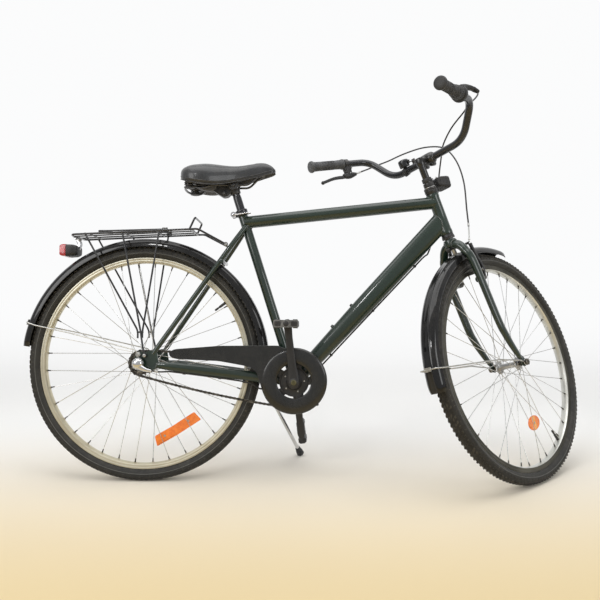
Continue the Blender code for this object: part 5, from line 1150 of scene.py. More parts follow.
REAR_SHELL = [(0.007, 0.04), (0.0165, 0.04), (0.0178, 0.0392), (0.0182, 0.0345), (0.0225, 0.0335),
              (0.023, 0.0312), (0.0262, 0.03), (0.0326, 0.0295), (0.033, 0.029), (0.033, 0.0272),
              (0.0325, 0.0267), (0.0285, 0.0262), (0.0266, 0.024), (0.0258, 0.021), (0.0254, 0.012),
              (0.0254, 0)]
FRONT_SHELL = [(0.0058, 0.04), (0.0096, 0.04), (0.0106, 0.0393), (0.0108, 0.036), (0.0128, 0.035),
               (0.0192, 0.0342), (0.0198, 0.0337), (0.0198, 0.0319), (0.0192, 0.0313), (0.013, 0.03),
               (0.0104, 0.027), (0.0092, 0.022), (0.0088, 0.012), (0.0088, 0)]
make_hub("rear_hub_and_spokes", "rear_hub", "rear_wheel", REAR_HUB, REAR_SHELL, REAR_FLANGE,
         [CAST_ALLOY, WIRE])
make_hub("front_hub_and_spokes", "front_hub", "front_wheel", FRONT_HUB, FRONT_SHELL, FRONT_FLANGE,
         [CAST_ALLOY, WIRE])

# %% [markdown]
# Axles end in hexagonal nuts over washers. The rear one also carries the gear hub's shift unit
# on the right and the brake arm on the left, which is strapped to the chain stay and holds the
# brake's force.

# %% Axles and their hardware
def add_axle_side(form, side, radius, half, cone, nut, size):
    """Cone, locknut, washer, axle nut and the threaded end on one side."""
    form.add(pin(radius, 0, side * half, "Y", 24, 0.0006))
    for k in range(int((half - nut[1]) / 0.0008)):
        y = nut[1] + 0.0004 + k * 0.0008
        form.add(ring_part(radius + 0.0002, radius - 0.0004, side * (y - 0.0002), side * (y + 0.0002),
                           "Y", 20, 0.0001))
    middle = (cone[0] + cone[1]) / 2
    form.add(pin(0.0085, side * cone[0], side * middle, "Y", 24))
    form.add(hexagon(0.0078, side * (middle + 0.0002), side * cone[1]))
    form.add(ring_part(0.01, radius, side * nut[0], side * (nut[0] + 0.0016), "Y", 32, 0.0004))
    form.add(hexagon(size, side * (nut[0] + 0.0017), side * nut[1]), turned_by(17, "Y"))


front = Form()
for side in (-1, 1):
    add_axle_side(front, side, 0.0042, 0.0695, (0.0415, 0.05), (0.0618, 0.068), 0.009)
front.piece("front_axle_dressed", "steering", OILED, FRONT_HUB, "front_axle", "steel")

rear = Form()
for side in (-1, 1):
    add_axle_side(rear, side, 0.0048, 0.082, (0.0445, 0.0632), (0.0698, 0.078), 0.008)
arm = [(-0.013, -0.008), (-0.008, -0.014), (0, -0.016), (0.016, -0.015), (0.115, -0.03),
       (0.127, -0.029)]
arm += [(0.13, -0.0255), (0.127, -0.0215), (0.115, -0.018), (0.018, 0.009), (0, 0.015), (-0.013, 0.008)]
rear.add(plate(soft_outline(arm, 0.005, 3), 0.0482, 0.0508))
rear.add(block((0.008, 0.03, 0.0026), (0.122, 0.062, -0.025), 0.0008))
rear.add(screw(0, 0.0045, 0.003, 0.0022, 0.004, False), moved(0.122, 0.056, -0.024))
cap = [(0, -0.0812), (0.0155, -0.0812), (0.0176, -0.0822), (0.018, -0.084), (0.0176, -0.087),
       (0.0164, -0.0905)]
cap += [(0.0146, -0.0945), (0.0118, -0.0975), (0.008, -0.0993), (0, -0.0999)]
rear.add(turned(cap, "Y", 40), look=1)
for k in range(12):
    ridge = block((0.0016, 0.011, 0.0012), (0.0152, -0.09, 0), 0.0003)
    rear.add(ridge, turned_by(30 * k, "Y"), 1)
elbow = flowing([(0, -0.089, -0.005), (0.014, -0.0895, -0.0125), (0.025, -0.0896, -0.0172),
                 (0.0385, -0.088, -0.0196)], 6)
rear.add(tube(elbow, graded(0.0102, 0.0042, len(elbow)), 20), look=1)
rear.piece("rear_axle_dressed", "frame_body", [ZINC, CHROME], REAR_HUB, "rear_axle", "steel")

# %% [markdown]
# A reflector hangs between the spokes of each wheel. The rear one is a long slanted bar held by
# two screws, the front one an oval whose diagonal band is paler. Both are thin mouldings with a
# raised rim round a field of prisms.

# %% Spoke reflectors
def make_reflector(name, node_name, body, matrix, outline, bands, screws):
    """An amber moulding with its rim, its fields and its screws."""
    form = Form()
    form.add(plate(outline, -0.0012, 0.0012, "Y", 0.0004))
    field = inset_outline(outline, 0.0022)
    for side in (-1, 1):
        form.add(plate(field, side * 0.001, side * 0.0018, "Y", 0.0003))
        for band in bands:
            form.add(plate(band, side * 0.0014, side * 0.0022, "Y", 0.0002), look=1)
        for x, z in screws:
            place = moved(x, side * 0.0018, z) @ turned_by(-90 * side, "X")
            form.add(screw(0, 0.0032, 0.0014, 0.0014, 0.002), place, 2)
    return form.piece(name, body, [AMBER, AMBER_PALE, ZINC], matrix, node_name)


bar_screws = [(0.062, -0.219), (0.132, -0.174)]
bar = soft_outline([(0.0312, -0.2208), (0.0393, -0.2511), (0.1, -0.216), (0.1707, -0.1699),
                    (0.1489, -0.1473), (0.086, -0.189)], 0.004, 3)
make_reflector("rear_reflector_dressed", "rear_reflector", "rear_wheel", REAR_HUB, bar, [], bar_screws)
middle = (0.019, -0.1895)
turns = [TAU * k / 32 for k in range(32)]
oval = [(middle[0] + 0.032 * cos(turn), middle[1] + 0.0215 * sin(turn)) for turn in turns]
band = [(0.011, -0.2085), (0.022, -0.2085), (0.03, -0.171), (0.019, -0.171)]
make_reflector("front_reflector_dressed", "front_reflector", "front_wheel", FRONT_HUB, oval, [band],
               [middle])

# %% [markdown]
# ## Frame
#
# The frame is welded from drawn tubes. Each tube is a smooth loft, and each joint gets the
# rippled bead that a welder lays. To find where the bead runs, rays are sent along the tube that
# ends there, in a ring, until they meet the tube it is welded to. That is quicker and cleaner
# than a Boolean, which would spoil the smooth shading.

# %% Tubes of the frame
DOWN_TOP = on_head(0.4815)
DOWN_RUN = (DOWN_TOP - BB).normalized()
DOWN_UP = Vector((-DOWN_RUN.z, 0, DOWN_RUN.x))
TOP_ENDS = (on_seat(0.5012), on_head(0.5393))
TOP_RUN = (TOP_ENDS[1] - TOP_ENDS[0]).normalized()
TOP_RADIUS = 0.01875
CHAIN_STAY = ((0.439, 0.021, 0.302), (0.385, 0.0325, 0.308), (0.2345, 0.049, 0.327),
              (0.1, 0.063, 0.343), (0.048, 0.0665, 0.348))
CHAIN_STAY_SIZE = ((0.014, 0.0085), (0.0145, 0.0085), (0.0145, 0.0085), (0.0125, 0.008),
                   (0.0085, 0.0055))
EYELETS = (-0.004, 0.016)
EYELET_HEIGHT = 0.379


def along(a, b, t):
    """A point between two points."""
    return Vector(a).lerp(Vector(b), t)


def down_tube():
    """The oversize down tube, deeper towards the head."""
    points, tall, wide = [], [], []
    for k in range(25):
        t = k / 24
        points.append(along(BB, DOWN_TOP, t))
        tall.append(0.0215 + 0.0145 * min(t, 0.45) if t < 0.45 else 0.028 + 0.0033 * (t - 0.45))
        wide.append(0.019 if t < 0.45 else 0.019 - 0.0046 * (t - 0.45))
    return tube(points, tall, 40, wide, (0, 0, 1), 2.15)


def top_tube():
    """The round top tube."""
    return tube([along(*TOP_ENDS, k / 6) for k in range(7)], TOP_RADIUS, 40)


def chain_stay(side):
    """An oval chain stay that slims towards the dropout."""
    return lofted(sided(CHAIN_STAY, side), CHAIN_STAY_SIZE, 6, 28, (0, 0, 1))


def seat_stay_line(side):
    """The lower end, the bend and the upper end of a seat stay."""
    low = Vector((0.038, side * 0.0665, 0.38))
    high = on_seat(0.487, 0, side * 0.015)
    return low, along(low, high, 0.86) + Vector((0, side * 0.01, 0)), high


def seat_stay(side):
    """A slim round seat stay, capped at its top."""
    low, bend, high = seat_stay_line(side)
    path = rounded([low, bend, high], 0.05, 8)
    return tube([low, along(low, path[1], 0.06)] + path[1:], [0.0055] + [0.0075] * len(path), 22)


def carried(shell, matrix):
    """A shell moved by a matrix."""
    return [matrix @ Vector(point) for point in shell[0]], shell[1]


BOSSES = (0.3, 0.43)


def on_down_tube(share):
    """A placement on the down tube's middle line, with its Z out of the tube's upper side."""
    return at(along(BB, DOWN_TOP, share)) @ turn_to(DOWN_UP)


def boss_top(share):
    """How high a bottle boss stands over the middle line."""
    return 0.0275 + 0.006 * share


def tree_of(shell):
    """A tree of faces that rays can be sent to."""
    return BVHTree.FromPolygons(*shell)


def bead(start, run, tall, wide, target, up=(0, 1, 0), size=0.0021, reach=0.09):
    """A weld bead where a tube that runs from start meets a target tree."""
    run = Vector(run).normalized()
    side = Vector(up).cross(run).normalized()
    rise = run.cross(side)
    hits = []
    for k in range(96):
        angle = TAU * k / 96
        origin = Vector(start) + side * (wide * 0.995 * cos(angle)) + rise * (tall * 0.995 * sin(angle))
        hits.append(target.ray_cast(origin, run, reach)[0])
    if all(hits):
        return loop_bead(hits, size)
    best = []
    for shift in range(96):
        runs = []
        for k in range(96):
            spot = hits[(shift + k) % 96]
            if spot is None:
                break
            runs.append(spot)
        if len(runs) > len(best):
            best = runs
    if len(best) < 9:
        return [], []
    return tube(spread(best, 60), [size * (1 + 0.16 * cos(k * 2.1)) for k in range(60)], 8)


def loop_bead(path, size):
    """A closed bead with the ripple of its stitches."""
    closed = spread(path + [path[0]], 121)[:-1]
    rings = []
    for k, (side, rise) in enumerate(path_frames(closed, None, loop=True)):
        width = size * (1 + 0.16 * cos(TAU * k / 3))
        turns = [TAU * i / 8 for i in range(8)]
        rings.append([closed[k] + side * width * cos(turn) + rise * width * sin(turn) for turn in turns])
    return bridge_rings(rings, loop=True)


def dropout(side):
    """The forged end: a plate with two eyelets and a hooded edge."""
    outline = [(-0.016, 0.346), (-0.012, 0.3345), (0.01, 0.3282), (0.04, 0.334), (0.058, 0.342),
               (0.056, 0.354), (0.05, 0.388), (0.034, 0.392), (0.022, 0.3872), (-0.007, 0.387),
               (-0.0125, 0.3795), (-0.0165, 0.362)]
    return plate(soft_outline(outline, 0.006, 4), side * 0.0635, side * 0.0695, "Y", 0.0008)


# %% [markdown]
# The head tube is flared a little at both ends, where the headset cups are pressed in. The bottom
# bracket shell is a plain sleeve with chamfered edges. Both seat the tubes that meet them.

# %% The frame
def head_tube():
    """The head tube with its reinforced ends."""
    low, high, r = 0.438, 0.566, 0.0175
    profile = [(0.0152, low), (0.0182, low), (0.0185, low + 0.001), (0.0185, low + 0.01),
               (r, low + 0.0135)]
    profile += [(r, (low + high) / 2)]
    profile += [(r, high - 0.0135), (0.0185, high - 0.01), (0.0185, high - 0.001), (0.0182, high),
                (0.0152, high)]
    return turned(profile, "Z", 56, loop=True)


def make_frame():
    """Every tube, plate, bridge and bead of the welded frame."""
    form = Form()
    head = carried(head_tube(), STRAIGHT)
    seat_line = [(0.0132, 0.005), (0.0143, 0.006), (0.0143, 0.3), (0.0143, 0.5395), (0.0139, 0.541),
                 (0.013, 0.541)]
    seat = carried(turned(seat_line, "Z", 44), SEAT_TILT)
    shell = carried(ring_part(0.0205, 0.0165, -0.034, 0.034, "Y", 56, 0.001), at(BB))
    for part in (head, seat, shell, down_tube(), top_tube()):
        form.add(part)
    for side in (-1, 1):
        form.add(chain_stay(side))
        form.add(seat_stay(side))
        form.add(dropout(side))
        for x in EYELETS:
            eyelet = ring_part(0.0062, 0.0032, side * 0.063, side * 0.07, "Y", 28, 0.0005)
            form.add(eyelet, moved(x, 0, EYELET_HEIGHT))
    form.add(pin(0.006, -0.053, 0.053, "Y", 24), moved(0.2345, 0, 0.656))
    form.add(pin(0.006, -0.033, 0.033, "Y", 24), moved(0.401, 0, 0.3065))
    for share in BOSSES:
        top = boss_top(share)
        boss = [(0, 0.015), (0.0062, top - 0.0034), (0.005, top - 0.0012), (0.0046, top - 0.0002),
                (0, top)]
        form.add(turned(boss, "Z", 24), on_down_tube(share))
    head_tree, seat_tree, shell_tree = tree_of(head), tree_of(seat), tree_of(shell)
    form.add(bead(TOP_ENDS[1] - TOP_RUN * 0.06, TOP_RUN, TOP_RADIUS, TOP_RADIUS, head_tree), look=1)
    form.add(bead(TOP_ENDS[0] + TOP_RUN * 0.06, -TOP_RUN, TOP_RADIUS, TOP_RADIUS, seat_tree), look=1)
    form.add(bead(DOWN_TOP - DOWN_RUN * 0.085, DOWN_RUN, 0.0296, 0.0166, head_tree, (0, 0, 1),
                  reach=0.12), look=1)
    form.add(bead(BB + DOWN_RUN * 0.06, -DOWN_RUN, 0.0222, 0.019, shell_tree, (0, 0, 1)), look=1)
    seat_run = (BB - on_seat(0.3)).normalized()
    form.add(bead(on_seat(0.06), seat_run, 0.0143, 0.0143, shell_tree), look=1)
    for side in (-1, 1):
        stay_end, stay_start = sided(CHAIN_STAY[:2], side)
        form.add(bead(stay_start, stay_end - stay_start, 0.013, 0.0085, shell_tree, (0, 0, 1)), look=1)
        bend, high = seat_stay_line(side)[1:]
        form.add(bead(along(bend, high, 0.3), high - bend, 0.0075, 0.0075, seat_tree, size=0.0016),
                 look=1)
        turns = [TAU * k / 24 for k in range(24)]
        seam = [(0.05 + 0.004 * cos(a), 0.0665 + 0.006 * sin(a),
                 0.348 + 0.008 * sin(2 * a)) for a in turns]
        form.add(loop_bead(sided(seam, side), 0.0013), look=1)
    return form.piece("frame_tubes", "frame_body", [GREEN, WELD], BIKE, "frame", "green_paint",
                      sharp=32)


make_frame()

# %% [markdown]
# Small hardware on the frame: a screw waits in each bottle boss, one holds each stay and rack leg
# at the dropouts, and dark cable clips hold the shift cable under the down tube.

# %% Screws and clips
hardware = Form()
for share in BOSSES:
    hardware.add(screw(boss_top(share), 0.0043, 0.0024, 0.0022, 0.008), on_down_tube(share))
hardware.piece("bottle_boss_screws", "frame_body", SATIN_BLACK)


def under_down_tube(share):
    """The cable's line under the down tube."""
    return along(BB, DOWN_TOP, share) - DOWN_UP * (0.0275 + 0.007 * share) + Vector((0, 0.004, 0))


clips = Form()
for share in (0.2, 0.48, 0.76):
    spot = under_down_tube(share)
    place = turn_to(DOWN_RUN, spot)
    clips.add(ring_part(0.0041, 0.0024, -0.003, 0.003, "Z", 28, 0.0004), place)
    clips.add(block((0.005, 0.0052, 0.006), (0, 0, 0), 0.0008),
              at(spot + DOWN_UP * 0.004) @ turn_to(DOWN_RUN))
clips.piece("down_tube_cable_clips", "frame_body", PLASTIC)

# %% [markdown]
# The headset turns in two pressed cups. They are black, with a polished lip towards the bearing
# and a narrow seal line, and the bottom bracket shows only the notched end of its cartridge.

# %% Headset and bottom bracket
def cup(name, profile):
    """A turned cup on the steering axis."""
    form = Form()
    form.add(turned(profile, "Z", 56, loop=True))
    return form.piece(name + "_turned", "frame_body", SATIN_BLACK, BIKE @ STRAIGHT, name, "black_paint")


cup("headset_upper_cup", [(0.0136, 0.5664), (0.0172, 0.5664), (0.018, 0.5674), (0.0182, 0.572),
                          (0.0193, 0.5735), (0.0194, 0.576), (0.0188, 0.5764), (0.0188, 0.577),
                          (0.0194, 0.5774), (0.0192, 0.5798), (0.0136, 0.5799)])
cup("headset_lower_cup", [(0.0136, 0.4226), (0.019, 0.4227), (0.0194, 0.425), (0.0194, 0.428),
                          (0.0188, 0.4284), (0.0188, 0.429), (0.0193, 0.4296), (0.0182, 0.432),
                          (0.0178, 0.437), (0.0172, 0.4376), (0.0136, 0.4376)])
bracket = Form()
for side in (-1, 1):
    bracket.add(ring_part(0.0163, 0.0092, side * 0.02, side * 0.0334, "Y", 48, 0.0005))
    for k in range(8):
        bracket.add(block((0.004, 0.0006, 0.0022), (0.014, side * 0.0335, 0), 0.0003),
                    turned_by(45 * k, "Y"))
bracket.piece("bottom_bracket_cartridge", "frame_body", ZINC, BIKE @ at(BB), "bottom_bracket", "steel")

# %% [markdown]
# ## Saddle and its post
#
# The clamp round the seat tube closes with a cam lever, so the height can be set by hand. Its
# collar has two ears behind, and the lever's blade is a bent stamping that widens to its tip.

# %% Seat clamp
CLAMP_AT = 0.5315
collar = Form()
hoop = both_ways([(0.0146, 0.009), (0.0178, 0.009), (0.0183, 0.0082), (0.0183, 0.002), (0.0178, 0.001)])
collar.add(turned([(r, CLAMP_AT + h) for r, h in hoop], "Z", 56, loop=True), SEAT_TILT)
for side in (-1, 1):
    ear = oblong(-0.032, -0.015, CLAMP_AT - 0.0072, CLAMP_AT + 0.0072, 0.004)
    collar.add(plate(ear, side * 0.0014, side * 0.0088, "Y", 0.0008), SEAT_TILT)
lever_place = SEAT_TILT @ moved(-0.025, 0, CLAMP_AT)
collar.add(pin(0.003, -0.027, 0.012, "Y", 20), lever_place, 1)
nut = [(0, 0.009), (0.005, 0.009), (0.0066, 0.01), (0.0066, 0.014), (0.005, 0.0162), (0, 0.0164)]
collar.add(turned(nut, "Y", 28), lever_place, 1)
collar.piece("seat_clamp_collar", "frame_body", [ENAMEL, CHROME], BIKE, "seat_clamp", "black_paint")

lever = Form()
lever.add(ring_part(0.0085, 0.0034, -0.0224, -0.0126, "Y", 36, 0.001), lever_place)
blade = rounded([(0.002, -0.0185, -0.001), (0.02, -0.024, -0.005), (0.052, -0.0245, -0.012)], 0.012, 6)
widths = [0.0048 + 0.0016 * (k / (len(blade) - 1)) ** 2 for k in range(len(blade))]
lever.add(tube(blade, widths, 20, 0.0021, (0, 1, 0), 2.6), lever_place)
lever.piece("seat_clamp_lever_dressed", "seat_clamp_lever", CHROME, BIKE, "seat_clamp_lever", "steel")

# %% [markdown]
# The saddle rides on a plain black post. A two-bolt clamp grips the rails, which are one bent
# wire, and two coil springs carry the back of the saddle. Springs and rails are swept along
# their real centre lines.

# %% Post, clamp, rails and springs
post = Form()
post.add(turned([(0, 0.396), (0.0117, 0.396), (0.0127, 0.397), (0.0127, 0.578), (0.0123, 0.584),
                 (0.0112, 0.59), (0.011, 0.594), (0.011, 0.6065), (0, 0.607)], "Z", 48), SEAT_TILT)
post.piece("seat_post_dressed", "seat", ENAMEL, BIKE, "seat_post", "black_paint")

DARK_STEEL = finish("dark_steel", (0.055, 0.055, 0.057), (0.11, 0.11, 0.112), 0.26, relief="lines",
                    metallic=0.9, stretch=(400, 400, 400), depth=0.000006, worn=(0.4, 0.39, 0.37),
                    wear=0.4, dusty=0.15, cloud=40)
RAIL_EYE = at((on_seat(0.6125).x, 0, 0.888))
clamp = Form()
clamp.add(turned([(0.0116, 0.5925), (0.0142, 0.5925), (0.015, 0.594), (0.015, 0.608), (0.013, 0.612),
                  (0.0112, 0.6125)], "Z", 40, loop=True), SEAT_TILT)
for side in (-1, 1):
    cheek = on_side(side, [(0, 0.0172), (0.0138, 0.0172), (0.015, 0.018), (0.015, 0.029),
                           (0.0138, 0.03), (0, 0.03)])
    clamp.add(turned(cheek, "Y", 40), RAIL_EYE)
    for k in range(20):
        clamp.add(block((0.002, 0.0009, 0.0009), (0.0128, side * 0.0168, 0), 0.0002),
                  RAIL_EYE @ turned_by(18 * k, "Y"))
    clamp.add(hexagon(0.0058, side * 0.03, side * 0.0348), RAIL_EYE, 1)
clamp.add(pin(0.0125, -0.0172, 0.0172, "Y", 36), RAIL_EYE)
cradle = soft_outline([(0.246, 0.856), (0.232, 0.854), (0.206, 0.87), (0.198, 0.884), (0.208, 0.892),
                       (0.266, 0.892), (0.268, 0.878)], 0.005, 4)
clamp.add(plate(cradle, -0.0165, 0.0165, "Y", 0.0022))
clamp.add(pin(0.0068, -0.0205, 0.0205, "Y", 28, 0.001), moved(0.236, 0, 0.865))
clamp.add(hexagon(0.004, -0.0232, -0.0203), moved(0.236, 0, 0.865), 1)
clamp.add(pin(0.0036, -0.036, 0.036, "Y", 20), RAIL_EYE, 1)
clamp.piece("saddle_clamp_dressed", "seat", [SATIN_BLACK, DARK_STEEL], BIKE, "saddle_clamp",
            "black_paint")

rails = Form()
half = [(0.356, -0.006, 0.921), (0.338, -0.014, 0.916), (0.308, -0.022, 0.888), (0.2, -0.022, 0.888),
        (0.17, -0.03, 0.88), (0.152, -0.058, 0.876), (0.128, -0.053, 0.8755), (0.118, -0.02, 0.8755)]
rails.add(tube(rounded(half + sided(half, -1)[::-1], 0.012, 6), 0.0033, 16))
rails.piece("saddle_rails_bent", "seat", DARK_STEEL, BIKE, "saddle_rails", "steel")


SPRING_X, SPRING_Y = 0.136, 0.05


def saddle_spring(name, side):
    """A coil with closed ends on two seats."""
    form = Form()
    low, high, turns = 0.88, 0.893, 2
    path = []
    for k, rise in enumerate(graded(low, high, turns * 26 + 1)):
        angle = side * TAU * k / 26
        path.append((SPRING_X + 0.0134 * cos(angle), side * SPRING_Y + 0.0134 * sin(angle), rise))
    form.add(tube(path, 0.0018, 10))
    bumper = [(0, 0.8725), (0.014, 0.8725), (0.0156, 0.8736), (0.0156, 0.8765), (0.0112, 0.8785),
              (0.0104, 0.882), (0.0104, 0.889), (0.0112, 0.8925), (0, 0.893)]
    form.add(turned(bumper, "Z", 36), moved(SPRING_X, side * SPRING_Y), 1)
    return form.piece(name + "_coiled", "seat", [DARK_STEEL, GRIP_RUBBER], BIKE, name, "steel")


saddle_spring("saddle_spring_right", -1)
saddle_spring("saddle_spring_left", 1)

# %% [markdown]
# The saddle is a foam pad under vinyl, stretched over a plastic pan. Its form comes from sections
# across it, from the broad back to the nose. A piping runs along the edge of the vinyl, a row of
# stitches follows it, and the pan shows under the edge. The cover gets a fine leather grain, and
# soft folds in the mesh where the vinyl is drawn round the curves. The pan is drawn in a light
# grey, which is painted light: it lifts the shade under the saddle.

# %% Saddle finishes
VINYL = finish("saddle_vinyl", (0.0102, 0.0112, 0.0132), (0.0182, 0.0196, 0.0222), 0.42, scale=520,
               pebble=1, depth=0.0001, coat=0.3, coat_rough=0.09, worn=(0.05, 0.05, 0.05), wear=0.5,
               dusty=0.12, cloud=16, sheen=0.06)
PIPING = finish("saddle_piping", (0.026, 0.027, 0.03), (0.042, 0.043, 0.047), 0.55, scale=700,
                pebble=0.6, depth=0.0001, worn=(0.2, 0.2, 0.2), wear=0.5, dusty=0.1, cloud=30)
# The pan's light grey is painted light: it lifts the shade under the saddle.
PAN_PAINTED_LIGHT = finish("pan_plastic_painted_light", (0.08, 0.082, 0.088), (0.11, 0.112, 0.118), 0.62, scale=1200,
                     pebble=0.6, depth=0.00006, worn=(0.04, 0.04, 0.04), wear=0.4, dusty=0.1, cloud=18,
                     specular=0.25)

# %% [markdown]
# Each section has a half width, a top and a hem. Over the top it is fuller than a circle, with a
# shallow groove along the middle. At the hem it turns in and goes on to the pan.

# %% Saddle
SADDLE = ((0.108, 0.036, 0.926, 0.903), (0.112, 0.058, 0.935, 0.8975), (0.122, 0.076, 0.942, 0.892),
          (0.14, 0.089, 0.9485, 0.886), (0.162, 0.094, 0.9515, 0.8815), (0.186, 0.091, 0.9535, 0.879),
          (0.21, 0.08, 0.9525, 0.8795), (0.235, 0.064, 0.9505, 0.8835), (0.26, 0.047, 0.9495, 0.891),
          (0.285, 0.036, 0.951, 0.8985), (0.31, 0.029, 0.9555, 0.9045), (0.335, 0.025, 0.9595, 0.9105),
          (0.356, 0.0235, 0.9595, 0.917), (0.372, 0.021, 0.954, 0.9215), (0.383, 0.017, 0.946, 0.925),
          (0.389, 0.01, 0.938, 0.928))


def saddle_stations(steps):
    """Stations between the given ones: place, half width, top and bottom."""
    pairs = flowing([(x, w, t) for x, w, t, b in SADDLE], steps)
    lows = flowing([(x, b, 0) for x, w, t, b in SADDLE], steps)
    return [(p.x, p.y, p.z, q.y) for p, q in zip(pairs, lows)]


def over_saddle(station, share):
    """A point of the cover: share runs from the right hem over the top to the left hem."""
    x, half, top, bottom = station
    angle = pi * share
    lift = sin(angle) ** 0.6 if 0 < share < 1 else 0
    across = -cos(angle)
    groove = 0.0016 * exp(-(across * half / 0.01) ** 2) if 0.15 < x < 0.33 else 0
    return Vector((x, half * across, bottom + 0.01 + (top - bottom - 0.01) * lift - groove))


def pan_depth(top, bottom):
    """How far the pan lies above the hem."""
    return min(0.012, (top - bottom) * 0.35)


def saddle_cover():
    """The vinyl cover, its tucked hem, the piping, the stitches and the pan."""
    form = Form()
    stations = saddle_stations(5)
    rings = []
    for k, station in enumerate(stations):
        x, half, top, bottom = station
        ring = [over_saddle(station, i / 36) for i in range(37)]
        ripple = 0.0006 * sin(k * 1.9) * exp(-((half - 0.05) / 0.03) ** 2)
        for i, point in enumerate(ring):
            near_hem = min(i, 36 - i) / 18
            point.y += copysign(ripple * exp(-((near_hem - 0.15) / 0.12) ** 2), point.y)
        hem = [(0.985, 0.004), (0.93, 0.0008), (0.8, 0.002), (0.7, pan_depth(top, bottom))]
        hem += [(-a, b) for a, b in reversed(hem)]
        rings.append(ring + [Vector((x, half * a, bottom + b)) for a, b in hem])
    form.add(bridge_rings(rings))
    # The pan under the hem, in the pan's light grey: painted light in the shade under the saddle.
    under = []
    for x, half, top, bottom in stations:
        depth = pan_depth(top, bottom)
        line = [(-0.93, 0.0002), (-0.8, 0.0012), (-0.7, depth - 0.001), (0.7, depth - 0.001),
                (0.8, 0.0012), (0.93, 0.0002)]
        line += [(a, b + 0.0006) for a, b in reversed(line)]
        under.append([Vector((x, half * a, bottom + b)) for a, b in line])
    form.add(bridge_rings(under), look=2)
    for side in (-1, 1):
        for share, rise in ((0.992, 0.0092), (0.955, 0.001)):
            edge = [(x, side * half * share, b + rise) for x, half, t, b in stations]
            form.add(tube(edge, 0.0013, 8), look=1)
        seam = [Vector((x, side * (half - 0.0006), b + 0.015)) for x, half, t, b in stations]
        stitched = spread(seam, 120)
        for k in range(3, 116, 2):
            start, end = stitched[k:k + 2]
            middle = along(start, end, 0.5) + Vector((0, side * 0.0004, 0))
            form.add(tube([start, middle, end], 0.00035, 5), look=1)
    cover = form.piece("saddle_cover_padded", "seat", [VINYL, PIPING, PAN_PAINTED_LIGHT], BIKE,
                       "saddle_cover", "vinyl", sharp=55)
    return cover


saddle_cover()

# %% [markdown]
# Behind, two dark plates with a rivet each close the pan over the springs, and a keel runs under
# its middle, over the clamp. They take the pan's light grey, which is painted light in the shade
# under the saddle.

# %% Pan plates and rivets
pan = Form()
for side in (-1, 1):
    outline = soft_outline(on_side(side, [(0.118, 0.03), (0.154, 0.034), (0.156, 0.068),
                                          (0.124, 0.064)]), 0.008)
    pan.add(plate(outline, 0.8872, 0.89, "Z", 0.0006))
    rivet = turned([(0, 0.8868), (0.0034, 0.8869), (0.004, 0.8876), (0, 0.888)], "Z", 20)
    pan.add(rivet, moved(SPRING_X, side * SPRING_Y), 1)
keel = soft_outline([(0.148, 0.893), (0.15, 0.883), (0.175, 0.8755), (0.202, 0.8715), (0.214, 0.878),
                     (0.214, 0.893)], 0.005)
pan.add(plate(keel, -0.017, 0.017, "Y", 0.003))
pan.piece("saddle_pan_plates", "seat", [PAN_PAINTED_LIGHT, ZINC])

# %% [markdown]
# ## Fork, stem and handlebar
#
# Everything from here to the front lamp turns with the handlebar. The fork is a unicrown: its two
# blades sweep together and are welded under the steerer. They are lofted, because they taper.

# %% Fork
BLADE = ((0, 0.006, 0.403), (0, 0.025, 0.3955), (0, 0.04, 0.373), (0.0012, 0.052, 0.33),
         (0.0085, 0.055, 0.15), (0.0175, 0.0548, 0.103), (0.029, 0.054, 0.068), (0.046, 0.0532, 0.028),
         (0.053, 0.053, 0.014))
BLADE_TALL = (0.014, 0.015, 0.0155, 0.0155, 0.0145, 0.0134, 0.012, 0.01, 0.0072)
BLADE_WIDE = (0.014, 0.013, 0.0115, 0.01, 0.0092, 0.0087, 0.0077, 0.0062, 0.0045)
BRAKE_PIVOT = Vector((0, 0.043, 0.279))


def fork_blade(side):
    """One swept blade."""
    return lofted(sided(BLADE, side), zip(BLADE_TALL, BLADE_WIDE), 7, 32, (1, 0, 0))


def make_fork():
    """Steerer, crown, blades, tips, brake posts and beads."""
    form = Form()
    crown_shell = turned([(0, 0.3965), (0.015, 0.3968), (0.018, 0.399), (0.0188, 0.418),
                          (0.018, 0.4195), (0.0127, 0.4205), (0.0127, 0.5806), (0, 0.5806)], "Z", 56)
    form.add(crown_shell)
    crown_tree = tree_of(crown_shell)
    tip = soft_outline([(0.044, 0.026), (0.06, 0.024), (0.072, 0.008), (0.072, -0.008), (0.06, -0.013),
                        (0.049, -0.006)], 0.005, 4)
    for side in (-1, 1):
        form.add(fork_blade(side))
        form.add(plate(tip, side * 0.0508, side * 0.0552, "Y", 0.0007))
        start = Vector((0, side * 0.0262, 0.3946))
        form.add(bead(start, (0, -side, 0.62), 0.015, 0.0132, crown_tree, (1, 0, 0)), look=1)
        boss = moved(0, side * BRAKE_PIVOT.y, BRAKE_PIVOT.z)
        form.add(turned([(0, 0.003), (0.0092, 0.003), (0.0076, 0.01), (0.007, 0.013), (0.007, 0.025),
                         (0, 0.025)], "X", 30), boss)
        form.add(pin(0.0039, 0.024, 0.044, "X", 24), boss, 2)
    return form.piece("fork_and_steerer", "steering", [GREEN, WELD, ZINC], STEER, "fork", "green_paint",
                      sharp=35)


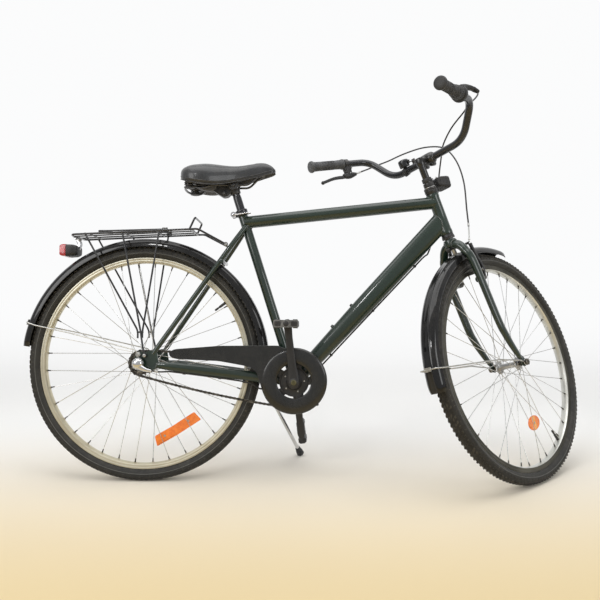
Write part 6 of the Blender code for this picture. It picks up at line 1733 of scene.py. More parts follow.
make_fork()
locknut = Form()
locknut.add(turned([(0.0112, 0.5809), (0.0186, 0.5809), (0.0192, 0.5816), (0.0192, 0.5862),
                    (0.0186, 0.5869), (0.0112, 0.5869)], "Z", 56, loop=True))
locknut.add(turned([(0.0112, 0.5872), (0.0176, 0.5872), (0.0178, 0.588), (0.0176, 0.5888),
                    (0.0112, 0.5888)], "Z", 56, loop=True), look=1)
rings = []
for radius, height in ((0.016, 0.589), (0.0165, 0.5896), (0.0165, 0.6018), (0.0156, 0.6028),
                       (0.0112, 0.603)):
    ring = []
    for k in range(32):
        angle = TAU * k / 32
        flat = 0.015 / max(abs(cos((angle + TAU / 16) % (TAU / 8) - TAU / 16)), 0.5)
        ring.append(Vector(spun(min(radius, flat) if radius > 0.0155 else radius, height, angle, "Z")))
    rings.append(ring)
locknut.add(bridge_rings(rings, caps=False))
locknut.piece("headset_locknut", "steering", [SATIN_BLACK, ZINC], STEER)

# %% [markdown]
# The stem is a quill: a round post that goes down into the steerer, a short reach, and a split
# clamp with two bolts. The handlebar is one smooth bent tube, so a sweep along rounded corners is
# its true form.

# %% Stem and handlebar
BAR_AT = (0.0398, 0, 0.6754)
stem = Form()
stem.add(turned([(0, 0.5352), (0.0104, 0.5352), (0.011, 0.536), (0.011, 0.656), (0.0118, 0.66),
                 (0.0134, 0.664), (0.0136, 0.67), (0.0134, 0.68), (0.012, 0.6838), (0.0092, 0.6848),
                 (0.006, 0.685), (0.0052, 0.6848), (0.005, 0.6815), (0, 0.6815)], "Z", 48))
reach_path = flowing([(-0.002, 0, 0.673), (0.01, 0, 0.6742), (0.024, 0, 0.675), BAR_AT], 6)
tall = [0.0122] * 6 + [0.0116] * 7 + [0.0128] * 6
wide = [0.0122] * 6 + [0.0125] * 7 + [0.0165] * 6
stem.add(tube(reach_path, tall, 32, wide, (0, 0, 1), 2.3))
shell = both_ways([(0.0124, 0.027), (0.0148, 0.0262), (0.0176, 0.0228), (0.019, 0.015), (0.0192, 0)])
stem.add(turned(shell, "Y", 56, loop=True), moved(*BAR_AT))
for side in (-1, 1):
    spot = moved(BAR_AT[0] + 0.001, side * 0.013, BAR_AT[2] - 0.018)
    stem.add(pin(0.0066, -0.011, 0.012, "X", 28, 0.002), spot)
    stem.add(ring_part(0.0038, 0.0019, 0.011, 0.0134, "X", 24, 0.0004), spot)
stem.add(screw(0.6815, 0.0044, 0.0028, 0.002, 0.002), None, 1)
stem.piece("stem_dressed", "steering", [GLOSS_PLASTIC, ZINC], STEER, "stem", "black_paint")

BAR_BEND = Vector((0.0398, 0.1373, 0.6754))
BAR_RISE = Vector((0.033, 0.2083, 0.7636))
BAR_END = Vector((-0.18, 0.2611, 0.7879))


def bar_line():
    """The bar's centre line from the right end to the left end."""
    left = [BAR_BEND, BAR_RISE, BAR_END]
    return rounded(sided(left, -1)[::-1] + left, [0, 0.036, 0.04, 0.04, 0.036, 0], 14)


bar = Form()
bar.add(tube(bar_line(), 0.011, 36))
bar.add(turned(both_ways([(0.0108, 0.032), (0.0118, 0.0312), (0.0124, 0.029)]), "Y", 48, loop=True),
        moved(*BAR_AT))
bar.piece("handlebar_bent", "steering", ENAMEL, STEER, "handlebar", "black_paint")


def bar_frame(side, from_end):
    """A frame on the straight end of the bar; its Z runs forward along it."""
    end, rise = sided((BAR_END, BAR_RISE), side)
    run = (rise - end).normalized()
    across = Vector((0, 0, 1)).cross(run).normalized()
    return frame_from(across, run.cross(across), run, end + run * from_end)


# %% [markdown]
# The grips are moulded with rows of soft ribs and palm waves, which the profile carries itself.
# Each has a rounded closed end and a flange towards the middle. The left one is drawn in a
# lighter grey, which is painted light: it stands for the light that falls on it.

# %% Grips
def make_grip(name, side, length, look):
    """A ribbed rubber grip."""
    form = Form()
    profile = [(0, -0.006), (0.007, -0.0059), (0.0128, -0.0054), (0.0168, -0.0038), (0.0184, -0.0012),
               (0.0187, 0.0024), (0.0172, 0.0062)]
    count = int((length - 0.017) / 0.0031)
    for k in range(count):
        z = 0.008 + k * 0.0031
        wave = 0.014 + 0.0004 * sin(z / length * TAU * 1.5 - 0.6)
        wave += 0.0022 * exp(-z / 0.014) + 0.0012 * exp(-(length - z) / 0.02)
        profile += [(wave - 0.0006, z), (wave, z + 0.0007), (wave, z + 0.0019),
                    (wave - 0.0006, z + 0.0025)]
    profile += [(0.0156, length - 0.007), (0.0168, length - 0.005), (0.017, length - 0.0008),
                (0.0166, length), (0.0112, length)]
    form.add(turned(profile, "Z", 60))
    for k in range(24):
        form.add(block((0.001, 0.0007, length * 0.4), (0.0141, 0, length * 0.5), 0.0002),
                 turned_by(15 * k + 7.5, "Z"))
    return form.piece(name + "_ribbed", "steering", look, STEER @ bar_frame(side, 0), name, "rubber",
                      sharp=30)


# The left grip's lighter grey is painted light.
make_grip("grip_left", 1, 0.118, LIT_GRIP_RUBBER)
make_grip("grip_right", -1, 0.096, GRIP_RUBBER)

# %% [markdown]
# ## Controls
#
# The brake lever is held by a clamp on the left grip end of the bar. Its blade is cast, thin and
# ball-ended, and turns on a pin. A barrel adjuster takes the cable. The blade is its own body, so
# it can be squeezed.

# %% Brake lever
LEVER_ON_BAR = bar_frame(1, 0.129)
LEVER_PLACE = STEER @ LEVER_ON_BAR
LEVER_PIN = moved(0, -0.0325, 0.006)
mount = Form()
mount.add(turned(both_ways([(0.0113, 0.007), (0.0146, 0.007), (0.0155, 0.006)]), "Z", 44, loop=True))
horn = [(0, -0.012, 0.001), (0, -0.021, 0.0015), (0, -0.03, 0.002), (0, -0.039, 0.0025)]
tall = [0.014] * 7 + [0.0128] * 6 + [0.012] * 6
wide = [0.0104] * 7 + [0.0098] * 6 + [0.0088] * 6
mount.add(tube(flowing(horn, 6), tall, 28, wide, (0, 0, 1), 3))
snout = [(0, -0.0385, -0.019), (0, -0.0395, -0.008), (0, -0.0392, 0.006), (0, -0.0376, 0.019),
         (0, -0.0366, 0.03)]
snout_size = [(0.006, 0.0058), (0.0098, 0.0082), (0.0104, 0.0088), (0.008, 0.0072), (0.005, 0.0048)]
mount.add(lofted(snout, snout_size, 6, 28, (0, 1, 0), 2.3))
mount.add(pin(0.0024, -0.009, 0.009, "X", 20), LEVER_PIN, 1)
barrel_way = turn_to(Vector((0, 0.0055, 0.025)), (0, -0.037, 0.023))
knurl = [(0, 0), (0.0036, 0)]
for k in range(9):
    knurl += [(0.0042, 0.001 + k * 0.001), (0.0038, 0.0015 + k * 0.001)]
knurl += [(0.0042, 0.0108), (0.0036, 0.0118), (0.003, 0.0122), (0.003, 0.0215), (0.0034, 0.022),
          (0.0034, 0.0246), (0.0026, 0.0252), (0, 0.0252)]
mount.add(turned(knurl, "Z", 30), barrel_way, 1)
mount.add(pin(0.0024, 0.014, 0.0172, "Z", 20), moved(-0.006, -0.016, 0), 1)
mount.piece("brake_lever_mount", "steering", [SATIN_BLACK, ZINC], LEVER_PLACE, "brake_lever_clamp",
            "black_plastic")

blade = Form()
line = rounded([(0, -0.002, -0.0015), (0, -0.011, -0.022), (0, -0.011, -0.06), (0, -0.0225, -0.106)],
               [0, 0.012, 0.03, 0], 10)
count = len(line)
blade.add(tube(line, graded(0.0038, 0.0032, count), 24, graded(0.0062, 0.0048, count), (1, 0, 0), 2.8))
blade.add(turned(both_ways([(0, 0.005), (0.0046, 0.005), (0.0052, 0.0044)]), "X", 30))
blade.add(turned([(0, -0.0062), (0.003, -0.0054), (0.0054, -0.0028), (0.006, 0), (0.0052, 0.0032),
                  (0.0036, 0.0052), (0, 0.0056)], "Z", 30), moved(0, -0.0228, -0.1072))
blade.piece("brake_lever_blade", "brake_lever", SATIN_BLACK, LEVER_PLACE @ LEVER_PIN, "brake_lever",
            "black_paint")

# %% [markdown]
# The gear shifter is a twist collar beside the right grip, with a fixed housing and a spout for
# the cable. The collar has finger ridges, real relief that catches the light.

# %% Shifter
SHIFTER_ON_BAR = bar_frame(-1, 0.0963)
SHIFT_PLACE = STEER @ SHIFTER_ON_BAR
SHIFT_SPOUT = [Vector(p) for p in ((-0.01, 0.012, 0.036), (-0.016, 0.0165, 0.056),
                                   (-0.026, 0.0125, 0.08), (-0.033, 0.004, 0.1))]
collar = Form()
collar.add(turned([(0.0113, 0.0004), (0.0172, 0.0004), (0.018, 0.0016), (0.0184, 0.012),
                   (0.0192, 0.022), (0.0203, 0.0262), (0.0205, 0.0279), (0.0113, 0.0279)], "Z", 60,
                  loop=True))
finger_rib = tube([(0.0174, 0, 0.003), (0.0184, 0, 0.013), (0.019, 0, 0.0215)],
                  [0.0009, 0.0012, 0.0007], 8)
for k in range(20):
    collar.add(finger_rib, turned_by(18 * k, "Z"))
collar.piece("shifter_collar_ridged", "shifter_collar", GRIP_RUBBER, SHIFT_PLACE, "shifter_collar",
             "rubber")

housing = Form()
housing.add(turned([(0.0113, 0.0283), (0.0219, 0.0283), (0.0225, 0.029), (0.0232, 0.035),
                    (0.0235, 0.038), (0.0228, 0.0418), (0.0214, 0.0452), (0.02, 0.0474), (0.019, 0.048),
                    (0.0113, 0.048)], "Z", 60, loop=True))
housing.add(tube(flowing(SHIFT_SPOUT, 8), graded(0.01, 0.0052, 25), 24))
start, end = SHIFT_SPOUT[2:]
for k in range(5):
    ribbed = ring_part(0.0074 - 0.0003 * k, 0.0034, -0.0006, 0.0006, "Z", 20, 0.0002)
    housing.add(ribbed, turn_to(end - start, along(start, end, 0.2 + 0.15 * k)))
housing.add(pin(0.0022, -0.0008, 0.001, "Z", 20), moved(-0.0175, 0, 0.0478), 1)
housing.piece("shifter_housing_dressed", "steering", [PLASTIC, ZINC], SHIFT_PLACE, "shifter_housing",
              "black_plastic")

# %% [markdown]
# The bell is a small black dome on a band clamp. A sprung lever beside it strikes from outside.

# %% Bell
BELL_PLACE = STEER @ moved(BAR_AT[0], 0.085, BAR_AT[2])
bell = Form()
bell.add(turned(both_ways([(0.0112, 0.006), (0.0126, 0.006), (0.0131, 0.0052)]), "Y", 44, loop=True))
bell.add(pin(0.0058, 0.012, 0.02, "Z", 28))
bell.add(turned([(0, 0.0136), (0.015, 0.0138), (0.016, 0.0146), (0.0166, 0.02), (0.0168, 0.028),
                 (0.0167, 0.033), (0.016, 0.0356), (0.0142, 0.0374), (0.01, 0.0386), (0.005, 0.0392),
                 (0, 0.0393)], "Z", 56), look=1)
bell.add(turned([(0, 0.0388), (0.0028, 0.0392), (0.0026, 0.04), (0, 0.0402)], "Z", 24))
bell.add(block((0.006, 0.009, 0.0034), (0, -0.019, 0.029), 0.0006))
bell.add(pin(0.0018, 0.02, 0.0279, "Z", 18), moved(0, -0.021, 0))
bell.add(pin(0.003, -0.005, 0.005, "Y", 20), moved(-0.006, 0, -0.013))
bell.piece("bell_dome", "steering", [PLASTIC, ENAMEL], BELL_PLACE, "bell_body", "black_plastic")
striker = Form()
striker.add(ring_part(0.004, 0.0019, -0.0018, 0.0018, "Z", 28, 0.0003))
arm = oblong(0.002, 0.025, -0.0022, 0.0022, 0.0008)
striker.add(plate(arm, -0.001, 0.001, "Z", 0.0003))
striker.add(block((0.004, 0.013, 0.017), (0.025, 0, 0), 0.0014))
striker.piece("bell_striker", "bell_lever", SATIN_BLACK, BELL_PLACE @ moved(0, -0.021, 0.0235),
              "bell_lever", "black_plastic")

# %% [markdown]
# ## Front fender and its stay
#
# A fender is a thin rolled section carried round an arc. This one has two raised ribs, rolled
# hems, a lug under the crown, a bolt through it, and a wire stay with flattened eyes.

# %% Fender tools
FENDER_HALF = 0.027
FENDER_THICK = 0.0013
FENDER_ARCH = ((-1, 0), (-0.985, 0.16), (-0.95, 0.4), (-0.88, 0.62), (-0.74, 0.8), (-0.58, 0.905),
               (-0.5, 0.96), (-0.42, 0.985), (-0.34, 0.955), (-0.2, 0.965), (0, 0.97), (0.2, 0.965),
               (0.34, 0.955), (0.42, 0.985), (0.5, 0.96), (0.58, 0.905), (0.74, 0.8), (0.88, 0.62),
               (0.95, 0.4), (0.985, 0.16), (1, 0))


def make_fender(form, centre, start, end, crown, skirt):
    """A rolled fender: one closed shell, swept round the wheel, with round hems."""
    rings = []
    steps = 96
    for k in range(steps + 1):
        share = k / steps
        angle = start + (end - start) * share
        near_end = min(share, 1 - share) * (end - start) / 3
        narrow = 0.8 + 0.2 * sqrt(min(1, near_end)) if near_end < 1 else 1
        section = [(skirt + (crown - skirt) * rise, across * FENDER_HALF) for across,
                   rise in FENDER_ARCH]
        for across, rise in reversed(FENDER_ARCH):
            inside = skirt + (crown - skirt) * rise - FENDER_THICK * (0.35 + 0.65 * rise)
            section.append((inside, across * (FENDER_HALF - FENDER_THICK)))
        rings.append([polar(centre, angle, radius, y * narrow) for radius, y in section])
    form.add(bridge_rings(rings))
    for side in (-1, 1):
        angles = [start + (end - start) * share for share in graded(0.012, 0.988, 91)]
        hem = [polar(centre, angle, skirt + 0.0002, side * (FENDER_HALF - 0.0006)) for angle in angles]
        form.add(tube(hem, 0.0011, 8))


FRONT_CENTRE = Vector((FORK_RAKE, 0, 0))
front = Form()
make_fender(front, FRONT_CENTRE, 62, 175, 0.377, 0.354)
lug_at = polar(FRONT_CENTRE, 98.6, 0.374)
lug_way = turn_to(lug_at - FRONT_CENTRE, lug_at)
front.add(turned([(0, 0), (0.0068, 0.0002), (0.007, 0.001), (0.007, 0.019), (0.006, 0.02), (0, 0.02)],
                 "Z", 32), lug_way, 1)
front.add(plate(oblong(-0.015, 0.015, -0.0085, 0.0085, 0.004), 0.001, 0.0026, "Z", 0.0004), lug_way, 1)
for x in (-0.0105, 0.0105):
    front.add(turned([(0, 0.0024), (0.0026, 0.0026), (0.0024, 0.0036), (0.0014, 0.0042), (0, 0.0043)],
                     "Z", 20), lug_way @ moved(x, 0, 0), 1)
front.piece("front_fender_rolled", "steering", [FENDER_BLACK, ZINC], STEER, "front_fender",
            "black_paint", sharp=32)

crown_bolt = Form()
crown_washer = ring_part(0.0075, 0.003, -0.0222, -0.0208, "X", 28, 0.0003)
for part in (hexagon(0.0052, -0.027, -0.0222, "X"), crown_washer,
             pin(0.0029, -0.029, -0.018, "X", 18, 0.0005)):
    crown_bolt.add(part, moved(0, 0, 0.3895))
crown_bolt.piece("front_crown_bolt", "steering", SATIN_BLACK, STEER)

# %% [markdown]
# The stay is one wire round the wheel: from an eye at one end of the axle, up and across the
# fender under a small bracket, and down to the other eye.

# %% Front stay
FRONT_STAY_ANGLE = 165


def stay_wire(half, radius, bend):
    """A bent wire that runs down both sides of a wheel."""
    return tube(rounded(sided(half, -1) + sided(half, 1)[::-1], bend, 5), radius, 14)


front_stay = Form()
front_half = [(0.0525, 0.0594, 0.003), (0.038, 0.0594, 0.012), (-0.05, 0.05, 0.042),
              polar(FRONT_CENTRE, FRONT_STAY_ANGLE, 0.348, 0.033),
              polar(FRONT_CENTRE, FRONT_STAY_ANGLE, 0.38, 0.027),
              polar(FRONT_CENTRE, FRONT_STAY_ANGLE, 0.3808, 0.014)]
front_stay.add(stay_wire(front_half, 0.002, 0.0045))
for side in (-1, 1):
    eye = on_side(side, [(0.0049, 0.0579), (0.009, 0.0579), (0.0095, 0.0584), (0.0095, 0.0604),
                         (0.009, 0.0609), (0.0049, 0.0609)])
    front_stay.add(turned(eye, "Y", 36, loop=True), moved(FORK_RAKE, 0, 0))
bracket_way = at(polar(FRONT_CENTRE, FRONT_STAY_ANGLE, 0.3808)) @ turned_by(-FRONT_STAY_ANGLE, "Y")
front_stay.add(block((0.0022, 0.025, 0.012), (0.0006, 0, 0), 0.0007), bracket_way)
for side in (-1, 1):
    rivet = turned([(0, 0.0016), (0.003, 0.0017), (0.0028, 0.003), (0.0014, 0.0036), (0, 0.0037)], "X",
                   20)
    front_stay.add(rivet, bracket_way @ moved(0, side * 0.0095))
front_stay.piece("front_stay_wire", "steering", ZINC, STEER, "front_fender_stay", "steel")

# %% [markdown]
# ## Front brake
#
# Two arms turn on the fork's bosses, and the cable pulls their upper ends together. Each arm has
# its return spring, and its pad sits on a threaded post with washers and a nut.

# %% Brake arms
def brake_arm(name, body, side):
    """One arm with its pad, posts and return spring."""
    form = Form()
    place = STEER @ moved(0.034, side * BRAKE_PIVOT.y, BRAKE_PIVOT.z)
    form.add(turned(both_ways([(0.0041, 0.008), (0.0072, 0.008), (0.008, 0.0072)]), "X", 36, loop=True))
    line = flowing(sided([(0, 0.003, 0.004), (0.003, 0.006, 0.03), (0.003, 0, 0.07),
                          (0.003, -0.004, 0.1098)], side), 8)
    form.add(tube(line, 0.0048, 24, graded(0.0072, 0.0048, len(line)), (1, 0, 0), 3.4))
    start = Vector((0, side * 0.006, 0.024))
    end = Vector((-0.008, -side * 0.02, 0.024))
    form.add(tube([start, end], 0.003, 18), look=1)
    way = turn_to(end - start, start)
    form.add(ring_part(0.0066, 0.0029, 0.005, 0.0078, "Z", 24, 0.0004), way, 1)
    form.add(ring_part(0.0072, 0.0029, 0.0082, 0.0094, "Z", 24, 0.0003), way, 1)
    form.add(hexagon(0.0048, -0.004, 0.0004, "Z"), way, 1)
    holder = soft_outline([(-0.035, 0.0185), (0.02, 0.0185), (0.021, 0.0232), (0.02, 0.0282),
                           (-0.035, 0.0282), (-0.036, 0.0232)], 0.0026)
    form.add(plate(holder, -side * 0.0184, -side * 0.0212, "Y", 0.0008), look=2)
    shoe = [(-0.0358, 0.0182), (0.0208, 0.0182), (0.0208, 0.0282), (-0.0358, 0.0282)]
    form.add(plate(soft_outline(shoe, 0.0022), -side * 0.0212, -side * 0.027, "Y", 0.0006), look=2)
    for k in range(5):
        form.add(block((0.0012, 0.0004, 0.0078), (-0.03 + 0.011 * k, -side * 0.0271, 0.0232), 0.0001),
                 look=2)
    spring = [(-0.006, 0.005, 0.006), (-0.0066, 0.0064, 0.03), (-0.006, 0.004, 0.056),
              (-0.003, 0.0015, 0.072)]
    form.add(tube(flowing(sided(spring, side), 6), 0.0009, 8), look=1)
    form.add(pin(0.003, 0.0072, 0.0098, "X", 20, 0.0005), moved(0, -side * 0.003, 0.106), 1)
    form.add(hexagon(0.005, 0.0074, 0.0092, "X"), look=1)
    return form.piece(name + "_dressed", body, [SATIN_BLACK, ZINC, TREAD_RUBBER], place, name,
                      "black_paint")


brake_arm("brake_arm_left", "brake_arm_left", 1)
brake_arm("brake_arm_right", "brake_arm_right", -1)

# %% [markdown]
# ## Drive
#
# The chain is built link by link. Its rollers sit on the pitch line, which wraps both chain wheels
# and hangs a little below. The teeth are turned so that each one comes up between two rollers,
# the way a chain seats, and that is the hardest thing to get right here.

# %% Pitch line
PITCH = 0.0127
RING_TEETH = 38
SPROCKET_TEETH = 18
CRANK_ANGLE = 96.3
CHAIN_LINE = -0.046
CHAIN_LINKS = 100
CHAIN_SAG = 0.0075
CRANKSET = BIKE @ at(BB) @ turned_by(-CRANK_ANGLE, "Y")


def pitch_radius(teeth):
    """The radius on which the rollers lie."""
    return PITCH / 2 / sin(pi / teeth)


def chain_spots():
    """Every roller's place: round the sprocket, along the top, round the ring, back below."""
    small, big = pitch_radius(SPROCKET_TEETH), pitch_radius(RING_TEETH)
    span = BB - REAR_AXLE
    base = degrees(atan2(span.z, span.x))
    lift = degrees(asin((big - small) / span.length))
    top, bottom = base + 90 + lift, base - 90 - lift
    wrap = 360 - (top - bottom)
    line = [polar(REAR_AXLE, bottom - wrap * k / 60, small, CHAIN_LINE) for k in range(61)]
    line += [polar(BB, top + (bottom - top) * k / 60, big, CHAIN_LINE) for k in range(61)]
    start, end = line[-1].copy(), line[0].copy()
    for k in range(1, 60):
        t = k / 60
        line.append(start.lerp(end, t) + Vector((0, 0, -4 * CHAIN_SAG * t * (1 - t))))
    line.append(line[0])
    return spread(line, CHAIN_LINKS + 1)[:-1]


ROLLERS = chain_spots()


def tooth_phase(centre, teeth):
    """The turn that puts the teeth midway between the rollers on a wheel."""
    radius = pitch_radius(teeth)
    total = Vector((0, 0))
    for first, second in zip(ROLLERS, ROLLERS[1:] + ROLLERS[:1]):
        gaps = [abs(Vector((p.x - centre.x, p.z - centre.z)).length - radius) for p in (first, second)]
        if max(gaps) < 4e-4:
            middle = (first + second) / 2 - centre
            angle = atan2(middle.z, middle.x)
            total += Vector((cos(angle * teeth), sin(angle * teeth)))
    return degrees(atan2(total.y, total.x)) / teeth


RING_PHASE = CRANK_ANGLE - tooth_phase(BB, RING_TEETH)
SPROCKET_PHASE = -tooth_phase(REAR_AXLE, SPROCKET_TEETH)

# %% [markdown]
# A link is a pair of side plates over two rollers, by turns the inner and the outer pair. The
# outer plates carry the riveted ends of the pins.

# %% Chain
def chain_link(form, first, second, inner):
    """A pair of side plates round two rollers."""
    run = second - first
    slope = degrees(atan2(run.z, run.x))
    middle = (first + second) / 2
    way = at(middle) @ turned_by(-slope, "Y")
    half = run.length / 2
    outline = arc((half, 0), 0.004, -66, 66, 7) + [(0, 0.0027)]
    outline += arc((-half, 0), 0.004, 114, 246, 7) + [(0, -0.0027)]
    low, high = (0.0013, 0.002) if inner else (0.0021, 0.0028)
    for side in (-1, 1):
        form.add(plate(outline, *sorted((side * low, side * high)), "Y", 0.00022), way)
        if not inner:
            for end in (-half, half):
                rivet = turned(on_side(side, [(0, 0.0027), (0.0017, 0.0028), (0.0015, 0.0032),
                                              (0, 0.0033)]), "Y", 12)
                form.add(rivet, way @ moved(end, 0, 0), 1)


chain = Form()
for k, spot in enumerate(ROLLERS):
    chain.add(turned(both_ways([(0, 0.0013), (0.0036, 0.0013), (0.0038, 0.001)]), "Y", 16), at(spot),
              look=1)
    chain_link(chain, spot, ROLLERS[(k + 1) % len(ROLLERS)], k % 2 == 0)
chain.piece("roller_chain", "frame_body", [OILED, DARK_STEEL], BIKE, "chain", "chain_steel", sharp=30)
print("chain:", len(ROLLERS), "rollers, ring phase", round(RING_PHASE, 3))

# %% [markdown]
# Chain wheels have round seats for the rollers and short pointed teeth, chamfered at the tips.

# %% Chain wheels
TOOTH = ((-0.8, -0.0042), (-0.4, -0.003), (-0.26, 0), (-0.1, 0.0022), (0.1, 0.0022), (0.26, 0),
         (0.4, -0.003), (0.8, -0.0042))


def tooth_outline(teeth):
    """The outline of a chain wheel: roller seats joined by pointed teeth."""
    radius = pitch_radius(teeth)
    half_step = pi / teeth
    out = []
    for k in range(teeth):
        tooth = TAU * k / teeth
        for share, out_by in TOOTH:
            angle = tooth + share * half_step
            out.append(((radius + out_by) * cos(angle), (radius + out_by) * sin(angle)))
    return out


def chain_wheel(form, teeth, hole, phase):
    """A flat toothed ring: the outline outside, a round hole inside."""
    outline = tooth_outline(teeth)
    rings = []
    for height, grow in ((-0.001, -0.0005), (-0.0006, 0), (0.0006, 0), (0.001, -0.0005)):
        scale = 1 + grow / pitch_radius(teeth)
        rings.append([Vector((x * scale, CHAIN_LINE + height, z * scale)) for x, z in outline])
    for height in (0.001, -0.001):
        rings.append([wheel_spot(atan2(z, x), hole, CHAIN_LINE + height) for x, z in outline])
    form.add(bridge_rings(rings, caps=False, loop=True), turned_by(phase, "Y"))


sprocket = Form()
chain_wheel(sprocket, SPROCKET_TEETH, 0.0216, SPROCKET_PHASE)
sprocket.add(ring_part(0.0245, 0.0217, CHAIN_LINE - 0.0018, CHAIN_LINE - 0.001, "Y", 48, 0.0003),
             look=1)
sprocket.piece("rear_sprocket_toothed", "rear_sprocket", [OILED, ZINC], REAR_HUB, "rear_sprocket",
               "chain_steel", sharp=28)

ring = Form()
chain_wheel(ring, RING_TEETH, 0.0642, RING_PHASE)
ring.add(turned([(0.0094, -0.056), (0.019, -0.056), (0.02, -0.055), (0.0215, -0.05), (0.024, -0.0478),
                 (0.03, -0.0472), (0.0385, -0.0474), (0.0404, -0.0488), (0.0424, -0.049),
                 (0.0436, -0.0478), (0.0436, -0.0446), (0.0226, -0.044), (0.0094, -0.044)], "Y", 72,
                loop=True))
for k in range(5):
    arm = soft_outline(both_ways([(0.039, 0.0125), (0.044, 0.0118), (0.0676, 0.0092)]), 0.003, 4)
    turn = turned_by(72 * k + 20, "Y")
    ring.add(plate(arm, CHAIN_LINE - 0.0016, CHAIN_LINE + 0.0014, "Y", 0.0004), turn)
    for place, size in ((0.056, 0.0032), (0.03, 0.0022)):
        ring.add(turned([(0, -0.048), (size * 0.7, -0.0481), (size, -0.0476), (size, -0.046),
                         (0, -0.046)], "Y", 18), turn @ moved(place, 0, 0), 1)
ring.piece("chainring_toothed", "crankset", [SATIN_BLACK, ZINC], CRANKSET, "chainring", "black_paint",
           sharp=28)

# %% [markdown]
# The crank arms are forged, so they are lofted: deep and rounded at the spindle, slim along the
# arm, and flared outwards at the pedal. A pressed steel cap hides the right spindle bolt.

# %% Crank arms
CRANK = ((-0.019, 0.0058, 0.059, 0.07), (-0.0175, 0.0095, 0.0575, 0.0715),
         (-0.014, 0.0135, 0.0565, 0.073), (-0.007, 0.0162, 0.0565, 0.0741), (0, 0.017, 0.0565, 0.0745),
         (0.01, 0.0166, 0.0567, 0.0743), (0.02, 0.0155, 0.0572, 0.074), (0.031, 0.0143, 0.0592, 0.074),
         (0.042, 0.0133, 0.0612, 0.0741), (0.085, 0.0116, 0.0634, 0.0753),
         (0.13, 0.0105, 0.0655, 0.0765), (0.145, 0.0112, 0.0662, 0.0775), (0.16, 0.012, 0.067, 0.0785),
         (0.17, 0.0118, 0.0676, 0.0788), (0.177, 0.0102, 0.0681, 0.0787),
         (0.1815, 0.0076, 0.0687, 0.0782), (0.184, 0.0045, 0.0694, 0.0775))


CRANK_LENGTH = 0.17


def crank_arm(name, side):
    """A crank arm with its spindle eye and pedal axle."""
    sign = 1 if side < 0 else -1
    form = Form()
    rings = []
    for reach, half, near, far in CRANK:
        middle, thick = (near + far) / 2, (far - near) / 2
        circle = [squared(TAU * k / 28, 0.55, 0.62) for k in range(28)]
        rings.append([Vector((sign * reach, side * (middle + s * thick), c * half)) for c, s in circle])
    form.add(bridge_rings(rings))
    eye = [(0, 0.0738), (0.0112, 0.0738), (0.0118, 0.0744), (0.0118, 0.075), (0.011, 0.0755),
           (0, 0.0755)]
    cap = [(0, 0.075), (0.0078, 0.0752), (0.008, 0.076), (0.0074, 0.0765), (0.0048, 0.0767),
           (0.0046, 0.076), (0, 0.076)]
    form.add(turned(on_side(side, eye), "Y", 40))
    form.add(turned(on_side(side, cap), "Y", 40), look=1)
    axle = [(0, 0.07), (0.0084, 0.07), (0.0085, 0.0786), (0.0085, 0.0852), (0.008, 0.0858),
            (0.0052, 0.0862), (0.0045, 0.174), (0, 0.1745)]
    form.add(turned(on_side(side, axle), "Y", 32), moved(sign * CRANK_LENGTH), 2)
    form.add(hexagon(0.0073, *sorted((side * 0.08, side * 0.0845))), moved(sign * CRANK_LENGTH), 2)
    return form.piece(name + "_forged", "crankset", [SATIN_BLACK, BRASS, ZINC], CRANKSET, name,
                      "black_paint", sharp=35)


crank_arm("crank_arm_right", -1)
crank_arm("crank_arm_left", 1)
spindle = Form()
spindle.add(turned(both_ways([(0, 0.0704), (0.008, 0.0704), (0.0085, 0.064)]), "Y", 40))
spindle.piece("crank_spindle_turned", "crankset", ZINC, CRANKSET, "crank_spindle", "steel")

# %% [markdown]
# The pedals are two moulded treads held by end plates round a barrel. Each tread has rows of
# small blocks, two amber reflectors face fore and aft, and the barrel ends in a dust cap.

# %% Pedals
PEDAL_FRAME = finish("pedal_frame", (0.1, 0.1, 0.1), (0.17, 0.17, 0.168), 0.42, scale=1200, pebble=0.5,
                     metallic=0.6, depth=0.00004, worn=(0.4, 0.4, 0.38), wear=0.6, dusty=0.25, cloud=30)
PEDAL_AMBER = finish("pedal_amber", (0.5, 0.16, 0.015), (0.8, 0.3, 0.04), 0.2, scale=420, pebble=1.6,
                     depth=0.0003, coat=0.8)


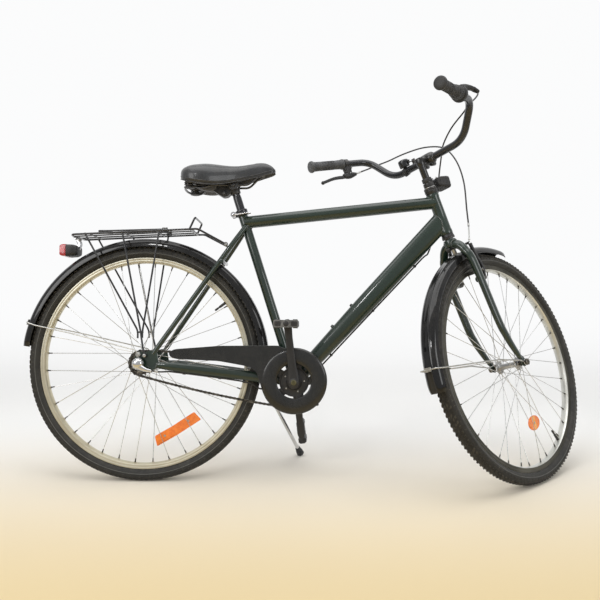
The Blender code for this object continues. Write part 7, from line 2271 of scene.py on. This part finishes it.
def pedal(name, side, tilt):
    """A block pedal."""
    sign = 1 if side < 0 else -1
    place = CRANKSET @ moved(sign * CRANK_LENGTH) @ turned_by(tilt, "Y")
    form = Form()
    barrel = [(0.0056, 0.0912), (0.0104, 0.0912), (0.011, 0.0918), (0.011, 0.096), (0.0098, 0.1),
              (0.0096, 0.17), (0.0108, 0.174), (0.011, 0.18), (0.0104, 0.1812), (0.0056, 0.1812)]
    form.add(turned(on_side(side, barrel), "Y", 40, loop=True))
    form.add(turned(on_side(side, [(0, 0.18), (0.0072, 0.1806), (0.0076, 0.182), (0.0062, 0.1826),
                                   (0, 0.1828)]), "Y", 32))
    tread = both_ways([(-0.009, 0.0068), (-0.0052, 0.0108), (0.0052, 0.0108), (0.009, 0.0068)])
    for way in (-1, 1):
        outline = [(a + way * 0.025, b) for a, b in tread]
        form.add(plate(outline, *sorted((side * 0.0904, side * 0.18)), "Y", 0.001))
        for k in range(14):
            y = side * (0.095 + 0.0063 * k)
            for rise in (-1, 1):
                for x in (-0.0032, 0.0032):
                    spot = (way * 0.025 + x, y, rise * 0.0113)
                    form.add(block((0.0046, 0.0038, 0.0022), spot, 0.0004))
        lens = oblong(side * 0.118, side * 0.155, -0.0048, 0.0048, 0.0014)
        form.add(plate(lens, *sorted((way * 0.0334, way * 0.0339)), "X", 0.0002), look=2)
    frame_line = oblong(-0.0345, 0.0345, -0.0104, 0.0104, 0.0045)
    form.add(plate(frame_line, *sorted((side * 0.1796, side * 0.1816)), "Y", 0.0005), look=1)
    for x in (-0.0225, 0.0225):
        window = oblong(x - 0.0085, x + 0.0085, -0.0068, 0.0068, 0.003)
        form.add(plate(window, *sorted((side * 0.181, side * 0.1822)), "Y", 0.0004))
    for spot in (0.0972, 0.1758):
        cheek = oblong(-0.02, 0.02, -0.0088, 0.0088, 0.003)
        form.add(plate(cheek, side * spot - 0.0028, side * spot + 0.0028, "Y", 0.0007))
    return form.piece(name + "_block", name, [PLASTIC, PEDAL_FRAME, PEDAL_AMBER], place, name,
                      "black_plastic", sharp=30)


pedal("pedal_right", -1, CRANK_ANGLE)
pedal("pedal_left", 1, CRANK_ANGLE + 82)

# %% [markdown]
# The chain guard is one plastic moulding: a dished cover over the chainring with an arm along the
# chain's upper run, open behind. It is bolted on in two places.

# %% Chain guard
GUARD_CENTRE = (0.451, 0.3035)


def guard_spot(turn, radius):
    """A spot round the guard's disc, in the plane of its face."""
    angle = radians(turn)
    return GUARD_CENTRE[0] + radius * cos(angle), GUARD_CENTRE[1] + radius * sin(angle)


guard_corners = [(0.42, 0.399), (0.405, 0.4065), (0.33, 0.406), (0.23, 0.405), (0.098, 0.3945),
                 (0.082, 0.384), (0.087, 0.372), (0.105, 0.3655), (0.23, 0.3605), (0.31, 0.3465),
                 (0.34, 0.333)]
guard_corners = [guard_spot(88, 0.0968)] + guard_corners + [guard_spot(196, 0.0968)]
arm_line = rounded([(x, 0, z) for x, z in guard_corners], 0.014, 5)
under_disc = []
for k in range(1, 36):
    blended = sin(pi / 2 * min(1, min(k, 36 - k) / 8))
    under_disc.append(guard_spot(196 - 108 * k / 36, 0.0965 - 0.0075 * blended))
guard = Form()
guard.add(plate([(p.x, p.z) for p in arm_line] + under_disc, -0.0585, -0.0566, "Y", 0.0009))
dome = [(0.05, -0.0566), (0.0503, -0.0578), (0.0512, -0.0588), (0.053, -0.0594), (0.058, -0.0602),
        (0.066, -0.0607), (0.075, -0.0608), (0.082, -0.0605), (0.088, -0.0597), (0.092, -0.0585),
        (0.0948, -0.0568), (0.0964, -0.0552), (0.097, -0.0538)]
dome += [(0.0954, -0.0538), (0.0936, -0.0556), (0.09, -0.0574), (0.084, -0.0586), (0.075, -0.059),
         (0.066, -0.0589), (0.058, -0.0584), (0.053, -0.0574), (0.0515, -0.0562)]
guard.add(turned(dome, "Y", 120, loop=True), moved(GUARD_CENTRE[0], 0, GUARD_CENTRE[1]))


def guard_wall(line, front):
    """The wall that stands behind the guard's edge."""
    inner = []
    for (x, z), before, after in zip(line[1:-1], line[:-2], line[2:]):
        run = (Vector(after) - Vector(before)).normalized()
        inner.append((x - run.y * 0.0022, z + run.x * 0.0022))
    guard.add(plate(line[1:-1] + inner[::-1], -0.0364, front, "Y", 0.0006))


guard_wall([guard_spot(268 + 180 * k / 40, 0.09685) for k in range(41)], -0.0544)
guard_wall([(p.x, p.z) for p in arm_line if p.z > 0.3935 and p.x > 0.13], -0.0572)
for x, z, front in ((0.3195, 0.3395, -0.0583), (0.519, 0.2364, -0.0548)):
    bolt_way = moved(x, front, z) @ turned_by(90, "X")
    guard.add(turned([(0, 0), (0.0046, 0), (0.0046, 0.0006), (0.0034, 0.0016), (0.002, 0.0021),
                      (0.0016, 0.0012), (0, 0.0012)], "Z", 28), bolt_way, 1)
guard.piece("chain_guard_moulded", "frame_body", [GLOSS_PLASTIC, DARK_STEEL], BIKE, "chain_guard",
            "black_plastic", sharp=30)

# %% [markdown]
# ## Rear fender, stay and rack
#
# The rear fender is the front one's longer twin, closed round the wheel from behind the bottom
# bracket to the road. Its stay and the rack's frame are bent wire, so they are swept with round
# bends, and every crossing has a weld fillet.

# %% Rear fender and stay
REAR_LUG_ANGLE = 52.2
REAR_STAY_ANGLE = 161.4
rear = Form()
make_fender(rear, REAR_AXLE, -1, 172.5, 0.3745, 0.35)
rear_lug = polar(REAR_AXLE, REAR_LUG_ANGLE, 0.3706)
rear.add(turned([(0, 0), (0.0068, 0.0004), (0.007, 0.0012), (0.007, 0.0046), (0.0062, 0.0051),
                 (0, 0.0051)], "Z", 32), turn_to(rear_lug - REAR_AXLE, rear_lug), 1)
rear.add(turned([(0, 0), (0.0038, 0.0002), (0.0034, 0.0016), (0, 0.002)], "Z", 20),
         turn_to(REAR_AXLE - rear_lug, polar(REAR_AXLE, REAR_LUG_ANGLE, 0.3726)), 1)
rear.piece("rear_fender_rolled", "frame_body", [FENDER_BLACK, ZINC], BIKE, "rear_fender", "black_paint",
           sharp=32)

rear_stay = Form()
stay_half = [(-0.004, 0.0725, 0.379), (-0.012, 0.072, 0.392), (-0.2203, 0.04, 0.4409),
             polar(REAR_AXLE, REAR_STAY_ANGLE, 0.348, 0.03),
             polar(REAR_AXLE, REAR_STAY_ANGLE, 0.374, 0.027),
             polar(REAR_AXLE, REAR_STAY_ANGLE, 0.3785, 0.014)]
rear_stay.add(stay_wire(stay_half, 0.002, 0.0045))
for side in (-1, 1):
    rear_stay.add(turned(on_side(side, [(0.0027, 0.0706), (0.0068, 0.0706), (0.0072, 0.0711),
                                        (0.0072, 0.0731), (0.0066, 0.0737), (0.0027, 0.0737)]), "Y", 32,
                         loop=True), moved(EYELETS[0], 0, EYELET_HEIGHT))
    head = on_side(side, [(0, 0.064), (0.0024, 0.064), (0.0024, 0.0738), (0.0044, 0.0738),
                          (0.0047, 0.0744), (0.0046, 0.076), (0.0036, 0.0768), (0.0022, 0.0768),
                          (0.002, 0.0752), (0, 0.0752)])
    rear_stay.add(turned(head, "Y", 28), moved(EYELETS[0], 0, EYELET_HEIGHT))
strap_way = at(polar(REAR_AXLE, REAR_STAY_ANGLE, 0.3776)) @ turned_by(-REAR_STAY_ANGLE, "Y")
rear_stay.add(block((0.0018, 0.03, 0.017), (0, 0, 0), 0.0006), strap_way)
for side in (-1, 1):
    rear_stay.add(turned([(0, 0.0008), (0.0029, 0.0009), (0.0027, 0.0018), (0.0012, 0.0024),
                          (0, 0.0025)], "X", 20), strap_way @ moved(0, side * 0.0095, 0))
rear_stay.piece("rear_stay_wire", "frame_body", ZINC, BIKE, "rear_fender_stay", "steel")

# %% [markdown]
# The rack is welded from thick wire: a deck with bars along and across it, a stop bent up at its
# front, two legs and a strut on each side, and tabs that tie it to the seat stays.

# %% Rack
RACK_HALF, RACK_REAR, RACK_FRONT = 0.06, -0.211, 0.144


def deck(x, y):
    """A point on the rack's deck, which rises a little towards the front."""
    return Vector((x, y, 0.733 + 0.016 * (x - RACK_REAR) / (RACK_FRONT - RACK_REAR)))


def make_rack():
    """Deck, stop, legs, struts, tie, tabs and feet."""
    form = Form()

    def wire(points, radius, bend=0):
        form.add(tube(rounded(points, bend, 6) if bend else points, radius, 14))

    def joint(spot):
        form.add(turned(both_ways([(0, 0.0042), (0.00294, 0.00294), (0.0042, 0)]), "Z", 14), at(spot))

    rear_x = RACK_REAR - 0.014
    wire([deck(RACK_FRONT, -RACK_HALF), deck(RACK_REAR, -RACK_HALF), deck(rear_x, 0),
          deck(RACK_REAR, RACK_HALF), deck(RACK_FRONT, RACK_HALF)], 0.0031, 0.014)
    wire([deck(RACK_FRONT, -RACK_HALF), deck(RACK_FRONT, RACK_HALF)], 0.0031)
    for y in (-0.02, 0.02):
        wire([deck(rear_x + 0.006, y), deck(RACK_FRONT, y)], 0.0023)
        joint(deck(RACK_FRONT, y))
    for x in (-0.16, -0.06, 0.04, 0.142):
        wire([deck(x, -RACK_HALF), deck(x, RACK_HALF)], 0.0023)
    stop = [deck(RACK_FRONT - 0.004, RACK_HALF), Vector((0.156, RACK_HALF, 0.784))]
    wire(sided(stop, -1) + stop[::-1], 0.0031, 0.01)
    for side in (-1, 1):
        y = side * RACK_HALF
        wire([deck(RACK_FRONT - 0.006, y), deck(RACK_FRONT + 0.02, y), (0.228, side * 0.048, 0.716),
              (0.245, side * 0.04, 0.707)], 0.0031, 0.008)
        eye = turn_to((0, side, 0), (0.245, side * 0.04, 0.707))
        form.add(turned(both_ways([(0, 0.0022), (0.0062, 0.0022), (0.0066, 0.0016)]), "Z", 26), eye)
        form.add(turned([(0, 0.002), (0.0042, 0.0021), (0.0044, 0.0036), (0.0034, 0.0044),
                         (0.0018, 0.0044), (0.0016, 0.003), (0, 0.003)], "Z", 22), eye, 1)
        for top, low, end in ((-0.171, -0.0075, 0.426), (0.05, 0.006, 0.427)):
            wire([deck(top, y), (low, side * 0.064, 0.448), (low, side * 0.0655, end)], 0.0028, 0.012)
            joint(deck(top, y))
        wire([deck(-0.06, y), (0, side * 0.064, 0.448), (0.01, side * 0.074, 0.4),
              (0.016, side * 0.074, 0.376)], 0.0029, 0.008)
        joint(deck(-0.06, y))
        wire([(-0.0105, side * 0.0642, 0.444), (0.009, side * 0.0642, 0.444)], 0.0026)
        foot = at((0.016, side * 0.074, 0.376)) @ turned_by(8, "Y")
        form.add(turned(both_ways([(0.0026, 0.0028), (0.0066, 0.0028), (0.007, 0.0022)]), "Y", 28,
                        loop=True), foot)
        head = on_side(side, [(0, -0.01), (0.0024, -0.01), (0.0024, 0.003), (0.0046, 0.0031),
                              (0.0049, 0.0038), (0.0047, 0.0058), (0.0036, 0.0064), (0.0022, 0.0064),
                              (0.002, 0.0048), (0, 0.0048)])
        form.add(turned(head, "Y", 26), moved(0.016, side * 0.074, 0.376), 1)
        form.add(block((0.016, 0.0028, 0.017), (0.06, side * 0.0296, 0.75), 0.0008))
        form.add(block((0.016, 0.013, 0.0026), (0.06, side * 0.024, 0.744), 0.0006))
    form.add(block((0.01, 0.044, 0.0024), (-0.205, 0, 0.729), 0.0006))
    return form.piece("rack_welded", "frame_body", [ENAMEL, ZINC], BIKE, "rack", "black_paint",
                      sharp=35)


make_rack()

# %% [markdown]
# The rack's spring clip is a wire bail on a cross pin, with a moulded grip that a thumb lifts. A
# coil spring on each end of the pin pulls it down.

# %% Rack clip
CLIP_PLACE = BIKE @ moved(0.06, 0, 0.7545)
clip = Form()
clip.add(pin(0.0025, -0.0333, 0.0333, "Y", 20), look=1)
clip.add(tube(rounded([(0, 0.024, 0), (-0.198, 0.024, -0.0055), (-0.198, -0.024, -0.0055),
                       (0, -0.024, 0)], 0.01, 6), 0.0023, 14), look=1)
grip = oblong(-0.2068, -0.1695, -0.0195, 0.0195, 0.006)
clip.add(plate(grip, -0.0086, -0.0018, "Z", 0.0014))
for k in range(6):
    clip.add(block((0.0016, 0.029, 0.0014), (-0.1998 + 0.0048 * k, 0, -0.0016), 0.0005))
clip.add(plate(oblong(-0.1356, -0.1244, -0.0275, 0.0275, 0.003), -0.0054, -0.0018, "Z", 0.0008), look=1)
for side in (-1, 1):
    coil = [wheel_spot(TAU * k / 20, 0.0043, side * y) for k,
            y in enumerate(graded(0.0085, 0.021, 105))]
    clip.add(tube(coil + [Vector((-0.018, side * 0.0212, -0.001))], 0.001, 8), look=2)
    clip.add(ring_part(0.0044, 0.0024, side * 0.0305 - 0.0008, side * 0.0305 + 0.0008, "Y", 24, 0.0003),
             look=2)
clip.piece("rack_clip_bail", "rack_clip", [PLASTIC, ENAMEL, ZINC], CLIP_PLACE, "rack_clip", "steel")

# %% [markdown]
# The rear lamp hangs under the rack's end on a plated bracket. Its lens is one red moulding in
# three segments, prisms inside, over a dark body.

# %% Rear light
def box_rings(stations, z, power=0.42, count=44, y=0, tall_power=None):
    """Rounded box sections along X round a middle: place, half width and half height."""
    circle = [squared(TAU * k / count, power, tall_power) for k in range(count)]
    return bridge_rings([[Vector((x, y + c * wide, z + s * tall)) for c, s in circle] for x, wide,
                         tall in stations])


LAMP_HEIGHT = 0.6905
lamp = Form()
lamp.add(box_rings([(-0.2406, 0.03, 0.0168), (-0.2401, 0.0319, 0.0183), (-0.237, 0.032, 0.0185),
                    (-0.23, 0.0316, 0.0183), (-0.222, 0.031, 0.0178), (-0.214, 0.0275, 0.0155),
                    (-0.2095, 0.0238, 0.013), (-0.208, 0.0205, 0.0105)], LAMP_HEIGHT))
lamp.add(tube(rounded([(-0.213, 0, 0.696), (-0.206, 0, 0.71), (-0.213, 0, 0.724)], 0.006, 6), 0.0014,
              16, 0.0075, (0, 1, 0)), look=1)
lamp.add(plate(oblong(-0.219, -0.209, -0.0215, 0.0215, 0.003), 0.7249, 0.7274, "Z", 0.0005), look=1)
for y in (-0.015, 0.015):
    lamp.add(turned([(0, 0.7245), (0.0034, 0.7243), (0.0036, 0.7236), (0.0024, 0.7229), (0, 0.7228)],
                    "Z", 22), moved(-0.214, y, 0), 1)
    lamp.add(hexagon(0.0034, 0.7274, 0.7292, "Z"), moved(-0.214, y, 0), 1)
lamp.piece("rear_lamp_body", "frame_body", [PLASTIC, CHROME], BIKE, "rear_light_body", "black_plastic",
           sharp=30)
lens = Form()
for low, high in ((-0.031, -0.0112), (-0.0108, 0.0108), (0.0112, 0.031)):
    middle, half = (low + high) / 2, (high - low) / 2
    bulge = [(-0.2408, 1, 0.0183), (-0.25, 0.998, 0.0181), (-0.256, 0.965, 0.0168),
             (-0.2592, 0.88, 0.0142), (-0.26, 0.72, 0.0112)]
    stations = [(x, half * grow, tall) for x, grow, tall in bulge]
    lens.add(box_rings(stations, LAMP_HEIGHT, 0.32, 40, middle, 0.36))
lens.piece("rear_lamp_lens", "frame_body", RED, BIKE, "rear_light_lens", "red_lens", sharp=30)

# %% [markdown]
# ## Side stand
#
# The stand's bracket clamps both chain stays between two plates with one bolt. Its leg is a plated
# bar on a pin, and it ends in a black rubber foot. It swings back and up to ride.

# %% Side stand
STAND_PIVOT = Vector((0.366, 0.047, 0.266))
STAND_FOOT = Vector((0.465, 0.236, 0.039))
STAND_FOLDED = Vector((0.06, 0.062, 0.29))
down_way = (STAND_FOOT - STAND_PIVOT).normalized()
folded_way = (STAND_FOLDED - STAND_PIVOT).normalized()
hinge_way = down_way.cross(folded_way).normalized()
away_way = -(down_way + folded_way).normalized()
STAND_BASIS = Matrix((away_way, hinge_way.cross(away_way), hinge_way)).transposed().to_4x4()
STAND_FRAME = at(STAND_PIVOT) @ STAND_BASIS
leg_run = STAND_BASIS.inverted().to_3x3() @ down_way
leg_length = (STAND_FOOT - STAND_PIVOT).length

leg = Form()
leg.add(turned(both_ways([(0.0041, 0.006), (0.0116, 0.006), (0.0125, 0.0052)]), "Z", 44, loop=True))
leg.add(tube([leg_run * 0.006, leg_run * 0.03, leg_run * 0.15, leg_run * (leg_length - 0.0338)],
             [0.0056, 0.0059, 0.0059, 0.0058], 28))
leg.piece("stand_leg_plated", "kickstand", CHROME, BIKE @ STAND_FRAME, "kickstand_leg", "steel")

foot = Form()
foot_way = turn_to(leg_run)
shape = [(0.0059, leg_length - 0.0337), (0.0072, leg_length - 0.0337), (0.0077, leg_length - 0.033)]
for k in range(4):
    z = leg_length - 0.03 + 0.0046 * k
    wide = 0.0079 + 0.0009 * k
    shape += [(wide, z), (wide + 0.0008, z + 0.001), (wide + 0.0008, z + 0.003), (wide, z + 0.0038)]
shape += [(0.0112, leg_length - 0.01), (0.0124, leg_length - 0.006), (0.0122, leg_length - 0.0046),
          (0.011, leg_length - 0.004), (0, leg_length - 0.004)]
foot.add(turned([(0, leg_length - 0.0337)] + shape, "Z", 40), foot_way)
foot.piece("stand_foot_rubber", "kickstand", GRIP_RUBBER, BIKE @ STAND_FRAME, "kickstand_foot",
           "rubber")

bracket = Form()
ear = arc((0, 0), 0.011, 90, 270, 20) + [(0.012, -0.0104), (0.022, -0.0085), (0.022, 0.0085),
                                         (0.012, 0.0104)]
for side in (-1, 1):
    bracket.add(plate(ear, *sorted((side * 0.0065, side * 0.0103)), "Z", 0.0006), STAND_FRAME)
bracket.add(pin(0.004, -0.011, 0.011, "Z", 28, 0.0005), STAND_FRAME, 1)
for side in (-1, 1):
    bracket.add(turned(on_side(side, [(0, 0.0103), (0.0066, 0.0104), (0.0064, 0.0116), (0, 0.012)]),
                       "Z", 28), STAND_FRAME, 1)
bracket.add(block((0.007, 0.015, 0.019), (0.0188, 0, 0), 0.0012), STAND_FRAME)
link = [STAND_FRAME @ Vector((0.02, 0, 0)), Vector((0.3745, 0.014, 0.288))]
bracket.add(tube(link, 0.0079, 24))
lower = oblong(0.3606, 0.3884, -0.038, 0.038, 0.005)
bracket.add(plate(lower, 0.2831, 0.2929, "Z", 0.001))
bracket.add(plate(lower, 0.3246, 0.3294, "Z", 0.0008))
bracket.add(pin(0.004, 0.285, 0.3335, "Z", 24), moved(0.3745), 1)
bracket.add(hexagon(0.0062, 0.3294, 0.3338, "Z"), moved(0.3745), 1)
bracket.add(ring_part(0.0082, 0.004, 0.3293, 0.3302, "Z", 30, 0.0003), moved(0.3745), 1)
bracket.add(turned([(0, 0.2781), (0.004, 0.2781), (0.0044, 0.2786), (0.0044, 0.283), (0, 0.2832)], "Z",
                   30), moved(0.3745), 1)
bracket.piece("stand_bracket_cast", "frame_body", [CAST_ALLOY, ZINC], BIKE, "kickstand_bracket",
              "steel")

# %% [markdown]
# ## Headlight, noodle and cables
#
# The headlight is a small ribbed lamp on a strap round the stem's post. Its lens is a clear
# moulding with flutes.

# %% Headlight
head = Form()
LAMP_TILT = moved(0.039, 0, 0.599) @ turned_by(9, "Y") @ moved(-0.045, 0, -0.6)
body_line = [(0.042, 0.0105, 0.0085), (0.0428, 0.013, 0.0108), (0.046, 0.017, 0.014),
             (0.0495, 0.02, 0.016), (0.054, 0.0209, 0.0165)]
for k in range(6):
    x = 0.055 + 0.0044 * k
    grow = 0.021 + 0.0004 * k
    body_line += [(x, grow, grow - 0.0043), (x + 0.0008, grow + 0.0007, grow - 0.0036),
                  (x + 0.0026, grow + 0.0008, grow - 0.0035),
                  (x + 0.0034, grow + 0.0002, grow - 0.0041)]
body_line += [(0.082, 0.0233, 0.0183), (0.0834, 0.0242, 0.019), (0.0862, 0.0242, 0.019),
              (0.0865, 0.0224, 0.0172), (0.084, 0.0215, 0.0162)]
head.add(box_rings(body_line, 0.6, 0.34, 48), LAMP_TILT)
head.add(turned([(0.0129, 0.6062), (0.0147, 0.6062), (0.015, 0.6068), (0.015, 0.6172), (0.0147, 0.6178),
                 (0.0129, 0.6178)], "Z", 44, loop=True))
head.add(tube(rounded([(0.0135, 0, 0.612), (0.03, 0, 0.61), (0.046, 0, 0.604)], 0.012, 6), 0.0018, 14,
              0.0055, (0, 1, 0)), look=1)
head.add(pin(0.0026, -0.01, 0.01, "Y", 22), moved(0.018, 0, 0.6118), 1)
head.add(pin(0.0034, -0.0018, 0.002, "Z", 22), moved(0.052, 0, 0.6166), 1)
head.piece("headlight_shell", "steering", [PLASTIC, CHROME], STEER, "headlight_body", "black_plastic",
           sharp=30)
glass = Form()
glass.add(box_rings([(0.0866, 0.023, 0.0177), (0.089, 0.0228, 0.0175), (0.0902, 0.0218, 0.0166),
                     (0.091, 0.019, 0.0142), (0.0915, 0.012, 0.009)], 0.6, 0.34, 48), LAMP_TILT)
for k in range(-4, 5):
    glass.add(block((0.0012, 0.0009, 0.025 - 0.0013 * abs(k)), (0.0904, 0.0042 * k, 0.6), 0.0003),
              LAMP_TILT)
glass.piece("headlight_glass", "steering", CLEAR, STEER, "headlight_lens", "clear_lens", sharp=30)

# %% [markdown]
# Both cables keep the line that they have on the frame. The brake cable's housing ends in a bent
# plated noodle, and a rubber boot covers the wire between the arms, with bare wire at the far
# side.

# %% Cable routes
def evenly(points, count):
    """Points at even distances along a smooth line."""
    return spread(flowing(points, 16), count)


def in_frame(matrix, *spots):
    """Spots of one frame, carried to the frame around it."""
    return [matrix @ Vector(spot) for spot in spots]


brake_route = in_frame(LEVER_ON_BAR, (0, -0.0332, 0.04), (0, -0.0296, 0.056))
brake_route += [(0.037, 0.223, 0.745), (0.067, 0.206, 0.748), (0.099, 0.18, 0.7495),
                (0.133, 0.135, 0.752), (0.1639, 0.08, 0.7456), (0.18, 0.03, 0.7238), (0.174, 0, 0.6931),
                (0.16, -0.022, 0.64), (0.131, -0.035, 0.5724), (0.0885, -0.038, 0.4914),
                (0.07, -0.036, 0.4433), (0.05, -0.036, 0.408), (0.038, -0.0375, 0.394)]
BRAKE_LINE = evenly(brake_route, 220)
STEERED = BIKE.inverted() @ STEER

shift_route = in_frame(STEERED @ SHIFTER_ON_BAR, SHIFT_SPOUT[3])
shift_route += in_frame(STEERED, (0.0395, -0.2293, 0.7692), (0.062, -0.207, 0.7705),
                        (0.077, -0.187, 0.7715), (0.09, -0.161, 0.7695), (0.105, -0.135, 0.764),
                        (0.11, -0.075, 0.742), (0.115, -0.025, 0.71), (0.133, 0.01, 0.68),
                        (0.135, 0.04, 0.635), (0.115, 0.048, 0.592))
shift_route += [on_head(0.545, 0.02, 0.08), on_head(0.49, -0.005, 0.06),
                under_down_tube(0.86) + Vector((0, 0.012, 0))]
shift_route += [under_down_tube(share) for share in (0.8, 0.55, 0.3, 0.12)]
shift_route += [(0.456, -0.006, 0.275), (0.428, -0.019, 0.275), (0.4, -0.03, 0.277),
                (0.3745, -0.034, 0.277), (0.348, -0.036, 0.28), (0.315, -0.04, 0.297),
                (0.2345, -0.05, 0.3105), (0.1, -0.063, 0.328), (0.08, -0.0665, 0.329),
                (0.062, -0.0745, 0.329), (0.05, -0.084, 0.331), (0.0405, -0.088, 0.333)]
SHIFT_LINE = evenly(shift_route, 420)


def at_length(line, share):
    """A spot and the direction of a line at a share of its length."""
    k = min(int(share * (len(line) - 1)), len(line) - 2)
    return line[k], line[k + 1] - line[k]


def ferrule(form, line, share, length, radius, flip=False):
    """A metal sleeve on a cable."""
    spot, run = at_length(line, share)
    profile = [(0.0022, 0), (radius * 0.94, 0), (radius, 0.0004), (radius, length * 0.78),
               (radius * 0.9, length * 0.8), (radius * 0.9, length * 0.98), (radius * 0.86, length),
               (0.0022, length)]
    form.add(turned(profile, "Z", 24, loop=True), turn_to(-run if flip else run, spot), 1)


# %% [markdown]
# The brake cable is swept in two finishes, its housing and its noodle. The boot and the bare wire
# are pieces of their own.

# %% Brake cable
brake_form = Form()
split = int(len(BRAKE_LINE) * 0.925)
brake_form.add(tube(BRAKE_LINE[:split], 0.0024, 16))
noodle_line = BRAKE_LINE[split - 2:]
brake_form.add(tube(noodle_line, 0.0023, 16), look=1)
ferrule(brake_form, BRAKE_LINE, 0.922, 0.009, 0.0031, flip=True)
ferrule(brake_form, BRAKE_LINE, 0.001, 0.01, 0.003)
brake_form.add(ring_part(0.0033, 0.002, -0.0012, 0.0012, "Z", 24, 0.0003),
               turn_to(noodle_line[-1] - noodle_line[-3], noodle_line[-4]), 1)
brake_run = brake_form.piece("brake_cable_run", None, [HOUSING, ZINC], STEER, "brake_cable",
                             "cable_housing")
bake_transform(brake_run)

boot = Form()
boot.add(tube([(0.0372, -0.035, 0.3922), (0.0372, -0.024, 0.391), (0.0372, -0.012, 0.3902),
               (0.0372, 0.001, 0.39)], [0.0034, 0.0036, 0.0031, 0.0024], 20))
for k in range(6):
    swell = 0.0046 - 0.0003 * k
    boot.add(turned([(0, -0.0017), (swell * 0.72, -0.0017), (swell, 0), (swell * 0.72, 0.0017),
                     (0, 0.0017)], "Y", 24), moved(0.0372, -0.0315 + 0.0056 * k, 0.3918 - 0.0003 * k))
boot_run = boot.piece("brake_boot", None, GRIP_RUBBER, STEER)
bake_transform(boot_run)
bare = Form()
bare.add(tube([(0.0372, -0.001, 0.39), (0.0374, 0.018, 0.389), (0.0378, 0.037, 0.388),
               (0.0378, 0.045, 0.385), (0.0374, 0.049, 0.378)], 0.0008, 8))
bare_run = bare.piece("brake_bare_wire", None, WIRE, STEER)
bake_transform(bare_run)

# %% [markdown]
# The shift cable leaves the shifter's spout in a wide loop, follows the down tube and goes on
# under the bottom bracket to the rear hub.

# %% Shift cable
shift_form = Form()
shift_form.add(tube(SHIFT_LINE, 0.0024, 16))
ferrule(shift_form, SHIFT_LINE, 0.001, 0.01, 0.003)
ferrule(shift_form, SHIFT_LINE, 0.996, 0.01, 0.003, flip=True)
shift_run = shift_form.piece("shift_cable_run", None, [HOUSING, ZINC], BIKE, "shift_cable",
                             "cable_housing")
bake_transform(shift_run)

# %% [markdown]
# Three clips hold the shift cable on the chain stay, each one where the cable really passes.

# %% Cable clips on the frame
clips = Form()
for x, y, z in ((0.2345, -0.05, 0.3105), (0.13, -0.0598, 0.3235), (0.305, -0.0413, 0.299)):
    near = min(range(len(SHIFT_LINE)), key=lambda k: (SHIFT_LINE[k] - Vector((x, y, z))).length)
    spot, after = SHIFT_LINE[near:near + 2]
    clips.add(turned(both_ways([(0.0021, 0.0045), (0.0036, 0.0045), (0.0038, 0.004)]), "Z", 26,
                     loop=True), turn_to(after - spot, spot))
    clips.add(block((0.0032, 0.004, 0.009), (0, 0, 0)),
              turn_to((0, 0, 1), spot + Vector((0, 0.0018, 0.006))))
clips.piece("chain_stay_cable_clips", "frame_body", PLASTIC)
